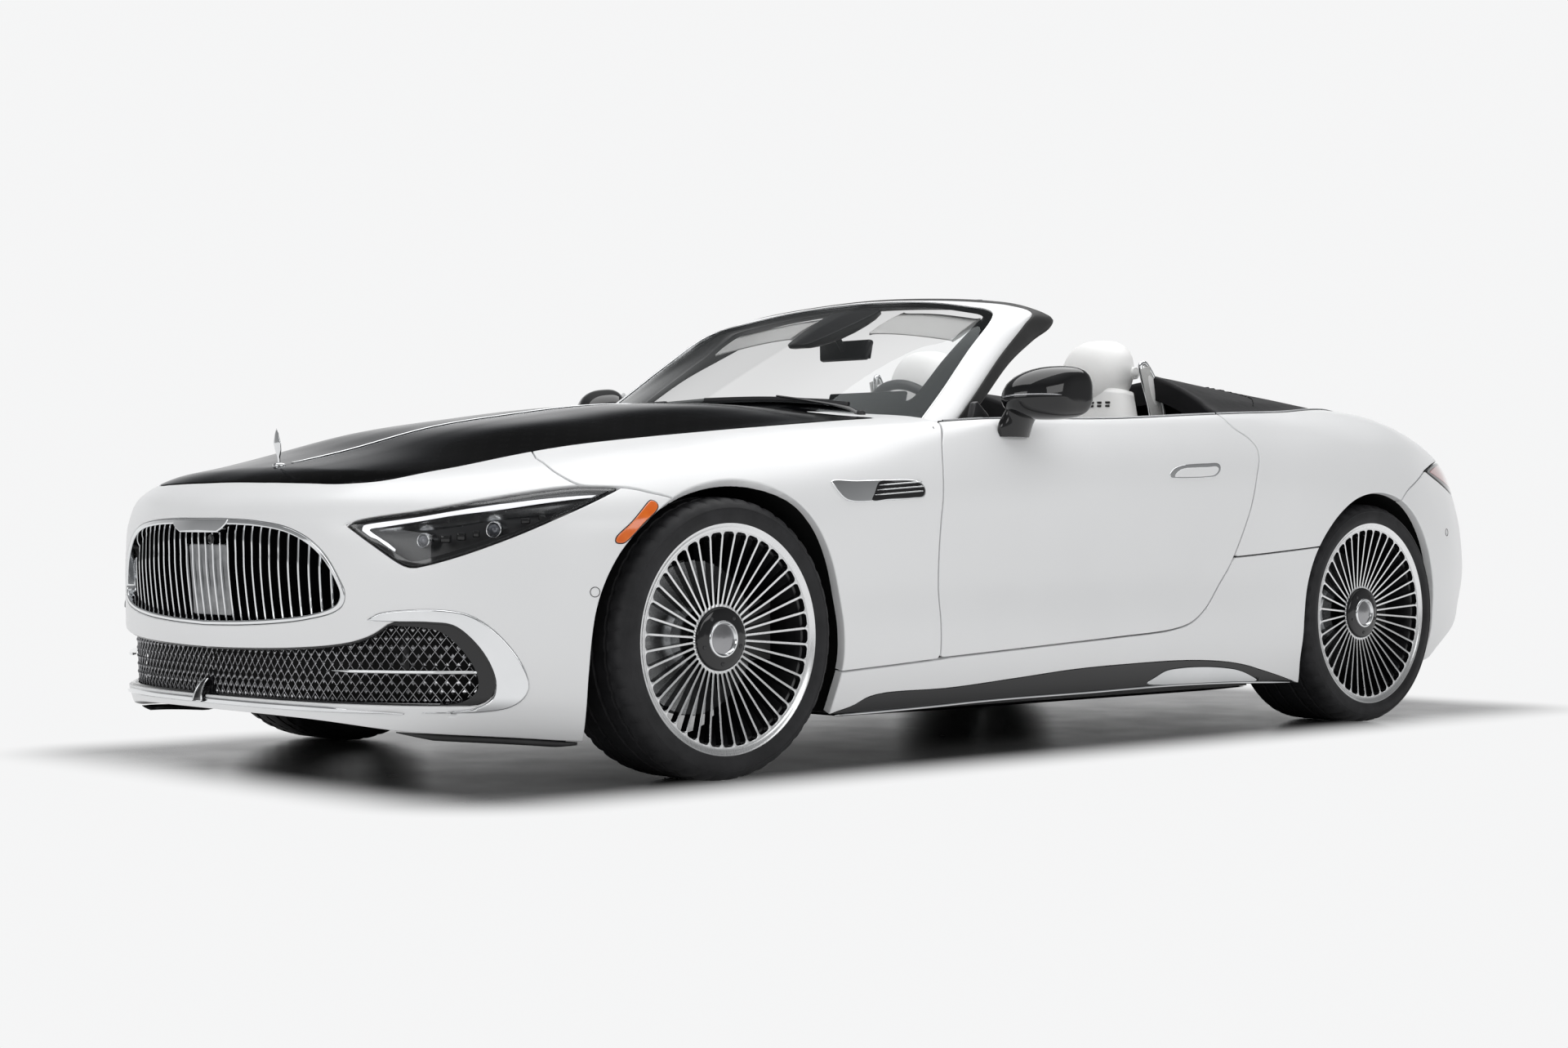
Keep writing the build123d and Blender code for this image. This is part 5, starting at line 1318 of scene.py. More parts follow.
make("intake_blades", *join((v, f), mirrored(v, f)), M["chrome"], "body", slot="chrome")
S = trim(*side_sheet(-2.37, -1.95, 110, -48, -5, 86), [(within(SWEEP_POLY), 0.0, 0.004)])
pair_of("sweep", *skin_mesh(S, 0.026, lift=0.0035), M["chrome"], "body", nodes=False, slot="chrome")
LIP = np.vstack([[(-3.3, 0.2060)], catmull([(-2.942, 0.2055), (-2.70, 0.2045), (-2.515, 0.2030), (-2.314, 0.1985), (-2.16, 0.1945)], 6), catmull([(-2.16, 0.1890), (-2.45, 0.1892), (-2.70, 0.1905), (-2.942, 0.1915)], 6), [(-3.3, 0.1915)]])
S = trim(*side_sheet(T_NOSE, -2.14, 120, -44, -34, 22), [(within(LIP), 0.0, 0.004)])
V, Fc, N = both_sides(*skin_mesh(S, 0.018, lift=0.007, skip=centre))
skin_object("nose_lip", V, Fc, N, M["chrome"], "body", slot="chrome")
# small upright fin in the middle of the lip, with bright edges
z = np.linspace(0.196, 0.250, 10)
yy = nose_y(0.0, 0.23)
prof = [(-0.012, 0.196), (-0.008, 0.215), (0.004, 0.238), (0.016, 0.250), (0.030, 0.250), (0.034, 0.196)]
v = np.array([(sx * wdt, yy + a, b) for sx in (1, -1) for (a, b), wdt in zip(prof, (0.020, 0.015, 0.009, 0.006, 0.008, 0.022))])
f = [[0, 1, 2, 3, 4, 5], [11, 10, 9, 8, 7, 6]] + [[i, (i + 1) % 6 + 0, (i + 1) % 6 + 6, i + 6] for i in range(6)]
ob = make("nose_fin", v, [list(q)[::-1] for q in f], M["gloss"], "body", slot="black_gloss", smooth=True)
soften(ob, 0.002, 2)
for sx in (1, -1):
    p = catmull([(sx * (w_ + 0.0008), yy + a - 0.001, b) for (a, b), w_ in zip(prof[:4], (0.020, 0.015, 0.009, 0.006))], 6)
    v, f = tube(p, 0.0022, 8)
    make("nose_fin_edge_" + ("a" if sx > 0 else "b"), v, f, M["chrome"], "body", slot="chrome")

# headlamps
HL_IN = []
cx_, cz_ = HEADLAMP.mean(0)


def inset_poly(poly, d):
    """The outline moved inward by d."""
    p = np.asarray(poly, float)
    t = np.roll(p, -1, 0) - np.roll(p, 1, 0)
    t /= np.linalg.norm(t, axis=1)[:, None] + 1e-12
    n = np.stack([-t[:, 1], t[:, 0]], 1)
    area2 = np.sum(p[:, 0] * np.roll(p[:, 1], -1) - np.roll(p[:, 0], -1) * p[:, 1])
    q = p + n * d * (1 if area2 > 0 else -1)
    return q


S = trim(*side_sheet(-2.43, -1.70, 110, 2, 52, 70), [(within(HEADLAMP), 0.0032, 0.0035)])
cover = skin_mesh(S, 0.006, lift=-0.0005)
out = []
for s, side in ((1, "left"), (-1, "right")):
    V, Fc, N = cover
    v, f, n = (V, Fc, N) if s == 1 else (V * [-1, 1, 1], [list(q)[::-1] for q in Fc], N * [-1, 1, 1])
    out.append(skin_object(f"headlamp_cover_{side}", v, f, n, M["lens"], "body", slot="lamp", replaces=["headlamps"]))
# black rim under the edge of the cover
S = trim(*side_sheet(-2.43, -1.70, 120, 2, 52, 78), [(within(HEADLAMP), 0.0025, 0.0), (lambda P: 0.0125 + 0.004 * (P[:, 2] < 0.60) - within(HEADLAMP)(P), 0.0, 0.002)])
pair_of("headlamp_rim", *skin_mesh(S, 0.030, lift=-0.0045), M["gloss"], "body", nodes=False, slot="black_gloss")
# the dark bowl: it deepens away from the edge
P, T = side_sheet(-2.43, -1.70, 80, 2, 52, 50)
P, T = cut(P, T, within(HEADLAMP)(P) - 0.002)
d = within(HEADLAMP)(P)
N = normals(P)
V = P - N * (0.022 + 0.050 * (1 - np.exp(-np.clip(d - 0.006, 0, None) / 0.012)))[:, None]
pair_of("headlamp_bowl", V, T.tolist(), N, M["satin"], "body", nodes=False, slot="black_plastic")


def lamp_at(t, z, off):
    """A point below the lamp cover. The cover's surface is found by casting."""
    t, z = np.atleast_1d(t), np.atleast_1d(z)
    o, h = spine(t, 0.5)
    lo, hi = np.full(t.shape, 0.0), np.full(t.shape, 0.6)
    o = o.copy()
    o[:, 2] = z
    for _ in range(24):
        m = (lo + hi) / 2
        p = o + h * m[:, None]
        out_ = F(p[:, 0], p[:, 1], p[:, 2]) > 0
        hi, lo = np.where(out_, m, hi), np.where(out_, lo, m)
    P = o + h * ((lo + hi) / 2)[:, None]
    return P + normals(P) * off


# bright strip: up the front edge, then back along the top
strip = catmull([(-2.290, 0.5700), (-2.330, 0.5930), (-2.362, 0.6165), (-2.358, 0.6285), (-2.316, 0.6370), (-2.228, 0.6505), (-2.143, 0.6650), (-2.040, 0.6800), (-1.940, 0.6955), (-1.850, 0.7055), (-1.780, 0.7100)], 8)
p = lamp_at(strip[:, 0], strip[:, 1], -0.016)
u = np.linspace(0, 1, len(p))
rad = np.interp(u, [0, 0.05, 0.25, 0.7, 1], [0.0040, 0.0078, 0.0085, 0.0068, 0.0018])
v, f = tube(p, rad, 10)
make("light_guides", *join((v, f), mirrored(v, f)), M["light_bar"], "body", slot="lamp")
# bright reflector shelf under the strip's long run
a_ = catmull([(-2.335, 0.6230), (-2.228, 0.6410), (-2.100, 0.6640), (-1.980, 0.6810), (-1.880, 0.6950), (-1.800, 0.7020)], 10)
b_ = catmull([(-2.322, 0.6130), (-2.215, 0.6290), (-2.085, 0.6480), (-1.975, 0.6640), (-1.880, 0.6800), (-1.805, 0.6950)], 10)
rows = []
for k_, w_ in enumerate(np.linspace(0, 1, 8)):
    mid = a_ * (1 - w_) + b_ * w_
    rows.append(lamp_at(mid[:, 0], mid[:, 1], -0.020 - 0.022 * w_ - 0.002 * (k_ % 2)))
V = np.stack(rows, 0)
f = grid_faces(V.shape[0], V.shape[1]).tolist()
v = V.reshape(-1, 3)
ob = make("headlamp_shelves", *join((v, f), mirrored(v, f)), M["silver"], "body", slot="chrome", smooth=True)


def projector(t, z, r, depth, name):
    """A lens in a bezel, facing forward."""
    c = lamp_at(t, z, -depth)[0]
    n = normals(lamp_at(t, z, 0.0))[0]
    d = Vector((n[0] * 0.45, n[1], n[2] * 0.2)).normalized()
    R = d.to_track_quat("X", "Z").to_matrix()
    R = np.array(R)
    lens = [(0.0 + r * 0.62 * math.cos(a), r * 0.80 * math.sin(a)) for a in np.linspace(0.02, math.pi / 2, 9)]
    bez = [(-0.004, r * 0.80), (0.004, r * 0.86), (0.006, r), (0.002, r * 1.10), (-0.012, r * 1.18), (-0.030, r * 1.2)]
    out = []
    for pro, mat, nm in ((lens, "glass_ball", "lens"), (bez, "chrome", "bezel")):
        v, f = revolve(pro, (0, 0, 0), 40)
        v = v @ R.T + c
        v2, f2 = join((v, f), mirrored(v, f))
        out.append(make(f"{name}_{nm}", v2, f2, M[mat], "body", slot="lamp" if nm == "lens" else "chrome"))
    return out


M["glass_ball"] = plain("lamp_lens", (0.10, 0.11, 0.13), (0.20, 0.21, 0.24), 0.02, 0.06, metal=0.4, scale=40, coat=1.0, coat_r=0.01)
projector(-2.225, 0.5985, 0.0165, 0.034, "projector_inner")
projector(-2.058, 0.6260, 0.0185, 0.034, "projector_outer")
# small stepped housings between the lenses
parts = []
for (t_, z_, w_, h_) in ((-2.172, 0.604, 0.024, 0.018), (-2.135, 0.610, 0.020, 0.018), (-2.100, 0.617, 0.016, 0.016), (-1.985, 0.648, 0.022, 0.014), (-1.945, 0.658, 0.018, 0.012)):
    c = lamp_at(t_, z_, -0.036)[0]
    v, f = rounded_box(-w_ / 2, w_ / 2, -0.012, 0.012, -h_ / 2, h_ / 2, 0.003)
    n = normals(lamp_at(t_, z_, 0.0))[0]
    ang = math.atan2(-n[0], n[1]) + math.pi
    ca, sa = math.cos(ang), math.sin(ang)
    v = v @ np.array([[ca, sa, 0], [-sa, ca, 0], [0, 0, 1]]) + c
    parts += [(v, f), mirrored(v, f)]
make("headlamp_housings", *join(*parts), M["gloss"], "body", slot="black_gloss")
# amber corner reflector inside each lamp
am = catmull([(-2.395, 0.6270), (-2.330, 0.5830), (-2.280, 0.5500)], 8)
p = lamp_at(am[:, 0], am[:, 1], -0.014)
v, f = tube(p, 0.0022, 8)
make("lamp_ambers", *join((v, f), mirrored(v, f)), M["orange"], "body", slot="lamp")

# side markers
MARK = catmull([(-1.681, 0.6835), (-1.672, 0.6875), (-1.660, 0.6820), (-1.6585, 0.6720), (-1.705, 0.632), (-1.752, 0.590), (-1.762, 0.5865), (-1.776, 0.5885), (-1.7765, 0.598), (-1.735, 0.635)], 6, closed=True)
pair_of("side_marker", *patch(MARK, lift=0.0022, r=0.0025, flange=0.006), M["orange"], "body", nodes=False, slot="lamp")
pair_of("side_marker_seat", *patch(inset_poly(MARK, -0.0022), lift=0.0008, r=0.001, flange=0.004), M["rubber"], "body", nodes=False, slot="black_plastic")

# wing vents
VENT = catmull([(-1.090, 0.7390), (-1.00, 0.7425), (-0.90, 0.7455), (-0.80, 0.7470), (-0.765, 0.7400), (-0.7495, 0.7220), (-0.755, 0.7010), (-0.80, 0.6950), (-0.90, 0.6905), (-1.020, 0.6865), (-1.052, 0.6940), (-1.073, 0.7120)], 6, closed=True)
pair_of("vent_frame", *patch(VENT, cell=0.0026, lift=0.0035, r=0.004, flange=0.008), M["chrome"], "body", nodes=False, slot="chrome")
VENT_BLACK = catmull([(-0.920, 0.7400), (-0.86, 0.7415), (-0.80, 0.7425), (-0.770, 0.7365), (-0.7545, 0.7215), (-0.760, 0.7050), (-0.80, 0.6995), (-0.88, 0.6960), (-0.955, 0.6925), (-0.945, 0.708)], 6, closed=True)
pair_of("vent_recess", *patch(VENT_BLACK, cell=0.0026, lift=0.0040, r=0.0015, flange=0.004), M["gloss"], "body", nodes=False, slot="black_gloss")
parts = []
for k in range(3):
    z0 = 0.7055 + k * 0.0120
    t = np.linspace(-0.945 + k * 0.010, -0.766 + (0.004 if k == 1 else 0.0), 24)
    z = z0 + 0.012 * (t + 0.945) / 0.18
    p = surf(t, z, 0.0062)
    tap = np.interp(t, [t[0], t[0] + 0.03, t[-1]], [0.15, 1, 1])
    sec = np.array([(-0.003, -0.0022), (0.001, -0.0016), (0.0018, 0.0), (0.001, 0.0016), (-0.003, 0.0022)])
    v, f = sweep(p, sec[None] * tap[:, None, None])
    parts += [(v, f), mirrored(v, f)]
make("vent_bars", *join(*parts), M["chrome"], "body", slot="chrome")

# door handles, flush, in a bright outline
HANDLE = catmull([(0.268, 0.7700), (0.285, 0.7880), (0.320, 0.8000), (0.381, 0.8060), (0.440, 0.8085), (0.492, 0.8090), (0.5015, 0.8010), (0.4985, 0.7860), (0.479, 0.7700), (0.430, 0.7640), (0.378, 0.7615), (0.300, 0.7605), (0.272, 0.7625)], 5, closed=True)
pair_of("handle_frame", *patch(HANDLE, cell=0.0026, lift=0.0022, r=0.003, flange=0.006), M["chrome"], DOORS, nodes=False, slot="chrome")
HANDLE_IN = catmull([(0.292, 0.7735), (0.322, 0.7900), (0.381, 0.7955), (0.440, 0.7975), (0.486, 0.7985), (0.491, 0.7900), (0.473, 0.7745), (0.430, 0.7690), (0.378, 0.7665), (0.310, 0.7655), (0.290, 0.7665)], 5, closed=True)
pair_of("handle_grip", *patch(HANDLE_IN, cell=0.0026, lift=0.0036, r=0.0035, flange=0.006), M["white"], DOORS, nodes=False, slot="white_paint")

# round parking sensors
for nm, t_, z_ in (("sensor_front", -1.829, 0.472), ("sensor_rear", 1.745, 0.600)):
    a = np.linspace(0, 2 * np.pi, 28, endpoint=False)
    p = surf(t_ + 0.0115 * np.cos(a), z_ + 0.0115 * np.sin(a), 0.0002)
    v, f = tube(p, 0.0009, 6, closed=True, up=(1, 0, 0.3))
    make(nm, *join((v, f), mirrored(v, f)), M["rubber"], "body", slot="black_plastic")


def deck_z(x, y):
    x, y = np.broadcast_arrays(np.asarray(x, float), np.asarray(y, float))
    lo, hi = np.full(x.shape, 0.55), np.full(x.shape, 1.15)
    for _ in range(24):
        m = (lo + hi) / 2
        out_ = F(x, y, m) > 0
        hi, lo = np.where(out_, m, hi), np.where(out_, lo, m)
    return (lo + hi) / 2


# bright strip and seal along the top of the doors and quarters
sec_c = np.array([(-0.0030, 0.0), (-0.0026, 0.0030), (0.0, 0.0040), (0.0026, 0.0030), (0.0030, 0.0), (0.0, -0.006)])
sec_r = np.array([(-0.010, -0.022), (-0.010, -0.004), (-0.004, 0.0005), (0.004, 0.0005), (0.009, -0.003), (0.009, -0.022)])
for y0, y1, bodies, nm in ((-0.592, 0.563, DOORS, "door"), (0.570, 1.42, "body", "quarter")):
    y = np.linspace(y0, y1, 80)
    x = belt_x(y)
    p = np.stack([x + 0.001, y, deck_z(x + 0.004, y) + 0.0005], 1)
    v, f = sweep(p, sec_c)
    pair_of(f"belt_strip_{nm}", v, f, np.zeros_like(v) + [0, 0, 1], M["chrome"], bodies, nodes=False, slot="chrome")
    for o in ("left", "right"):
        bpy.data.objects[f"belt_strip_{nm}_{o}_look"].data.normals_split_custom_set([(0, 0, 0)] * len(bpy.data.objects[f"belt_strip_{nm}_{o}_look"].data.loops))
    p = np.stack([x - 0.012, y, deck_z(x + 0.004, y) + 0.001], 1)
    v, f = sweep(p, sec_r)
    pair_of(f"belt_seal_{nm}", v, f, np.zeros_like(v) + [0, 0, 1], M["rubber"], bodies, nodes=False, slot="black_plastic")
    for o in ("left", "right"):
        bpy.data.objects[f"belt_seal_{nm}_{o}_look"].data.normals_split_custom_set([(0, 0, 0)] * len(bpy.data.objects[f"belt_seal_{nm}_{o}_look"].data.loops))

# bright strip under the sills
y = np.linspace(-1.035, 0.915, 90)
z = SILL_LOW(y) + 0.001
p = surf(y, z, 0.001)
tap = np.interp(y, [-1.035, -0.93, 0.80, 0.915], [0.2, 1, 1, 0.2])
sec = np.array([(-0.010, -0.003), (-0.002, -0.0045), (0.0035, -0.003), (0.0045, 0.0015), (0.001, 0.0040), (-0.008, 0.003)])
v, f = sweep(p, (sec[None] * [1, 1]) * tap[:, None, None])
v2, f2 = join((v, f), mirrored(v, f))
make("sill_strips", v2, f2, M["chrome"], "body", slot="chrome")

# hood: bright centre strip and a plain upright ornament on a round base
y = np.linspace(-2.085, -0.870, 110)
p = np.stack([0 * y, y, deck_z(0 * y, y) + 0.0012], 1)
tap = np.interp(y, [-2.085, -2.0, -0.95, -0.870], [0.5, 1, 1, 0.4])
sec = np.array([(-0.0045, -0.001), (-0.0035, 0.0014), (0.0, 0.0022), (0.0035, 0.0014), (0.0045, -0.001)])
v, f = sweep(p, sec[None] * np.stack([tap, tap], 1)[:, None, :])
make("hood_strip", v, f, M["chrome"], "hood", slot="chrome")
zb = float(deck_z(0.0, -2.120))
bx = revolve([(-0.012, 0.015), (-0.001, 0.0165), (0.003, 0.0158), (0.0052, 0.0125), (0.0062, 0.008), (0.0070, 0.0005)], (0, 0, 0), 48)
v = np.stack([bx[0][:, 1], bx[0][:, 2] - 2.120, bx[0][:, 0] + zb + 0.001], 1)
parts = [(v, [list(q)[::-1] for q in bx[1]])]
# a slender leaf leaning back
prof = catmull([(-2.120, zb + 0.004), (-2.122, zb + 0.030), (-2.126, zb + 0.058), (-2.128, zb + 0.092)], 8)
k_ = np.linspace(0, 1, len(prof))
wd = np.interp(k_, [0, 0.20, 0.42, 0.66, 0.88, 1], [0.0035, 0.0045, 0.0135, 0.0170, 0.0090, 0.0010])
th = np.interp(k_, [0, 0.20, 0.6, 1], [0.0032, 0.0030, 0.0034, 0.0006])
pts = np.stack([0 * prof[:, 0], prof[:, 0], prof[:, 1]], 1)
aa_ = np.linspace(0, 2 * np.pi, 14, endpoint=False)
V = pts[:, None, :] + np.stack([np.cos(aa_)[None] * wd[:, None], np.sin(aa_)[None] * th[:, None], 0 * np.sin(aa_)[None] * wd[:, None]], -1)
f = grid_faces(len(pts), 14, close_m=True).tolist() + [[i for i in range(14)][::-1], [(len(pts) - 1) * 14 + i for i in range(14)]]
parts.append((V.reshape(-1, 3), f))
make("ornament_look", *join(*parts), M["chrome"], "hood", replaces=["hood_ornament"], slot="chrome")

# ------------------------------------------------------------------ windscreen, its frame, cowl, wipers and mirrors


def along(curve, n):
    """A curve resampled to n points spaced evenly."""
    c = np.asarray(curve, float)
    d = np.concatenate([[0], np.cumsum(np.linalg.norm(np.diff(c, axis=0), axis=1))])
    s = np.linspace(0, d[-1], n)
    return np.stack([np.interp(s, d, c[:, k]) for k in range(c.shape[1])], 1)


SIDE_A = catmull([(0.743, -0.569, 0.919), (0.713, -0.458, 1.001), (0.671, -0.312, 1.115), (0.636, -0.181, 1.210)], 12)
TOP_A = catmull([(0, -0.076, 1.2965), (0.3, -0.087, 1.2835), (0.5, -0.112, 1.257), (0.56, -0.1245, 1.2475), (0.605, -0.143, 1.234), (0.636, -0.181, 1.210)], 12)
FOOT_A = catmull([(0, -0.762, 0.956), (0.3, -0.728, 0.949), (0.5, -0.680, 0.937), (0.65, -0.622, 0.926), (0.743, -0.569, 0.919)], 12)
vv = np.linspace(0, 1, 60)
MID_A = np.array([0, -0.762, 0.956]) + np.outer(vv, [0, 0.686, 0.3405]) + np.outer(4 * vv * (1 - vv), [0, -0.0048, 0.0098])


def screen(u, v):
    """A point of the glass: u from the middle to the left edge, v from the foot to the top."""
    u, v = np.broadcast_arrays(np.asarray(u, float), np.asarray(v, float))

    def at(c, s):
        c = along(c, 241)
        i = s * 240
        k = np.clip(i.astype(int), 0, 239)
        w_ = (i - k)[..., None]
        return c[k] * (1 - w_) + c[k + 1] * w_

    B, T_, L, R = at(FOOT_A, u), at(TOP_A, u), at(MID_A, v), at(SIDE_A, v)
    U, W_ = u[..., None], v[..., None]
    p00, p10, p01, p11 = FOOT_A[0], FOOT_A[-1], TOP_A[0], TOP_A[-1]
    return (1 - W_) * B + W_ * T_ + (1 - U) * L + U * R - ((1 - U) * (1 - W_) * p00 + U * (1 - W_) * p10 + (1 - U) * W_ * p01 + U * W_ * p11)


nu, nv = 70, 52
U_, V_ = np.meshgrid(np.linspace(0, 1, nu), np.linspace(0, 1, nv), indexing="ij")
G = screen(U_, V_)
gu, gv = np.gradient(G, axis=0), np.gradient(G, axis=1)
GN = np.cross(gu, gv)
GN /= np.linalg.norm(GN, axis=2)[..., None] + 1e-12
if GN[60, 45, 2] < 0:
    GN = -GN
GN[0, :, 0] = 0
gq = grid_faces(nu, nv)
GP, GNf = G.reshape(-1, 3), GN.reshape(-1, 3)
flip = np.dot(np.cross(GP[gq[0][1]] - GP[gq[0][0]], GP[gq[0][2]] - GP[gq[0][0]]), GNf[gq[0][0]]) < 0
if flip:
    gq = gq[:, ::-1]
GT = np.vstack([gq[:, [0, 1, 2]], gq[:, [0, 2, 3]]])


def near_line(P, line):
    line = along(line, 200)
    out = np.full(len(P), 9.0)
    for a, b in zip(line[:-1], line[1:]):
        d = b - a
        t_ = np.clip(((P - a) @ d) / (d @ d), 0, 1)
        out = np.minimum(out, np.linalg.norm(P - a - t_[:, None] * d, axis=1))
    return out


def clear_field(P, UV):
    ws = np.interp(UV[:, 1], [0, 0.5, 1], [0.070, 0.064, 0.048])
    ds = near_line(P, SIDE_A) - ws
    db = near_line(P, FOOT_A) - 0.078
    dt = near_line(P, TOP_A) - 0.024
    k_ = 0.012
    return -k_ * np.log(np.exp(-np.clip(ds / k_, -30, 60)) + np.exp(-np.clip(db / k_, -30, 60)) + np.exp(-np.clip(dt / k_, -30, 60)))


def glass_off(P, nrm, d):
    return P + nrm * d


both = lambda V, Fc, N: both_sides(np.asarray(V, float), [list(map(int, q_)) for q_ in Fc], np.asarray(N, float))
V, Fc, N = both(GP, GT, GNf)
skin_object("windshield_look", V, Fc, N, M["glass"], "body", replaces=["windshield"], slot="glass")
UVf = np.stack([U_.reshape(-1), V_.reshape(-1)], 1)
cf = clear_field(GP, UVf)
# the black border lies on the inner face of the glass
Pb, Tb = cut(np.hstack([GP - GNf * 0.003, GNf]), GT, -cf)
V, Fc, N = both(Pb[:, :3], Tb, Pb[:, 3:])
skin_object("windshield_border", V, Fc, N, M["gloss"], "body", slot="black_gloss")

# white pillars and header as one band; the curves run from the left foot over the top to the right foot
A_K = [(0.757, -0.622, 0.880), (0.743, -0.569, 0.919), (0.713, -0.458, 1.001), (0.671, -0.312, 1.115), (0.636, -0.181, 1.210), (0.605, -0.143, 1.234), (0.56, -0.1245, 1.2475), (0.5, -0.112, 1.257), (0.3, -0.087, 1.2835), (0, -0.076, 1.2965)]
B_K = [(0.812, -0.540, 0.880), (0.799, -0.491, 0.918), (0.772, -0.397, 0.987), (0.727, -0.245, 1.102), (0.690, -0.100, 1.202), (0.668, -0.046, 1.238), (0.600, -0.058, 1.2600), (0.5, -0.074, 1.2745), (0.3, -0.068, 1.2915), (0, -0.058, 1.3030)]
R_K = [(0.806, -0.490, 0.880), (0.788, -0.436, 0.919), (0.763, -0.340, 0.987), (0.721, -0.190, 1.094), (0.690, -0.055, 1.168), (0.672, 0.030, 1.216), (0.610, 0.020, 1.2480), (0.5, 0.012, 1.2690), (0.3, 0.006, 1.2870), (0, 0.004, 1.2975)]


def over(K, n=8):
    """A curve from the left foot to the right foot."""
    K = np.asarray(K, float)
    full = np.vstack([K, (K * [-1, 1, 1])[-2::-1]])
    return catmull(full, n)


A_L, B_L, R_L = over(A_K), over(B_K), over(R_K)
tan = np.gradient((A_L + B_L) / 2, axis=0)
tan /= np.linalg.norm(tan, axis=1)[:, None]
OUTN = np.cross(B_L - A_L, tan)
OUTN /= np.linalg.norm(OUTN, axis=1)[:, None]
mid = (A_L + B_L) / 2
sgn_ = np.sign(np.sum(OUTN * np.stack([mid[:, 0], mid[:, 1] * 0 - 0.3, mid[:, 2] * 0 + 0.6], 1), axis=1))
OUTN *= sgn_[:, None]
topness = np.clip((mid[:, 2] - 1.19) / 0.06, 0, 1)[:, None]


def loft_section(curves, across=4, closed=True):
    """A surface through curves carried side by side; a closed section is rounded through them."""
    C = np.stack(curves, 1)
    rows = [catmull(c, across, closed=closed) for c in C]
    V = np.stack(rows, 0)
    n, m_ = V.shape[:2]
    return V, grid_faces(n, m_, close_m=closed)


M1 = mid + OUTN * (0.0125 * (1 - topness) + 0.004 * topness)
C1 = B_L - OUTN * (0.034 * (1 - topness) + 0.018 * topness) + (A_L - B_L) * 0.18
D1 = A_L - OUTN * (0.034 * (1 - topness) + 0.018 * topness) + (B_L - A_L) * 0.25
A2 = A_L + OUTN * 0.0015
V, q_ = loft_section([A2, M1, B_L, C1, D1], 5)
cross_n = V.shape[1]
f = q_.tolist()
n_, m_ = V.shape[:2]
ob = make("windshield_frame_look", V.reshape(-1, 3), f + [list(range(m_)), [(n_ - 1) * m_ + i for i in range(m_)][::-1]], [M["white"], M["satin"]], "body", replaces=["windshield_frame"], slot="white_paint", sharp=60)
mi = np.zeros(len(ob.data.polygons), np.int32)
jj = np.tile(np.arange(m_), n_ - 1)
mi[: len(jj)] = np.where((jj >= 11) & (jj < m_ - 1), 1, 0)
ob.data.polygons.foreach_set("material_index", mi)
# thin bright line round the glass
v, f = tube(A_L + OUTN * 0.0015, 0.0022, 8)
make("windshield_outline", v, f, M["silver"], "body", slot="chrome")
# black seal behind the pillars and across the header, with a hooked tip at each upper corner
tipped = R_L.copy()
S1 = B_L + OUTN * -0.002
S2 = (B_L + R_L) / 2 + OUTN * 0.004 + topness * np.array([0, -0.006, 0.0075])
hook = np.exp(-((mid[:, 2] - 1.236) / 0.016) ** 2)[:, None]
S3 = R_L + np.concatenate([0 * hook, hook * 0.014, hook * 0.006], 1)
S4 = R_L - OUTN * 0.016 - [0, 0.006, 0]
S5 = B_L - OUTN * 0.020
V, q_ = loft_section([S1, S2, S3, S4, S5], 4)
n_, m_ = V.shape[:2]
ob = make("windshield_seal", V.reshape(-1, 3), q_.tolist() + [list(range(m_)), [(n_ - 1) * m_ + i for i in range(m_)][::-1]], M["rubber"], "body", slot="black_plastic", sharp=60)
# two round sockets in the header for the roof's pins, and sun visors folded up under it
parts = []
for sx in (1, -1):
    v, f = revolve([(0.001, 0.0005), (0.001, 0.010), (0.004, 0.011), (0.004, 0.015), (-0.004, 0.017)], (0, 0, 0), 24)
    v = np.stack([v[:, 1] + sx * 0.43, v[:, 2] * 0.75 - 0.018, v[:, 0] + 1.2865], 1)
    parts.append((v, f))
make("header_sockets", *join(*parts), M["satin"], "body", slot="black_plastic")
parts = []
for sx in (1, -1):
    rows = []
    for k_, (yy_, dz) in enumerate(((-0.070, -0.020), (-0.120, -0.042), (-0.180, -0.072), (-0.225, -0.096))):
        xs = np.linspace(0.17, 0.52, 9)
        zz = np.array([screen(x_ / 0.66, np.clip((yy_ + 0.762) / 0.686, 0, 1)) for x_ in xs])
        rows.append(np.stack([xs * sx, zz[:, 1] + 0.014, zz[:, 2] - 0.030], 1))
    R_ = np.stack(rows, 0)
    t_ = np.array([0.004, 0.008, 0.008, 0.004])[:, None]
    up_, dn_ = R_.copy(), R_.copy()
    up_[..., 2] += t_
    dn_[..., 2] -= t_
    V = np.concatenate([up_, dn_[::-1]], 0)
    f = grid_faces(8, 9, close_n=True).tolist() + [[i * 9 for i in range(8)], [i * 9 + 8 for i in range(8)][::-1]]
    parts.append((V.reshape(-1, 3), f if sx > 0 else [list(x_)[::-1] for x_ in f]))
ob = make("sun_visors", *join(*parts), M["leather"], "body", slot="leather")
subsurf(ob, 2)

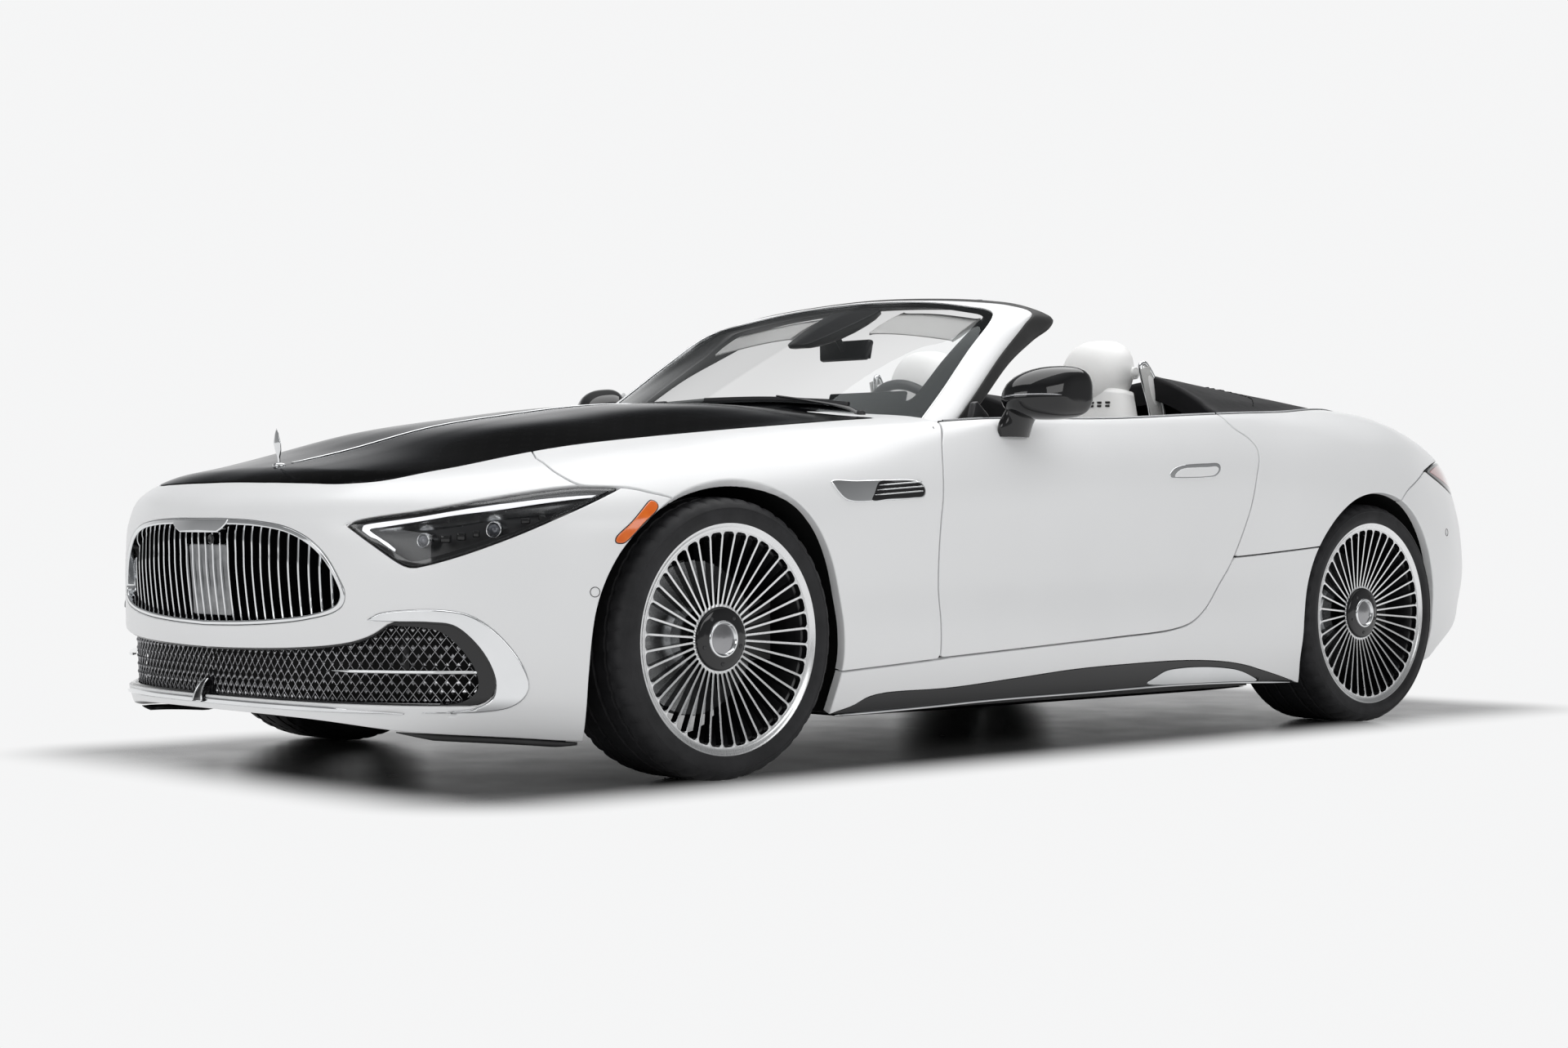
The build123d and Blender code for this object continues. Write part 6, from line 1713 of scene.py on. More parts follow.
# sensor housing behind the glass, and the inner mirror hanging from it
rows = []
for v_, hw, dp in ((0.985, 0.115, 0.012), (0.93, 0.112, 0.030), (0.82, 0.098, 0.040), (0.70, 0.075, 0.036), (0.61, 0.050, 0.022), (0.595, 0.040, 0.008)):
    ring = []
    for a in np.linspace(0, 2 * np.pi, 20, endpoint=False):
        cx_ = hw * np.sign(math.cos(a)) * abs(math.cos(a)) ** 0.45
        cd = (math.sin(a) * 0.5 - 0.5) if math.sin(a) < 0 else 0
        p = screen(abs(cx_) / 0.66, v_)
        ring.append((cx_, p[1] + 0.004 - dp * cd * 0.445 * 1.0, p[2] - 0.006 + dp * cd * 0.9))
    rows.append(ring)
V = np.array(rows)
f = grid_faces(len(rows), 20, close_m=True).tolist() + [list(range(20)), [(len(rows) - 1) * 20 + i for i in range(20)][::-1]]
ob = make("sensor_housing", V.reshape(-1, 3), f, M["satin"], "body", slot="black_plastic")
subsurf(ob, 1)
v, f = rounded_box(-0.112, 0.112, -0.010, 0.012, -0.031, 0.031, 0.009)
v[:, 0] *= 1 - 0.10 * (v[:, 2] < 0)
rot = Matrix.Rotation(math.radians(-12), 3, "X")
v = v @ np.array(rot).T + [0, -0.150, 1.152]
ob = make("inner_mirror", v, f, M["satin"], "body", slot="black_plastic")
v, f = rounded_box(-0.104, 0.104, 0.0118, 0.0135, -0.025, 0.025, 0.0007)
v = v @ np.array(rot).T + [0, -0.150, 1.152]
make("inner_mirror_glass", v, f, M["silver"], "body", slot="glass")
v, f = tube(catmull([(0, -0.205, 1.222), (0, -0.190, 1.200), (0, -0.166, 1.168), (0, -0.156, 1.152)], 6), 0.010, 12)
make("inner_mirror_stalk", v, f, M["satin"], "body", slot="black_plastic")

# cowl: a black panel with a shallow trough and fine slats, between the hood and the glass
CF = catmull([(0, -0.842, 0.940), (0.3, -0.816, 0.934), (0.56, -0.748, 0.922), (0.66, -0.708, 0.912), (0.722, -0.668, 0.902)], 10)
CR = catmull([(0, -0.748, 0.9555), (0.3, -0.714, 0.9485), (0.5, -0.664, 0.9355), (0.65, -0.605, 0.9215), (0.748, -0.552, 0.905)], 10)
nx, ny = 40, 40
cf_, cr_ = along(CF, nx), along(CR, nx)
w_ = np.linspace(0, 1, ny)
V = cf_[:, None, :] * (1 - w_)[None, :, None] + cr_[:, None, :] * w_[None, :, None]
dip = np.interp(w_, [0, 0.06, 0.2, 0.62, 0.86, 1], [-0.012, 0.0, -0.006, -0.016, -0.004, -0.001])
V[..., 2] += dip[None, :]
slat = ((w_ > 0.30) & (w_ < 0.62)).astype(float) * 0.0022 * (np.sin(w_ * 2 * np.pi * 10) > 0)
inner_ = (np.linspace(0, 1, nx) < 0.86)[:, None]
V[..., 2] += slat[None, :] * inner_
low = V[:, :1].copy()
low[..., 2] -= 0.045
V = np.concatenate([low, V], 1)
v0, f0 = V.reshape(-1, 3), grid_faces(nx, ny + 1).tolist()
make("cowl_look", *join((v0, f0), mirrored(v0, f0)), M["plastic"], "body", replaces=["cowl"], slot="black_plastic", sharp=40)

# wipers: an arm and a blade on each side, resting along the foot of the glass
parts, metal = [], []
for u0, u1, pv, v0_ in ((0.03, 0.70, 0.80, 0.050), (-0.86, -0.22, -0.12, 0.050)):
    us = np.linspace(u0, u1, 24)
    base_ = np.array([screen(abs(x_), v0_ + 0.012 * math.sin((x_ - u0) / (u1 - u0) * math.pi)) * [1 if x_ >= 0 else -1, 1, 1] for x_ in us])
    base_ += np.array([0, -0.0045, 0.0090])
    sec = np.array([(-0.006, -0.006), (-0.0075, 0.002), (-0.003, 0.006), (0.003, 0.006), (0.0055, 0.0), (0.004, -0.006)])
    v, f = sweep(base_, sec)
    parts.append((v, f))
    pvp = screen(abs(pv), 0.0) * [1 if pv >= 0 else -1, 1, 1] + [0, -0.030, -0.006]
    mid_ = base_[12]
    arm = catmull([pvp, pvp + (mid_ - pvp) * 0.12 + [0, 0, 0.014], pvp + (mid_ - pvp) * 0.6 + [0, -0.004, 0.014], mid_ + [0, 0, 0.008]], 8)
    v, f = tube(arm, np.interp(np.linspace(0, 1, len(arm)), [0, 0.2, 1], [0.009, 0.008, 0.0045]), 10, squash=0.6)
    parts.append((v, f))
    v, f = revolve([(-0.010, 0.013), (0.008, 0.0125), (0.012, 0.010), (0.0135, 0.0005)], (0, 0, 0), 24)
    v = np.stack([v[:, 1], v[:, 2], v[:, 0]], 1) + pvp + [0, 0, 0.004]
    parts.append((v, [list(x_)[::-1] for x_ in f]))
make("wipers_look", *join(*parts), M["satin"], "body", replaces=["wipers"], slot="black_plastic", sharp=40)


# door mirrors
def mirror_rings():
    rows = [(0.884, -0.400, -0.302, 0.957, 1.004), (0.892, -0.418, -0.285, 0.944, 1.022), (0.915, -0.428, -0.262, 0.936, 1.041), (0.950, -0.424, -0.240, 0.932, 1.052), (0.985, -0.407, -0.224, 0.932, 1.0555), (1.015, -0.385, -0.212, 0.935, 1.053), (1.036, -0.362, -0.207, 0.941, 1.046), (1.047, -0.338, -0.212, 0.953, 1.032), (1.050, -0.312, -0.228, 0.966, 1.018)]
    out = []
    for x, y0, y1, z0, z1 in rows:
        ring = []
        cy_, cz_ = (y0 + y1) / 2, (z0 + z1) / 2
        for a in np.linspace(0, 2 * np.pi, 32, endpoint=False):
            c, s_ = math.cos(a), math.sin(a)
            ex = 0.62 if c > 0 else 0.95
            yy_ = np.sign(c) * abs(c) ** ex * (y1 - y0) / 2
            zz_ = np.sign(s_) * abs(s_) ** (0.72 if s_ > 0 else 0.62) * (z1 - z0) / 2
            # the front is lower than the back: the top slopes down forward
            tilt = 0.10 * (yy_ - (y1 - y0) / 2) * (1 if s_ > 0 else 0.0)
            ring.append((x, cy_ + yy_, cz_ + zz_ + tilt))
        out.append(ring)
    R = np.array(out)
    c = (R.max(1) + R.min(1))[:, None] / 2
    return c + (R - c) * [1, 1.035, 1.30] + [0, 0, -0.001]


MR = mirror_rings()
mv, mf = MR.reshape(-1, 3), grid_faces(len(MR), 32, close_m=True).tolist()
mf += [list(range(32)), [(len(MR) - 1) * 32 + i for i in range(32)][::-1]]
foot_rows = []
for cx_, cy_, z, hx, hy in ((0.893, -0.366, 0.868, 0.026, 0.056), (0.894, -0.366, 0.885, 0.030, 0.062), (0.896, -0.362, 0.906, 0.030, 0.064), (0.900, -0.354, 0.920, 0.029, 0.064), (0.906, -0.346, 0.934, 0.029, 0.066), (0.916, -0.338, 0.952, 0.031, 0.074), (0.928, -0.334, 0.972, 0.032, 0.078)):
    foot_rows.append([(cx_ + hx * math.cos(a), cy_ + hy * math.sin(a), z) for a in np.linspace(0, 2 * np.pi, 28, endpoint=False)])
FR = np.array(foot_rows)
fv, ff = FR.reshape(-1, 3), grid_faces(len(FR), 28, close_m=True).tolist()
ff = [list(x_)[::-1] for x_ in ff] + [list(range(28)), [(len(FR) - 1) * 28 + i for i in range(28)][::-1]]
for s, side in ((1, "left"), (-1, "right")):
    flip_ = (lambda v, f: (v, f)) if s == 1 else mirrored
    v, f = join((mv, mf), (fv, ff))
    ob = make(f"mirror_{side}_look", *flip_(v, f), M["gloss"], DOORS[side], replaces=[f"mirror_{side}"], slot="black_gloss", sharp=55)
    subsurf(ob, 1)
    # reflecting glass set in the rear face
    gl = []
    for x in np.linspace(0.900, 1.036, 14):
        k_ = np.interp(x, [0.900, 0.915, 0.97, 1.02, 1.036], [0.55, 0.82, 0.86, 0.70, 0.35])
        y_ = np.interp(x, MR[:, 0, 0], MR[:, :, 1].max(1)) + 0.0016
        z0 = np.interp(x, MR[:, 0, 0], MR[:, :, 2].min(1))
        z1 = np.interp(x, MR[:, 0, 0], MR[:, :, 2].max(1))
        zc, hz = (z0 + z1) / 2, (z1 - z0) / 2 * k_
        gl.append([(x, y_, zc - hz + 2 * hz * w2) for w2 in np.linspace(0, 1, 7)])
    gl = np.array(gl)
    v, f = flip_(gl.reshape(-1, 3), grid_faces(14, 7).tolist())
    make(f"mirror_glass_{side}", v, f, M["silver"], DOORS[side], slot="glass")
    # slim indicator along the front
    p = []
    for x in np.linspace(0.905, 1.046, 24):
        y_ = np.interp(x, MR[:, 0, 0], MR[:, :, 1].min(1))
        zc = np.interp(x, MR[:, 0, 0], (MR[:, :, 2].max(1) + MR[:, :, 2].min(1)) / 2) - 0.0085
        p.append((x, y_ - 0.0005, zc))
    v, f = tube(p, 0.0022, 8)
    make(f"mirror_line_{side}", *flip_(v, f), M["dark_chrome"], DOORS[side], slot="chrome")
    # black corner piece between the pillar's seal and the door
    tri = [(-0.466, 0.916), (-0.392, 0.920), (-0.396, 0.930), (-0.440, 0.966), (-0.450, 0.962)]
    v = np.array([(x, y, z) for x in (0.806, 0.828) for y, z in tri])
    f = [[0, 1, 2, 3, 4][::-1], [5, 6, 7, 8, 9]] + [[i, (i + 1) % 5, (i + 1) % 5 + 5, i + 5] for i in range(5)]
    ob = make(f"sail_{side}", *flip_(v, f), M["satin"], DOORS[side], slot="black_plastic", smooth=True)
    soften(ob, 0.004, 3, 30)

# ------------------------------------------------------------------ cabin
M["webbing"] = plain("belt_webbing", (0.52, 0.52, 0.51), (0.62, 0.62, 0.61), 0.6, 0.75, scale=40, grain=(800, 0.5, 0.0008))

M["cover"] = plain("cover_black", (0.006, 0.006, 0.007), (0.010, 0.010, 0.011), 0.45, 0.60, scale=5, grain=(600, 0.15, 0.0005), spec=0.18)


def sausage(path, hx, hz, up, power=2.6, m=30, cap=5):
    """A closed soft form along a path: half width hx across, half thickness hz along up, with rounded ends."""
    p = np.asarray(path, float)
    n = len(p)
    hx = np.broadcast_to(np.asarray(hx, float), (n,)).copy()
    hz = np.broadcast_to(np.asarray(hz, float), (n,)).copy()
    t = np.gradient(p, axis=0)
    t /= np.linalg.norm(t, axis=1)[:, None]
    up = np.broadcast_to(np.asarray(up, float), (n, 3))
    u = np.cross(t, up)
    u /= np.linalg.norm(u, axis=1)[:, None]
    w = np.cross(u, t)
    a = np.linspace(0, 2 * np.pi, m, endpoint=False)
    ca = np.sign(np.cos(a)) * np.abs(np.cos(a)) ** (2 / power)
    sa = np.sign(np.sin(a)) * np.abs(np.sin(a)) ** (2 / power)
    rings = []
    for k, s in [(0, x) for x in np.linspace(0.08, 0.98, cap)] + [(i, 1.0) for i in range(1, n - 1)] + [(n - 1, x) for x in np.linspace(0.98, 0.08, cap)]:
        c = p[k].copy()
        if s < 1:
            d = min(hz[k], hx[k])
            c = c + t[k] * d * (1 - math.sqrt(max(0.0, 1 - s * s))) * (1 if k == 0 else -1)
            c = c - t[k] * d * 0.0
        rings.append(c + u[k] * hx[k] * s * ca[:, None] + w[k] * hz[k] * s * sa[:, None])
    V = np.array(rings)
    f = grid_faces(len(V), m, close_m=True).tolist() + [list(range(m)), [(len(V) - 1) * m + i for i in range(m)][::-1]]
    return V.reshape(-1, 3), f


def outward_faces(v, f):
    """The faces turned so that they look outward."""
    me = bpy.data.meshes.new("tmp")
    me.from_pydata(np.asarray(v, float).tolist(), [], [list(map(int, q)) for q in f])
    bm = bmesh.new()
    bm.from_mesh(me)
    bmesh.ops.recalc_face_normals(bm, faces=bm.faces)
    bm.verts.ensure_lookup_table()
    f2 = [[q.index for q in fc.verts] for fc in bm.faces]
    bm.free()
    bpy.data.meshes.remove(me)
    return np.asarray(v, float), f2


def evaluated(ob):
    dg = bpy.context.evaluated_depsgraph_get()
    dg.update()
    e = ob.evaluated_get(dg)
    me = e.to_mesh()
    v = np.empty(len(me.vertices) * 3)
    me.vertices.foreach_get("co", v)
    f = [list(p.vertices) for p in me.polygons]
    e.to_mesh_clear()
    return v.reshape(-1, 3), f


def stuffed(v, f, voxel, cap, pressure=4.0, frames=20):
    """Remesh the form, let it swell as filled cloth, cap how far each point moves."""
    me = bpy.data.meshes.new("pad_form")
    me.from_pydata(np.asarray(v, float).tolist(), [], [list(map(int, q)) for q in f])
    ob = bpy.data.objects.new("pad_form", me)
    scn = bpy.context.scene
    scn.collection.objects.link(ob)
    r = ob.modifiers.new("remesh", "REMESH")
    r.mode = "VOXEL"
    r.voxel_size = voxel
    v0, f0 = evaluated(ob)
    ob.modifiers.clear()
    bpy.data.objects.remove(ob)
    # relax the voxel steps
    E = np.array(sorted({tuple(sorted((q[i], q[(i + 1) % len(q)]))) for q in f0 for i in range(len(q))}))
    deg = np.bincount(E.reshape(-1), minlength=len(v0))[:, None]
    for _ in range(6):
        s = np.zeros_like(v0)
        np.add.at(s, E[:, 0], v0[E[:, 1]])
        np.add.at(s, E[:, 1], v0[E[:, 0]])
        v0 = v0 * 0.4 + 0.6 * s / deg
    me = bpy.data.meshes.new("pad_cloth")
    me.from_pydata(v0.tolist(), [], f0)
    ob = bpy.data.objects.new("pad_cloth", me)
    scn.collection.objects.link(ob)
    c = ob.modifiers.new("cloth", "CLOTH")
    st = c.settings
    st.quality = 5
    st.mass = 0.3
    st.tension_stiffness = st.compression_stiffness = 12
    st.shear_stiffness = 5
    st.bending_stiffness = 0.6
    st.use_pressure = True
    st.uniform_pressure_force = pressure
    st.effector_weights.gravity = 0
    c.collision_settings.use_collision = False
    c.collision_settings.use_self_collision = False
    c.point_cache.frame_start, c.point_cache.frame_end = 1, frames
    v1 = None
    for fr in range(1, frames + 1):
        scn.frame_set(fr)
    v1, _ = evaluated(ob)
    scn.frame_set(1)
    ob.modifiers.clear()
    bpy.data.objects.remove(ob)
    d = v1 - v0
    L = np.linalg.norm(d, axis=1)[:, None] + 1e-9
    d = d / L * cap * np.tanh(L / cap)
    v1 = v0 + d
    for _ in range(3):
        s = np.zeros_like(v1)
        np.add.at(s, E[:, 0], v1[E[:, 1]])
        np.add.at(s, E[:, 1], v1[E[:, 0]])
        v1 = v1 * 0.5 + 0.5 * s / deg
    v0 = v1
    return v0, f0


X0 = 0.38
L3 = lambda pts, n=6: catmull(pts, n)
# cushion: a middle pad with two bolsters, and a roll at the front
c_mid = sausage(L3([(X0, -0.085, 0.400), (X0, 0.06, 0.410), (X0, 0.22, 0.402), (X0, 0.395, 0.388)]), 0.140, 0.040, (0, 0, 1), 3.2)
c_l = sausage(L3([(X0 + 0.176, -0.085, 0.398), (X0 + 0.178, 0.05, 0.412), (X0 + 0.180, 0.20, 0.418), (X0 + 0.176, 0.385, 0.412)]), [0.046] * 19, 0.048, (0.15, 0, 1), 2.6)
c_r = sausage(L3([(X0 - 0.176, -0.085, 0.398), (X0 - 0.178, 0.05, 0.412), (X0 - 0.180, 0.20, 0.418), (X0 - 0.176, 0.385, 0.412)]), [0.046] * 19, 0.048, (-0.15, 0, 1), 2.6)
c_f = sausage(L3([(X0 - 0.185, -0.112, 0.392), (X0 - 0.08, -0.124, 0.400), (X0 + 0.08, -0.124, 0.400), (X0 + 0.185, -0.112, 0.392)]), 0.026, 0.040, (0, 0, 1), 2.4)
# backrest: middle pad widening to the shoulders, and two bolsters
b_path = L3([(X0, 0.440, 0.465), (X0, 0.452, 0.56), (X0, 0.478, 0.70), (X0, 0.512, 0.84), (X0, 0.538, 0.945)])
b_w = np.interp(np.linspace(0, 1, len(b_path)), [0, 0.55, 0.80, 1], [0.132, 0.142, 0.190, 0.178])
b_mid = sausage(b_path, b_w, 0.040, (0, -1, 0.32), 3.2)
b_l = sausage(L3([(X0 + 0.176, 0.432, 0.475), (X0 + 0.184, 0.436, 0.57), (X0 + 0.186, 0.460, 0.70), (X0 + 0.176, 0.500, 0.82), (X0 + 0.150, 0.530, 0.905)]), np.interp(np.linspace(0, 1, 25), [0, 0.5, 1], [0.044, 0.050, 0.040]), 0.046, (0.25, -1, 0.32), 2.5)
b_r = (b_l[0] * [-1, 1, 1] + [2 * X0, 0, 0], [list(q)[::-1] for q in b_l[1]])
# headrest: a smooth egg
th = np.linspace(0, np.pi, 22)
ph = np.linspace(0, 2 * np.pi, 36, endpoint=False)
rings = []
for a in th:
    z = 1.090 + 0.113 * math.cos(a)
    k = math.sin(a) ** 0.66
    k *= 1.0 - 0.05 * (math.cos(a) < 0) * abs(math.cos(a))
    yc = 0.580 + 0.020 * math.cos(a)
    rings.append([(X0 + 0.130 * k * np.sign(math.cos(b)) * abs(math.cos(b)) ** 0.80, yc + 0.080 * k * np.sign(math.sin(b)) * abs(math.sin(b)) ** 0.80, z) for b in ph])
H = np.array(rings)
h_v, h_f = H.reshape(-1, 3), grid_faces(len(H), 36, close_m=True).tolist() + [list(range(36)), [(len(H) - 1) * 36 + i for i in range(36)][::-1]]

PADS = [
    # name, forms, voxel, cap
    ("seat_cushion", [c_mid, c_l, c_r, c_f], 0.0075, 0.010),
    ("seat_back_pad", [b_mid, b_l, b_r], 0.0075, 0.010),
    ("headrest", [(h_v, h_f)], 0.0115, 0.010),
]
shapes = {}
for nm, forms, vox, cap in PADS:
    v, f = outward_faces(*join(*[outward_faces(*q) for q in forms]))
    shapes[nm] = stuffed(v, f, vox, cap)


def channel(nm, lines, depth=0.004, width=0.006):
    """Press sewn channels into a pad along the given lines."""
    v, f = shapes[nm]
    d = np.full(len(v), 9.0)
    for ln in lines:
        d = np.minimum(d, near_line(v, ln))
    c = v.mean(0)
    n = v - c
    n /= np.linalg.norm(n, axis=1)[:, None]
    return v - n * (depth * np.exp(-((d / width) ** 2)))[:, None], f


# sewn channels across the cushion and back
ch = [np.array([(X0 - 0.13, y, 0.452), (X0 + 0.13, y, 0.452)]) for y in np.arange(-0.03, 0.36, 0.065)]
shapes["seat_cushion"] = channel("seat_cushion", ch, 0.006, 0.007)
ch = []
for k in np.linspace(0.12, 0.80, 7):
    i = int(k * (len(b_path) - 1))
    p = b_path[i] + np.array([0, -0.050, 0.010])
    ch.append(np.array([p + [-0.13, 0, 0], p + [0.13, 0, 0]]))
shapes["seat_back_pad"] = channel("seat_back_pad", ch, 0.006, 0.008)

shell = [outward_faces(*sausage(L3([(X0, 0.505, 0.330), (X0, 0.512, 0.46), (X0, 0.530, 0.62), (X0, 0.560, 0.78), (X0, 0.592, 0.935)]), np.interp(np.linspace(0, 1, 25), [0, 0.4, 0.75, 1], [0.205, 0.228, 0.230, 0.205]), 0.050, (0, -1, 0.3), 3.4))]
base = [outward_faces(*sausage(L3([(X0, -0.118, 0.318), (X0, 0.06, 0.318), (X0, 0.25, 0.318), (X0, 0.43, 0.325)]), 0.222, 0.056, (0, 0, 1), 5.0))]
neck = [outward_faces(*sausage(L3([(X0, 0.548, 0.885), (X0, 0.563, 0.965), (X0, 0.577, 1.055)]), np.interp(np.linspace(0, 1, 13), [0, 0.5, 1], [0.192, 0.160, 0.126]), 0.063, (0, -1, 0.2), 3.0))]
for s, side in ((1, "left"), (-1, "right")):
    def side_of(v, f):
        return (v, f) if s == 1 else mirrored(v, f)

    v, f = join(*shell, *base, *neck)
    ob = make(f"seat_{side}_shell", *side_of(v, f), M["leather"], "body", replaces=[f"seat_{side}"], slot="leather")
    for nm, (v, f) in shapes.items():
        ob = make(f"{nm}_{side}", *side_of(v, f), M["leather"], "body", slot="leather")
        if nm == "headrest":
            subsurf(ob, 1)
    # rails under the seat
    parts = []
    for x in (0.165, 0.595):
        parts.append(rounded_box(x - 0.014, x + 0.014, 0.005, 0.495, 0.168, 0.200, 0.004))
        parts.append(rounded_box(x - 0.010, x + 0.010, 0.04, 0.46, 0.196, 0.268, 0.004))
    make(f"seat_rails_{side}", *side_of(*join(*parts)), M["metal"], "body", slot="dark_metal", sharp=40)
    # trim shield on the outer side
    ob = make(f"seat_shield_{side}", *side_of(*rounded_box(0.602, 0.618, -0.06, 0.40, 0.285, 0.352, 0.007)), M["satin"], "body", slot="black_plastic", sharp=40)
    # round button and dark slots of the headrest's warm air vent
    v, f = revolve([(0.0050, 0.0005), (0.0050, 0.011), (0.0030, 0.0135), (0.0044, 0.0165), (0.0020, 0.0190), (-0.006, 0.0195)], (0, 0, 0), 36)
    make(f"headrest_button_{side}", *side_of(v + [X0 + 0.1275, 0.612, 1.096], f), M["leather"], "body", slot="leather", sharp=40)
    parts = []
    for k in range(-4, 4):
        for row in range(2):
            sg = 1 if k >= 0 else -1
            u_ = abs(0.0145 + 0.029 * k) / 0.150
            cx_, cy_ = X0 + sg * 0.150 * u_, 0.5680 - 0.063 * (1 - u_ ** 3) ** (1 / 3)
            a = math.atan2(-((1 - u_ ** 3) ** (2 / 3)) / 0.063, sg * u_ ** 2 / 0.150)
            v, f = rounded_box(-0.0075, 0.0075, -0.004, 0.004, -0.0030, 0.0030, 0.0014)
            ang = a + math.pi / 2
            R = np.array(Matrix.Rotation(ang, 3, "Z"))
            parts.append((v @ R.T + [cx_, cy_, 0.992 + 0.011 * row], f))
    make(f"headrest_slots_{side}", *side_of(*join(*parts)), M["rubber"], "body", slot="black_plastic", smooth=False)
    # belt guide: a white and bright hoop outboard of each headrest
    hoop = L3([(X0 + 0.212, 0.655, 0.930), (X0 + 0.216, 0.640, 0.99), (X0 + 0.214, 0.618, 1.045), (X0 + 0.208, 0.590, 1.095), (X0 + 0.202, 0.566, 1.122), (X0 + 0.200, 0.552, 1.118), (X0 + 0.203, 0.552, 1.090), (X0 + 0.208, 0.566, 1.040), (X0 + 0.210, 0.585, 0.985), (X0 + 0.208, 0.600, 0.925)], 6)
    v, f = tube(hoop, 0.0075, 10, up=(1, 0, 0))
    make(f"belt_hoop_{side}", *side_of(*outward_faces(v, f)), M["chrome"], "body", slot="chrome")
    p = sausage(L3([(X0 + 0.206, 0.628, 0.925), (X0 + 0.209, 0.610, 0.99), (X0 + 0.208, 0.590, 1.045), (X0 + 0.204, 0.568, 1.095)]), np.interp(np.linspace(0, 1, 19), [0, 1], [0.036, 0.018]), 0.010, (1, 0, 0), 2.6)
    make(f"belt_guide_{side}", *side_of(*outward_faces(*p)), M["leather"], "body", slot="leather")
    v, f = sweep(L3([(X0 + 0.213, 0.556, 1.108), (X0 + 0.216, 0.575, 1.04), (X0 + 0.220, 0.600, 0.95), (X0 + 0.226, 0.56, 0.80), (X0 + 0.232, 0.45, 0.55), (X0 + 0.235, 0.36, 0.36)], 8), np.array([(-0.022, -0.0008), (0.022, -0.0008), (0.022, 0.0008), (-0.022, 0.0008)]), up=(1, 0, 0))
    make(f"seat_belt_{side}", *side_of(*outward_faces(v, f)), M["webbing"], "body", slot="leather", smooth=False)

# cover behind the seats: two fairings over a lower middle
TX = [0.0, 0.12, 0.24, 0.36, 0.46, 0.56, 0.64, 0.72, 0.80]
TY = [0.60, 0.70, 0.78, 0.90, 1.05, 1.20, 1.32, 1.44]
TZ = np.array([
    [0.992, 1.000, 1.040, 1.072, 1.088, 1.090, 1.070, 1.035, 0.990],
    [0.996, 1.006, 1.042, 1.070, 1.084, 1.083, 1.062, 1.030, 0.990],
    [1.000, 1.014, 1.046, 1.072, 1.082, 1.076, 1.052, 1.022, 0.992],
    [1.000, 1.014, 1.042, 1.066, 1.072, 1.062, 1.040, 1.014, 0.992],
    [0.996, 1.008, 1.032, 1.052, 1.058, 1.048, 1.030, 1.006, 0.992],
    [0.990, 1.000, 1.018, 1.036, 1.042, 1.034, 1.018, 1.000, 0.992],
    [0.986, 0.994, 1.008, 1.022, 1.028, 1.020, 1.006, 0.994, 0.990],
    [0.983, 0.988, 0.998, 1.008, 1.010, 1.004, 0.994, 0.984, 0.980]])


def smooth_table(x, y):
    rows = np.array([Spline(TX, r)(np.clip(x, 0, 0.80)) for r in TZ])
    out = np.empty_like(x)
    col = Spline(TY, list(range(len(TY))))
    flat = rows.reshape(len(TY), -1)
    yy_ = np.clip(y, TY[0], TY[-1]).reshape(-1)
    for i in range(flat.shape[1]):
        out.reshape(-1)[i] = np.interp(yy_[i], TY, flat[:, i])
    return out


nx, ny = 52, 60
sx_ = np.linspace(0, 1, nx)
V = []
for a in sx_:
    y0 = 0.772 - 0.168 * (lambda q: q * q * (3 - 2 * q))(np.clip((a * 0.84 - 0.50) / 0.075, 0, 1))
    ys = y0 + (1.462 - y0) * np.linspace(0, 1, ny)
    xe = belt_x(ys) - 0.012
    V.append(np.stack([a * xe, ys, 0 * ys], 1))
V = np.array(V)
x_, y_ = V[..., 0], V[..., 1]
z_ = smooth_table(x_.copy(), y_.copy())
for _ in range(10):
    zp = z_.copy()
    zp[1:-1, 1:-1] = (z_[:-2, 1:-1] + z_[2:, 1:-1] + z_[1:-1, :-2] + z_[1:-1, 2:]) / 4
    zp[0, 1:-1] = zp[1, 1:-1]
    z_ = zp
xe = belt_x(y_) - 0.012
ze = deck_z(belt_x(y_[-1]) + 0.004, y_[-1]) + 0.003
k_ = np.clip((x_ - (xe - 0.075)) / 0.075, 0, 1) ** 1.6
z_ = z_ * (1 - k_) + ze[None, :] * k_
endf = np.clip((y_ - 1.425) / 0.037, 0, 1) ** 2
z_ -= 0.012 * endf
V[..., 2] = z_
front = V[:, :1].copy()
f1, f2, f3 = front.copy(), front.copy(), front.copy()
f1[..., 1] -= 0.007
f1[..., 2] -= 0.004
f2[..., 1] -= 0.009
f2[..., 2] -= 0.016
f3[..., 1] -= 0.004
f3[..., 2] -= 0.075
V = np.concatenate([f3, f2, f1, V], 1)
tv, tf = V.reshape(-1, 3), grid_faces(nx, V.shape[1]).tolist()
ob = make("tonneau_cover_look", *join((tv, tf), mirrored(tv, tf)), M["cover"], "body", replaces=["tonneau_cover"], slot="black_plastic")
bmx = bmesh.new()
bmx.from_mesh(ob.data)
bmesh.ops.remove_doubles(bmx, verts=bmx.verts, dist=1e-5)
bmesh.ops.recalc_face_normals(bmx, faces=bmx.faces)
up_ = sum(fc.normal.z * fc.calc_area() for fc in bmx.faces)
if up_ < 0:
    bmesh.ops.reverse_faces(bmx, faces=bmx.faces)
bmx.to_mesh(ob.data)
bmx.free()
ob.data.shade_smooth()
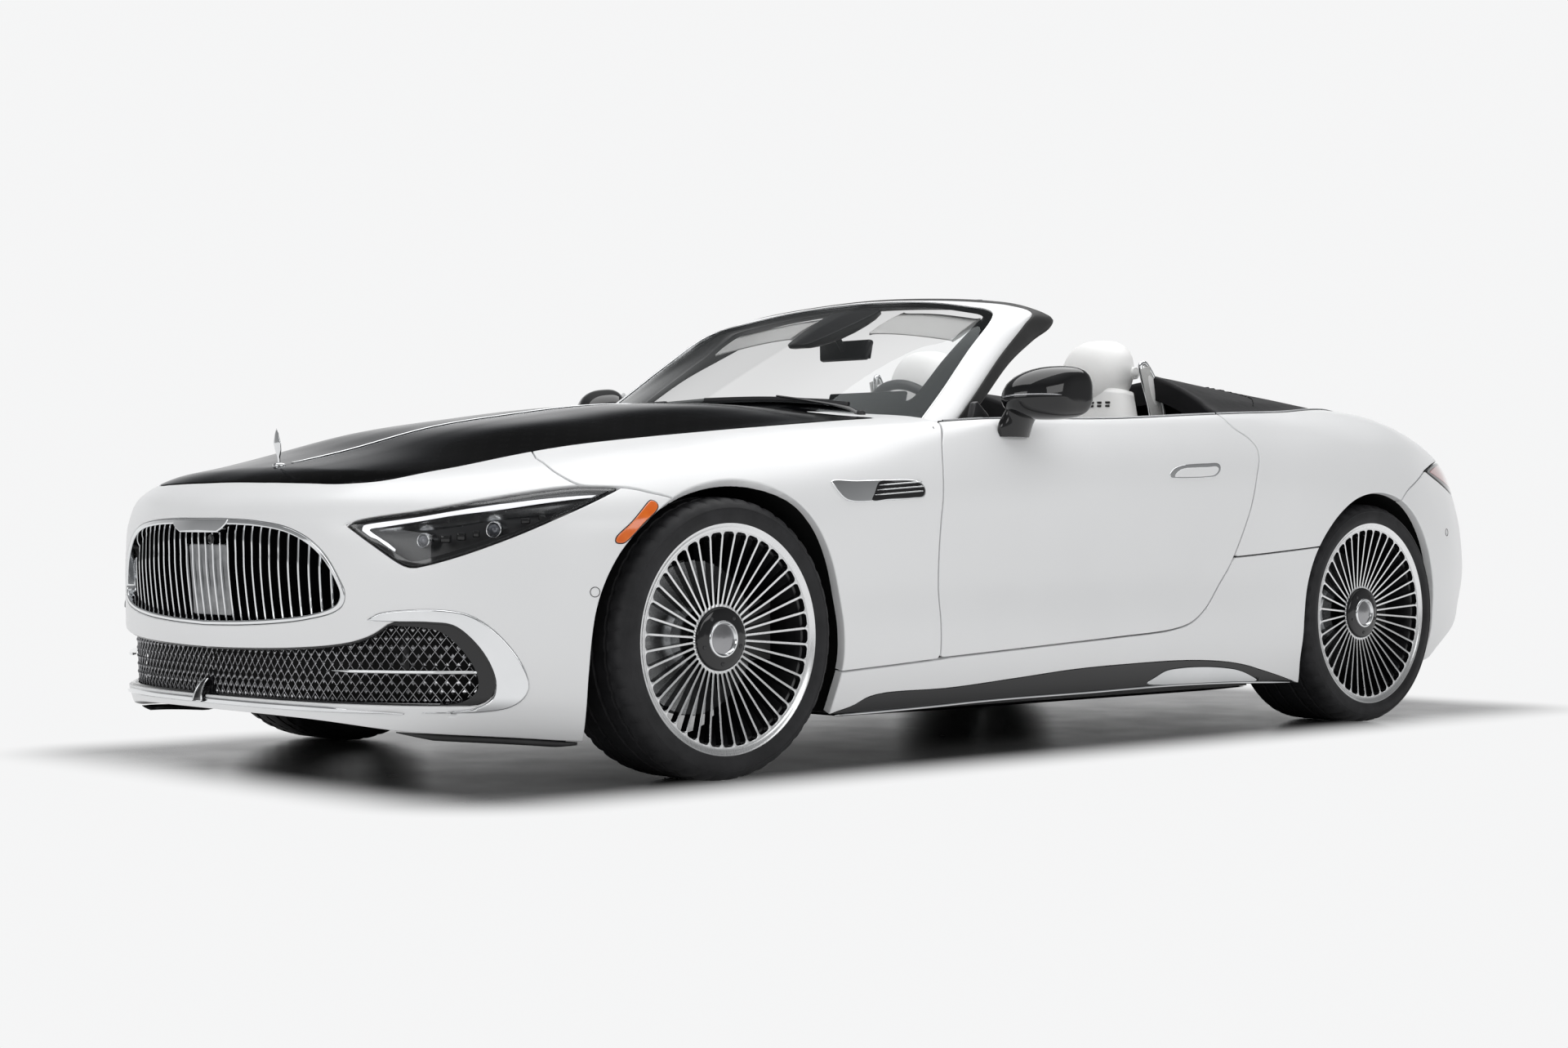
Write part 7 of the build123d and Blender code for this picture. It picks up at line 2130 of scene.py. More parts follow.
# shut line of the flaps beside the cover
for sx in (1, -1):
    ln = catmull([(0.560, 0.895, 1.0), (0.586, 0.917, 1.0), (0.606, 0.967, 1.0), (0.66, 0.985, 1.0), (0.74, 0.905, 1.0), (0.790, 0.840, 1.0)], 10)
    iv = np.array([(abs(V[..., 0] - p[0]) + abs(V[..., 1] - p[1])).argmin() for p in ln])
    pz = V.reshape(-1, 3)[iv][:, 2] + 0.0002
    ln = np.stack([ln[:, 0] * sx, ln[:, 1], pz], 1)
    v, f = tube(ln, 0.0016, 6)
    make(f"tonneau_seam_{'left' if sx > 0 else 'right'}", v, f, M["liner"], "body", slot="black_plastic")

# dashboard: soft top, white lower half, bright line between, round vents, two blank screens
DR = [(0.0, -0.730, 0.925), (0.3, -0.694, 0.917), (0.56, -0.592, 0.893), (0.688, -0.544, 0.874)]
xs = np.linspace(0, 0.688, 36)
fy = Spline([r[0] for r in DR], [r[1] for r in DR])(xs)
fz = Spline([r[0] for r in DR], [r[2] for r in DR])(xs)
top, low = [], []
for x, a, b in zip(xs, fy, fz):
    e = 0.012 * math.exp(-((x - 0.38) / 0.17) ** 4)
    k = np.clip((x - 0.60) / 0.088, 0, 1) ** 2
    top.append([(x, a, b - 0.06), (x, a, b - 0.008), (x, a + 0.012, b), (x, (a - 0.36) / 2, (b + 0.895) / 2 + 0.004 + e), (x, -0.385 - 0.02 * k, 0.893 + e), (x, -0.350 - 0.03 * k, 0.884 + e), (x, -0.333 - 0.04 * k, 0.866), (x, -0.337 - 0.04 * k, 0.842), (x, -0.345 - 0.04 * k, 0.834)])
    low.append([(x, -0.347 - 0.04 * k, 0.836), (x, -0.338 - 0.04 * k, 0.824), (x, -0.330 - 0.04 * k, 0.79), (x, -0.340 - 0.04 * k, 0.735), (x, -0.385 - 0.03 * k, 0.675), (x, -0.440, 0.643), (x, -0.56, 0.643), (x, min(a + 0.03, -0.56), 0.66)])
T_, L_ = np.array(top), np.array(low)
tv, tf = T_.reshape(-1, 3), grid_faces(len(xs), T_.shape[1]).tolist()
lv, lf = L_.reshape(-1, 3), grid_faces(len(xs), L_.shape[1]).tolist()
end_t = [(len(xs) - 1) * T_.shape[1] + i for i in range(T_.shape[1])]
end_l = [(len(xs) - 1) * L_.shape[1] + i for i in range(L_.shape[1])]


def up_faces(v, f, way=2):
    """A sheet turned so that most of it looks up (or back)."""
    v = np.asarray(v, float)
    s = 0.0
    for q in f:
        s += np.cross(v[q[1]] - v[q[0]], v[q[2]] - v[q[0]])[way]
    return (v, f) if s > 0 else (v, [list(q)[::-1] for q in f])


tv, tf = up_faces(tv, tf)
lv, lf = up_faces(lv, lf, 1)
ob = make("dashboard_look", *join((tv, tf + [end_t]), mirrored(tv, tf + [end_t])), M["dark_leather"], "body", replaces=["dashboard"], slot="dark_leather")
subsurf(ob, 1)
ob = make("dashboard_lower", *join((lv, lf + [end_l]), mirrored(lv, lf + [end_l])), M["leather"], "body", slot="leather")
subsurf(ob, 1)
p = np.array([(x, t_[7][1] + 0.003, 0.8375) for x, t_ in zip(xs, top)])
v, f = tube(p, 0.0032, 8)
make("dashboard_strip", *join((v, f), mirrored(v, f)), M["chrome"], "body", slot="chrome")
parts, dark = [], []
for cx_ in (0.085, 0.245 - 0.09, 0.600):
    v, f = revolve([(-0.010, 0.026), (0.004, 0.029), (0.008, 0.032), (0.009, 0.034), (0.006, 0.036), (-0.006, 0.037)], (0, 0, 0), 28)
    yo = -0.334 if cx_ < 0.5 else -0.350
    v = np.stack([v[:, 1] + cx_, v[:, 0] + yo, v[:, 2] + 0.790], 1)
    parts += [(v, f), mirrored(v, f)]
    v, f = revolve([(0.000, 0.026), (-0.006, 0.012), (0.004, 0.007), (0.006, 0.0005)], (0, 0, 0), 20)
    v = np.stack([v[:, 1] + cx_, v[:, 0] + yo, v[:, 2] + 0.790], 1)
    dark += [(v, f), mirrored(v, f)]
    for k in range(8):
        a = 2 * math.pi * k / 8
        v, f = rounded_box(0.008, 0.027, -0.002, 0.002, -0.0012, 0.0012, 0.0005)
        R = np.array(Matrix.Rotation(a, 3, "Y"))
        v = v @ R.T + [cx_, yo + 0.002, 0.790]
        dark += [(v, f), mirrored(v, f)]
make("vent_rings", *join(*parts), M["chrome"], "body", slot="chrome", sharp=50)
make("vent_cores", *join(*dark), M["satin"], "body", slot="black_plastic", sharp=40)
v, f = rounded_box(-0.155, 0.155, -0.008, 0.008, -0.056, 0.056, 0.006)
R = np.array(Matrix.Rotation(math.radians(-16), 3, "X"))
make("driver_screen", v @ R.T + [0.38, -0.437, 0.950], f, M["gloss"], "body", slot="black_gloss", sharp=40)
v, f = sausage(L3([(0.24, -0.450, 0.900), (0.31, -0.455, 0.902), (0.45, -0.455, 0.902), (0.52, -0.450, 0.900)]), 0.022, 0.014, (0, 0, 1))
make("driver_screen_foot", *outward_faces(v, f), M["dark_leather"], "body", slot="dark_leather")
v, f = rounded_box(-0.106, 0.106, -0.008, 0.008, -0.128, 0.128, 0.008)
R = np.array(Matrix.Rotation(math.radians(-34), 3, "X"))
make("centre_screen", v @ R.T + [0, -0.262, 0.655], f, M["gloss"], "body", slot="black_gloss", sharp=40)
# steering column shroud
v, f = sausage(L3([(0.38, -0.42, 0.797), (0.38, -0.36, 0.822), (0.38, -0.300, 0.846)]), 0.040, 0.034, (0, -0.37, 0.93), 3.0)
make("column_shroud", *outward_faces(v, f), M["satin"], "body", slot="black_plastic")

# console between the seats
parts = [outward_faces(*sausage(L3([(0, -0.28, 0.50), (0, -0.05, 0.47), (0, 0.25, 0.465), (0, 0.67, 0.465)]), 0.112, np.interp(np.linspace(0, 1, 19), [0, 0.25, 1], [0.095, 0.072, 0.072]), (0, 0, 1), 5.5))]
make("centre_console_look", *join(*parts), M["leather"], "body", replaces=["centre_console"], slot="leather")
v, f = rounded_box(-0.078, 0.078, -0.135, 0.265, 0.530, 0.546, 0.006)
make("console_panel", v, f, M["gloss"], "body", slot="black_gloss", sharp=40)
v, f = rounded_box(-0.083, 0.083, -0.140, 0.270, 0.527, 0.537, 0.004)
make("console_edge", v, f, M["chrome"], "body", slot="chrome", sharp=40)
v, f = outward_faces(*sausage(L3([(0, 0.30, 0.556), (0, 0.45, 0.560), (0, 0.63, 0.556)]), 0.084, 0.022, (0, 0, 1), 3.5))
v, f = stuffed(v, f, 0.008, 0.006)
ob = make("armrest", v, f, M["dark_leather"], "body", slot="dark_leather")
parts = []
for cy_ in (0.075, 0.185):
    v, f = revolve([(0.0, 0.036), (0.006, 0.037), (0.008, 0.040), (0.006, 0.043), (0.0, 0.0435)], (0, 0, 0), 40)
    parts.append((np.stack([v[:, 2], v[:, 1] + cy_, v[:, 0] + 0.544], 1), f))
make("cup_rings", *join(*parts), M["chrome"], "body", slot="chrome", sharp=50)

# steering wheel
tilt = math.radians(22)
ex, ez = np.array([1.0, 0, 0]), np.array([0, -math.sin(tilt), math.cos(tilt)])
ey = np.array([0, math.cos(tilt), math.sin(tilt)])


def sw(v):
    v = np.asarray(v, float)
    return np.array([0.38, -0.24, 0.87]) + v[:, :1] * ex + v[:, 1:2] * ey + v[:, 2:] * ez


a = np.linspace(0, 2 * np.pi, 120, endpoint=False)
R_ = 0.174 - 0.016 * np.exp(-((np.abs((a + math.pi / 2 + math.pi) % (2 * math.pi) - math.pi)) / 0.36) ** 4)
p = np.stack([R_ * np.cos(a), 0 * a, R_ * np.sin(a)], 1)
v, f = tube(p, 0.0148 + 0.0012 * (np.abs(np.cos(a)) > 0.8), 16, closed=True, up=(0, 1, 0))
make("steering_wheel_look", *outward_faces(sw(v), f), M["dark_leather"], "steering_wheel", replaces=["steering_wheel"], slot="dark_leather")
hub_v, hub_f = outward_faces(*sausage(L3([(-0.058, 0.012, 0.0), (0, 0.014, 0.004), (0.058, 0.012, 0.0)]), 0.020, 0.046, (0, 0, 1), 2.6))
make("wheel_pad", sw(hub_v), hub_f, M["leather"], "steering_wheel", slot="leather")
parts = []
for s in (1, -1):
    for dz in (0.019, -0.019):
        p = L3([(s * 0.05, 0.008, dz * 0.7), (s * 0.10, 0.004, dz), (s * 0.162, 0.0, dz * 0.75)])
        v, f = tube(p, 0.0085, 12, squash=0.7, up=(0, 1, 0))
        parts.append(outward_faces(sw(v), f))
    p = L3([(s * 0.020, 0.006, -0.040), (s * 0.026, 0.003, -0.09), (s * 0.030, 0.0, -0.152)])
    v, f = tube(p, 0.0080, 12, squash=0.7, up=(0, 1, 0))
    parts.append(outward_faces(sw(v), f))
make("wheel_spokes", *join(*parts), M["silver"], "steering_wheel", slot="wheel_metal")
v, f = outward_faces(*tube(np.array([(0, -0.046, 0), (0, -0.020, 0), (0, 0.0, 0)]), [0.030, 0.034, 0.044], 24, up=(0, 0, 1)))
make("wheel_boss", sw(v), f, M["satin"], "steering_wheel", slot="black_plastic", sharp=40)

# door trims: white panels with a dark roll on top, an armrest, a bright pull and a speaker
TRIM_Z = Spline([-0.655, 0.25, 0.395, 0.49, 0.56, 0.60], [0.330, 0.372, 0.432, 0.540, 0.670, 0.80])
TRIM_POLY = np.array([(-0.645, 0.896), (-0.648, 0.336), (0.250, 0.378), (0.392, 0.438), (0.486, 0.545), (0.553, 0.675), (0.582, 0.782), (0.590, 0.896)])


def trim_x(P):
    y, z = P[:, 1], P[:, 2]
    xs_ = surf(y, np.clip(z, 0.34, 0.885))[:, 0]
    rest = 0.034 * np.exp(-((z - 0.655 + 0.02 * y) / 0.036) ** 4) * np.clip((y + 0.56) / 0.16, 0, 1) * np.clip((0.50 - y) / 0.12, 0, 1)
    pocket = -0.012 * np.exp(-((z - 0.47) / 0.06) ** 4) * np.exp(-((y + 0.18) / 0.30) ** 4)
    roll = -0.016 * np.clip((z - 0.868) / 0.030, 0, 1) ** 2
    return xs_ - 0.062 - rest - pocket - roll


def trim_snap(P):
    return np.stack([trim_x(P), P[:, 1], P[:, 2]], 1)


def trim_norm(P):
    e = 1e-3
    dy = (trim_x(P + [0, e, 0]) - trim_x(P - [0, e, 0])) / (2 * e)
    dz = (trim_x(P + [0, 0, e]) - trim_x(P - [0, 0, e])) / (2 * e)
    n = np.stack([-np.ones(len(P)), dy, dz], 1)
    return n / np.linalg.norm(n, axis=1)[:, None]


def trim_sheet(field):
    yy_, zz_ = np.meshgrid(np.linspace(-0.66, 0.60, 92), np.linspace(0.32, 0.91, 56), indexing="ij")
    P = np.stack([0 * yy_, yy_, zz_], -1).reshape(-1, 3)
    q = grid_faces(92, 56)
    T = np.vstack([q[:, [0, 2, 1]], q[:, [0, 3, 2]]])
    return trim(P, T, field, snap_fn=trim_snap, normal_fn=trim_norm)


in_trim = lambda P: -poly_dist(P[:, 1:], TRIM_POLY) * -1
S = trim_sheet([(lambda P: poly_dist(P[:, 1:], TRIM_POLY), 0.0, 0.006), (lambda P: 0.812 - P[:, 2], 0.0005, 0.002)])
pair_of("door_trim", *skin_mesh(S, 0.036), M["leather"], DOORS, slot="leather")
S = trim_sheet([(lambda P: poly_dist(P[:, 1:], TRIM_POLY), 0.0, 0.010), (lambda P: P[:, 2] - 0.812, 0.0005, 0.002)])
pair_of("door_trim_top", *skin_mesh(S, 0.036), M["dark_leather"], DOORS, nodes=False, slot="dark_leather")
yy_ = np.linspace(-0.62, 0.57, 60)
p = trim_snap(np.stack([0 * yy_, yy_, 0 * yy_ + 0.812], 1)) + [-0.001, 0, 0]
v, f = tube(p, 0.0026, 8)
pair_of("door_trim_strip", v, f, np.zeros_like(v) + [0, 0, 1], M["chrome"], DOORS, nodes=False, slot="chrome")
p = catmull([(0.738, 0.10, 0.700), (0.722, 0.13, 0.715), (0.716, 0.20, 0.722), (0.722, 0.27, 0.715), (0.738, 0.30, 0.700)], 8)
v, f = tube(p, 0.0065, 10)
pair_of("door_pull", v, f, np.zeros_like(v) + [0, 0, 1], M["chrome"], DOORS, nodes=False, slot="chrome")
parts = []
for r_ in np.arange(0.008, 0.074, 0.008):
    a = np.linspace(0, 2 * np.pi, 40, endpoint=False)
    q = trim_snap(np.stack([0 * a, -0.50 + r_ * np.cos(a), 0.47 + r_ * np.sin(a)], 1)) + [-0.0008, 0, 0]
    v, f = tube(q, 0.0016, 6, closed=True, up=(1, 0, 0))
    parts.append((v, f))
v, f = join(*parts)
pair_of("door_speaker", v, f, np.zeros_like(v) + [0, 0, 1], M["dark_chrome"], DOORS, nodes=False, slot="dark_metal")
for nm in ("door_trim_strip", "door_pull", "door_speaker"):
    for o in ("left", "right"):
        d_ = bpy.data.objects[f"{nm}_{o}_look"].data
        d_.normals_split_custom_set([(0, 0, 0)] * len(d_.loops))

# ------------------------------------------------------------------ wheelhouses, underside, boot, engine cover
def house(line, x_out, x_in, name):
    """The dark lining over one wheel, with its inner wall."""
    line = np.asarray(line, float)
    c = line.mean(0)
    keep = line[:, 1] > 0.11
    line = line[keep]
    n = np.gradient(line, axis=0)
    n = np.stack([-n[:, 1], n[:, 0]], 1)
    n /= np.linalg.norm(n, axis=1)[:, None]
    if np.sum(n * (line - c)) < 0:
        n = -n
    out = line + n * 0.016
    cols = []
    for x in (*x_out, *np.linspace(x_out[-1] - 0.03, x_in + 0.02, 6)):
        ripple = 0.003 * math.sin(x * 150)
        cols.append(np.stack([np.full(len(out), x), out[:, 0] + n[:, 0] * ripple, out[:, 1] + n[:, 1] * ripple], 1))
    cols.append(np.stack([np.full(len(out), x_in), out[:, 0] - n[:, 0] * 0.012, out[:, 1] - n[:, 1] * 0.012], 1))
    V = np.array(cols)
    m_ = V.shape[1]
    f = grid_faces(len(V), m_).tolist()
    inner = [(len(V) - 1) * m_ + i for i in range(m_)]
    v = V.reshape(-1, 3)
    # inner wall as a fan of strips down to its lower edge
    base = V[-1].copy()
    cy = base[:, 1].mean()
    rows = [base]
    for k in (0.7, 0.4, 0.12):
        rows.append(np.stack([np.full(m_, x_in), cy + (base[:, 1] - cy) * k, 0.16 + (base[:, 2] - 0.16) * k], 1))
    W = np.array(rows)
    wf = grid_faces(len(W), m_).tolist()
    v2, f2 = join((v, f), (W.reshape(-1, 3), wf))
    return v2, f2


fl = house(ARCH_F[1:-1], (0.905, 0.86), 0.490, "front")
rl = house(ARCH_R[1:-1], (0.915, 0.87), 0.610, "rear")
# the lining stays inside the body's skin
for v, f in (fl, rl):
    rho = F(v[:, 0], v[:, 1], v[:, 2])
    bad = rho > -0.022
    for _ in range(14):
        v[bad, 0] -= 0.006
        bad = (F(v[:, 0], v[:, 1], v[:, 2]) > -0.022) & (v[:, 0] > 0.6)
make("front_wheelhouses", *join(fl, mirrored(*fl)), M["liner"], "body", slot="black_plastic")
make("rear_wheelhouses", *join(rl, mirrored(*rl)), M["liner"], "body", slot="black_plastic")


def tray(poly, z, name, mat="plastic", ribs=0.004):
    """A thin pressed panel from its outline in plan: x, y for the left half."""
    ys = np.linspace(poly[0][1], poly[-1][1], 34)
    xe = np.interp(ys, [p[1] for p in poly], [p[0] for p in poly])
    s = np.linspace(-1, 1, 25)
    V = np.stack([np.stack([s * x, np.full_like(s, y), np.full_like(s, z)], 1) for x, y in zip(xe, ys)])
    wave = ribs * (np.cos(s * 2 * np.pi * 4)[None, :] > 0.3) * (np.cos(ys * 2 * np.pi / 0.16)[:, None] > -0.6)
    edge = np.minimum.outer(np.minimum(np.arange(34), np.arange(34)[::-1]), np.minimum(np.arange(25), np.arange(25)[::-1])) < 2
    V[..., 2] += np.where(edge, 0.010, wave)
    v = V.reshape(-1, 3)
    f = grid_faces(34, 25).tolist()
    vb = v.copy()
    vb[:, 2] += 0.003
    v2, f2 = join((v, f), (vb, [list(q)[::-1] for q in f]))
    return make(name, v2, f2, M[mat], "body", slot="black_plastic", sharp=35)


tray([(0.30, -2.16), (0.52, -2.08), (0.66, -1.98), (0.72, -1.865)], 0.166, "front_undertray")
tray([(0.41, -1.86), (0.41, -0.96)], 0.128, "engine_undertray")
tray([(0.800, -0.94), (0.828, -0.60), (0.828, 0.55), (0.80, 0.79)], 0.118, "floor_undertray")
tray([(0.54, 1.76), (0.60, 1.90), (0.55, 2.04), (0.44, 2.13)], 0.160, "rear_undertray")

# trim along the inner sills, with plain bright kick plates
parts = [rounded_box(0.700, 0.826, -0.690, 0.480, 0.170, 0.292, 0.012)]
v, f = parts[0]
make("inner_sills", *join((v, f), mirrored(v, f)), M["plastic"], "body", slot="black_plastic", sharp=40)
v, f = rounded_box(0.765, 0.820, -0.50, 0.25, 0.2905, 0.2950, 0.002)
make("kick_plates", *join((v, f), mirrored(v, f)), M["silver"], "body", slot="chrome", sharp=40)

# engine cover: a ribbed black lid over the block
rows = []
for y in np.linspace(-1.545, -1.02, 40):
    k = np.clip(min(y + 1.545, -1.02 - y) / 0.03, 0, 1)
    r = []
    for x in np.linspace(-0.255, 0.255, 61):
        kx = np.clip((0.255 - abs(x)) / 0.03, 0, 1)
        rib = 0.006 * (abs((abs(x) % 0.05) - 0.025) < 0.009) * (0.05 < abs(x) < 0.22) * (abs(y + 1.28) < 0.20)
        r.append((x, y, 0.772 + (0.030 + 0.012 * math.cos(x * 6)) * min(k, kx) ** 0.5 + rib))
    rows.append(r)
V = np.array(rows)
v, f = up_faces(V.reshape(-1, 3), grid_faces(40, 61).tolist())
make("engine_cover", v, f, M["plastic"], "body", slot="black_plastic", sharp=50)
# dark panels beside the engine, the radiator's top cover
parts = []
for x0, x1, y0, y1, z0, z1 in ((-0.44, 0.44, -2.165, -2.10, 0.60, 0.640), (-0.44, 0.44, -2.10, -2.06, 0.42, 0.635)):
    parts.append(rounded_box(x0, x1, y0, y1, z0, z1, 0.008))
make("radiator_cover", *join(*parts), M["plastic"], "body", slot="black_plastic", sharp=40)

# rear apron: dark lower insert with fins, exhaust tips


def tail_y(x, z):
    """The surface's y at the tail, for a given x and height."""
    x, z = np.broadcast_arrays(np.asarray(x, float), np.asarray(z, float))
    lo, hi = np.full(x.shape, 1.75), np.full(x.shape, 2.42)
    for _ in range(24):
        m = (lo + hi) / 2
        out_ = F(x, m, z) > 0
        hi, lo = np.where(out_, m, hi), np.where(out_, lo, m)
    return (lo + hi) / 2


parts = []
for sx in (1, -1):
    n = 48
    a = np.linspace(0, 2 * np.pi, n, endpoint=False)
    cx_, cz_ = 0.400, 0.232
    ox = np.sign(np.cos(a)) * np.abs(np.cos(a)) ** 0.55 * 0.088
    oz = np.sign(np.sin(a)) * np.abs(np.sin(a)) ** 0.55 * 0.036
    sec = []
    for k, (dy, gr) in enumerate(((-0.060, 0.006), (-0.004, 0.004), (0.004, 0.0), (0.004, -0.004), (0.0, -0.007), (-0.09, -0.009))):
        px = cx_ + ox + np.sign(ox) * gr
        pz = cz_ + oz + np.sign(oz) * gr
        py = tail_y(np.abs(px), np.full(n, 0.25)) + dy - 0.004
        sec.append(np.stack([px * sx, py, pz], 1))
    V = np.array(sec)
    f = grid_faces(len(sec), n, close_m=True).tolist()
    parts.append((V.reshape(-1, 3), f if sx < 0 else [list(q)[::-1] for q in f]))
v, f = join(*parts)
make("exhaust_tips", v, f, M["chrome"], "body", slot="chrome", sharp=60)
S = trim(*side_sheet(2.14, T_TAIL, 80, -62, -20, 36), [(within(DIFF_POLY), -0.010, 0.0), (lambda P: P[:, 2] - 0.168, 0.0, 0.0)])
V, Fc, N = both_sides(*skin_mesh(S, 0.0, lift=-0.022, skip=centre))
skin_object("diffuser", V, Fc, N, M["satin"], "body", slot="black_plastic")
p = surf(DIFF_EDGE[:-8, 0], DIFF_EDGE[:-8, 1], 0.0005)
v, f = tube(p, 0.0042, 8)
make("diffuser_strip", *join((v, f), mirrored(v, f)), M["chrome"], "body", slot="chrome")
parts = []
for x in (-0.25, -0.15, -0.05, 0.05, 0.15, 0.25):
    yb = float(tail_y(abs(x), 0.22))
    parts.append(rounded_box(x - 0.0045, x + 0.0045, yb - 0.12, yb - 0.008, 0.170, 0.258, 0.003))
make("diffuser_fins", *join(*parts), M["gloss"], "body", slot="black_gloss", sharp=40)
# plate recess in the rear apron, with a blank plate
S = trim(*side_sheet(PLATE_T - 0.03, T_TAIL, 60, -8, 24, 40), [(within(PLATE_R), -0.010, 0.0)])
V, Fc, N = both_sides(*skin_mesh(S, 0.0, lift=-0.022, skip=centre))
skin_object("plate_recess", V, Fc, N, M["satin"], "body", slot="black_plastic")
yb = float(tail_y(0.0, 0.575))
rows = []
for x in np.linspace(-0.155, 0.155, 25):
    y_ = float(tail_y(abs(x), 0.575)) - 0.016
    rows.append([(x, y_ - 0.002, 0.533), (x, y_ + 0.0006, 0.5345), (x, y_ + 0.001, 0.575), (x, y_ + 0.0006, 0.6225), (x, y_ - 0.002, 0.624)])
v, f = up_faces(np.array(rows).reshape(-1, 3), grid_faces(25, 5).tolist(), 1)
make("blank_plate", v, f, M["webbing"], "body", slot="white_paint", smooth=False)

# finishes of the carried-over nodes
FINISH = {"floor_pan": "carpet", "front_bulkhead": "carpet", "rear_bulkhead": "carpet", "boot_floor": "carpet", "front_rails": "metal", "front_axle": "metal", "rear_axle": "metal", "engine_block": "metal", "exhaust": "metal", "side_sill": "white"}
for o in bpy.data.objects:
    for key, m in FINISH.items():
        if o.type == "MESH" and (o.name == key or o.name.startswith(key + ".")) and "look" not in o.name:
            o.data.materials.clear()
            o.data.materials.append(M[m])
    if o.type == "MESH" and o.name.startswith("knuckle_"):
        o.data.materials.clear()
        o.data.materials.append(M["metal"])

# ------------------------------------------------------------------ floor, light and camera
scene = bpy.context.scene


def floor_mat():
    """Pale floor: an even pale glow away from the car, and close to the car a dark lit ground, a painted shadow on
    which the car's real shadow also falls.
    """
    m, nt, p = nodes_of("studio_floor")
    c = add(nt, "ShaderNodeTexCoord").outputs["Object"]
    sep = add(nt, "ShaderNodeSeparateXYZ", {"Vector": c})
    d = []
    for k, half in ((0, 0.80), (1, 2.05)):
        a = add(nt, "ShaderNodeMath", {0: sep.outputs[k]}, operation="ABSOLUTE").outputs[0]
        a = add(nt, "ShaderNodeMath", {0: a, 1: half}, operation="SUBTRACT").outputs[0]
        a = add(nt, "ShaderNodeMath", {0: a, 1: 0.0}, operation="MAXIMUM").outputs[0]
        d.append(add(nt, "ShaderNodeMath", {0: a, 1: 2.0}, operation="POWER").outputs[0])
    r = add(nt, "ShaderNodeMath", {0: add(nt, "ShaderNodeMath", {0: d[0], 1: d[1]}).outputs[0]}, operation="SQRT").outputs[0]
    # painted shadow: near the car the floor is a lit ground of dark colour (0.17 to 0.20), fading to the even pale glow
    # 0.46 m out from a rectangle round the car
    far = add(nt, "ShaderNodeMapRange", {"Value": r, "From Min": 0.0, "From Max": 0.46, "To Min": 0.0, "To Max": 1.0}, interpolation_type="SMOOTHSTEP").outputs[0]
    nt.links.new(ramp(nt, noise(nt, 3), [(0.3, (0.17, 0.17, 0.17)), (0.7, (0.20, 0.20, 0.20))]), p.inputs["Base Color"])
    nt.links.new(spread(nt, noise(nt, 4), 0.20, 0.30), p.inputs["Roughness"])
    p.inputs["Specular IOR Level"].default_value = 0.40
    em = add(nt, "ShaderNodeEmission", {"Color": (0.915, 0.917, 0.92, 1), "Strength": 1.0})
    mix = add(nt, "ShaderNodeMixShader", {0: far, 1: p.outputs[0], 2: em.outputs[0]})
    nt.links.new(mix.outputs[0], nt.nodes["Material Output"].inputs["Surface"])
    return m


v, f = [(-40, -40, 0), (40, -40, 0), (40, 40, 0), (-40, 40, 0)], [(0, 1, 2, 3)]
floor = make("studio_floor", v, f, floor_mat(), None, smooth=False)

w = bpy.data.worlds.new("studio")
scene.world = w
w.use_nodes = True
nt = w.node_tree
bg = nt.nodes["Background"]
# bright towards the backdrop and straight up, dimmer elsewhere, so that bright and black finishes show their shape
gen = add(nt, "ShaderNodeTexCoord").outputs["Generated"]
way = add(nt, "ShaderNodeVectorMath", {0: gen, 1: (-0.711, 0.703, 0.0)}, operation="DOT_PRODUCT").outputs["Value"]
back = add(nt, "ShaderNodeMapRange", {"Value": way, "From Min": 0.30, "From Max": 0.70}, interpolation_type="SMOOTHSTEP").outputs[0]
upz = add(nt, "ShaderNodeSeparateXYZ", {"Vector": gen}).outputs[2]
high = ramp(nt, upz, [(0.0, (0.34, 0.343, 0.346)), (0.30, (0.24, 0.243, 0.246)), (0.55, (0.18, 0.182, 0.184)), (0.80, (0.34, 0.345, 0.35)), (1.0, (0.60, 0.605, 0.61))])
sky = add(nt, "ShaderNodeMix", {0: back, 6: high, 7: (0.915, 0.917, 0.920, 1)}, data_type="RGBA")
lowb = add(nt, "ShaderNodeMapRange", {"Value": upz, "From Min": 0.21, "From Max": 0.36}, interpolation_type="SMOOTHSTEP").outputs[0]
sky2 = add(nt, "ShaderNodeMix", {0: lowb, 6: sky.outputs[2], 7: high}, data_type="RGBA")
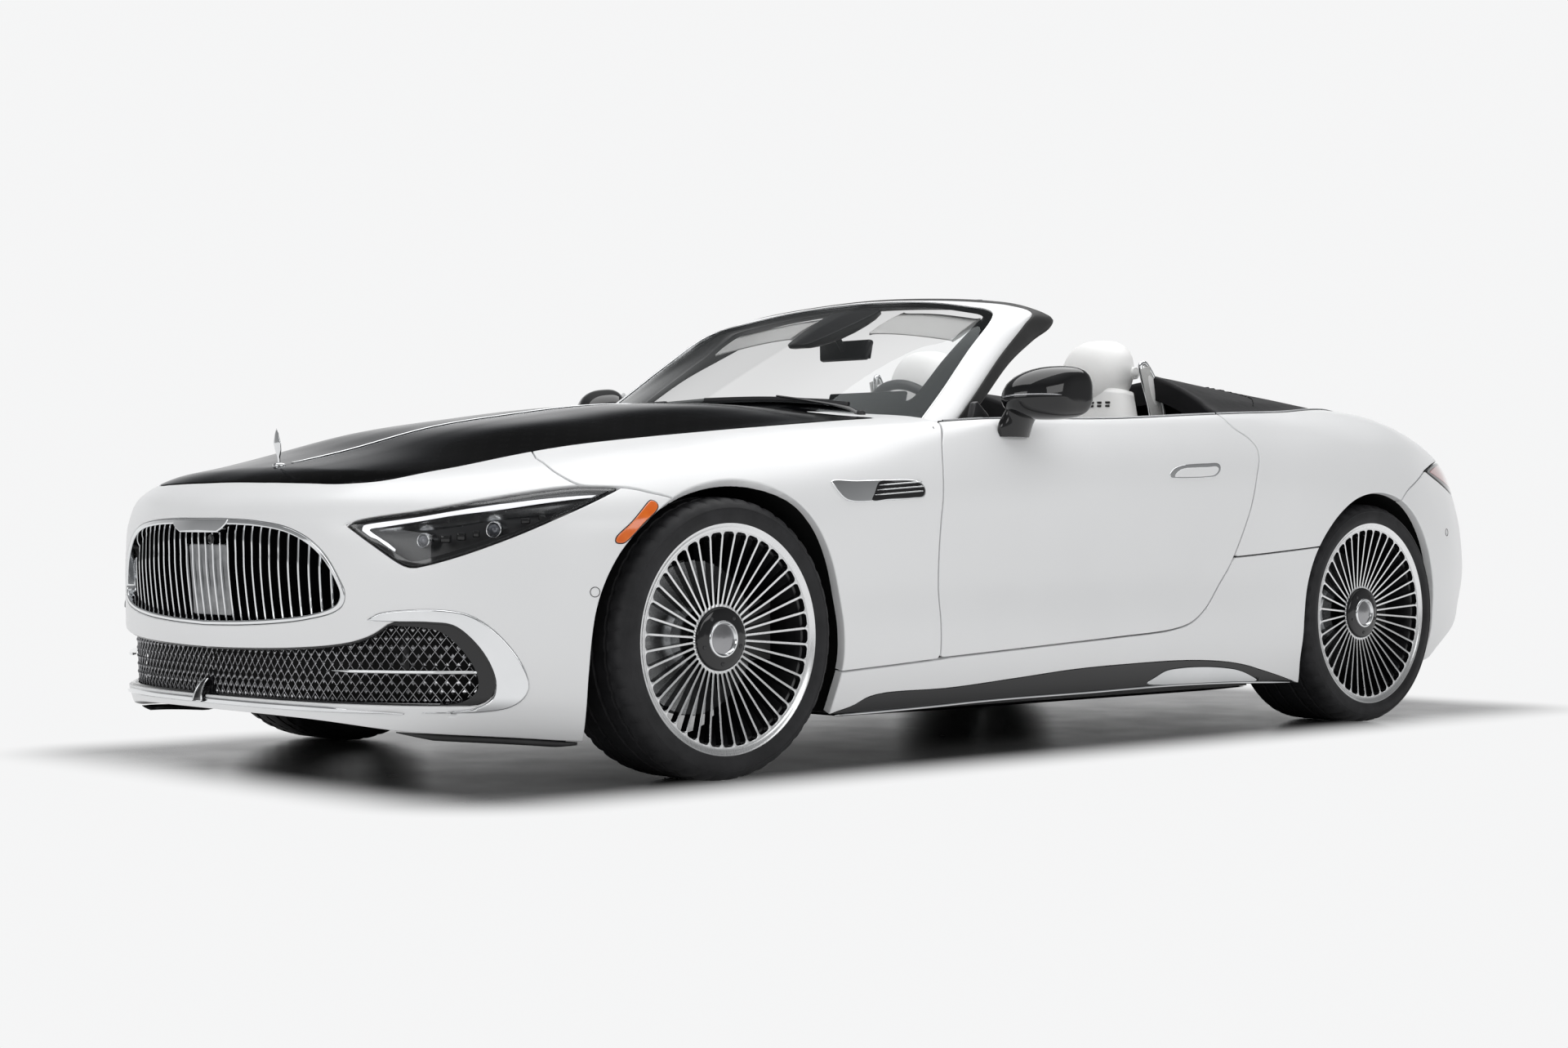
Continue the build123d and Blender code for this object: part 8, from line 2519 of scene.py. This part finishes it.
# what is seen straight past the car is the same pale colour as the far floor, all round
seen = add(nt, "ShaderNodeLightPath").outputs["Is Camera Ray"]
sky3 = add(nt, "ShaderNodeMix", {0: seen, 6: sky2.outputs[2], 7: (0.915, 0.917, 0.920, 1)}, data_type="RGBA")
nt.links.new(sky3.outputs[2], bg.inputs["Color"])
bg.inputs["Strength"].default_value = 1.0


def area(name, at, to, size, size_y, power, color=(1, 1, 1)):
    l = bpy.data.lights.new(name, "AREA")
    l.shape = "RECTANGLE"
    l.size, l.size_y = size, size_y
    l.energy = power
    l.color = color
    o = bpy.data.objects.new(name, l)
    o.location = at
    o.rotation_euler = (Vector(to) - Vector(at)).to_track_quat("-Z", "Y").to_euler()
    scene.collection.objects.link(o)
    return o


area("overhead", (0, 0, 4.2), (0, 0, 0), 3.8, 7.6, 208)
area("left_side", (5.5, -1.0, 2.4), (0.5, 0, 0.6), 5.0, 1.6, 52)
area("front", (1.0, -7.0, 2.2), (0, -1.5, 0.6), 3.6, 1.4, 42)

cam = bpy.data.cameras.new("camera")
cam.sensor_fit = "HORIZONTAL"
cam.sensor_width = 36.0
cam.lens = 3210.75 / 1920 * 36.0
cam.shift_x = (960 - 1080.626) / 1920
cam.shift_y = (651.823 - 641.5) / 1920
cam.clip_start, cam.clip_end = 0.05, 100
co = bpy.data.objects.new("camera", cam)
yaw, pitch, roll = 0.7910, -0.0068, 0.0021
fw = Vector((-math.sin(yaw) * math.cos(pitch), math.cos(yaw) * math.cos(pitch), math.sin(pitch)))
right = Vector((math.cos(yaw), math.sin(yaw), 0))
up = right.cross(fw)
r2 = right * math.cos(roll) + up * math.sin(roll)
u2 = -right * math.sin(roll) + up * math.cos(roll)
co.matrix_world = Matrix(((r2.x, u2.x, -fw.x, 5.75048845), (r2.y, u2.y, -fw.y, -5.67444398), (r2.z, u2.z, -fw.z, 0.65502467), (0, 0, 0, 1)))
scene.collection.objects.link(co)
scene.camera = co

scene.view_settings.view_transform = "Standard"
scene.view_settings.look = "None"
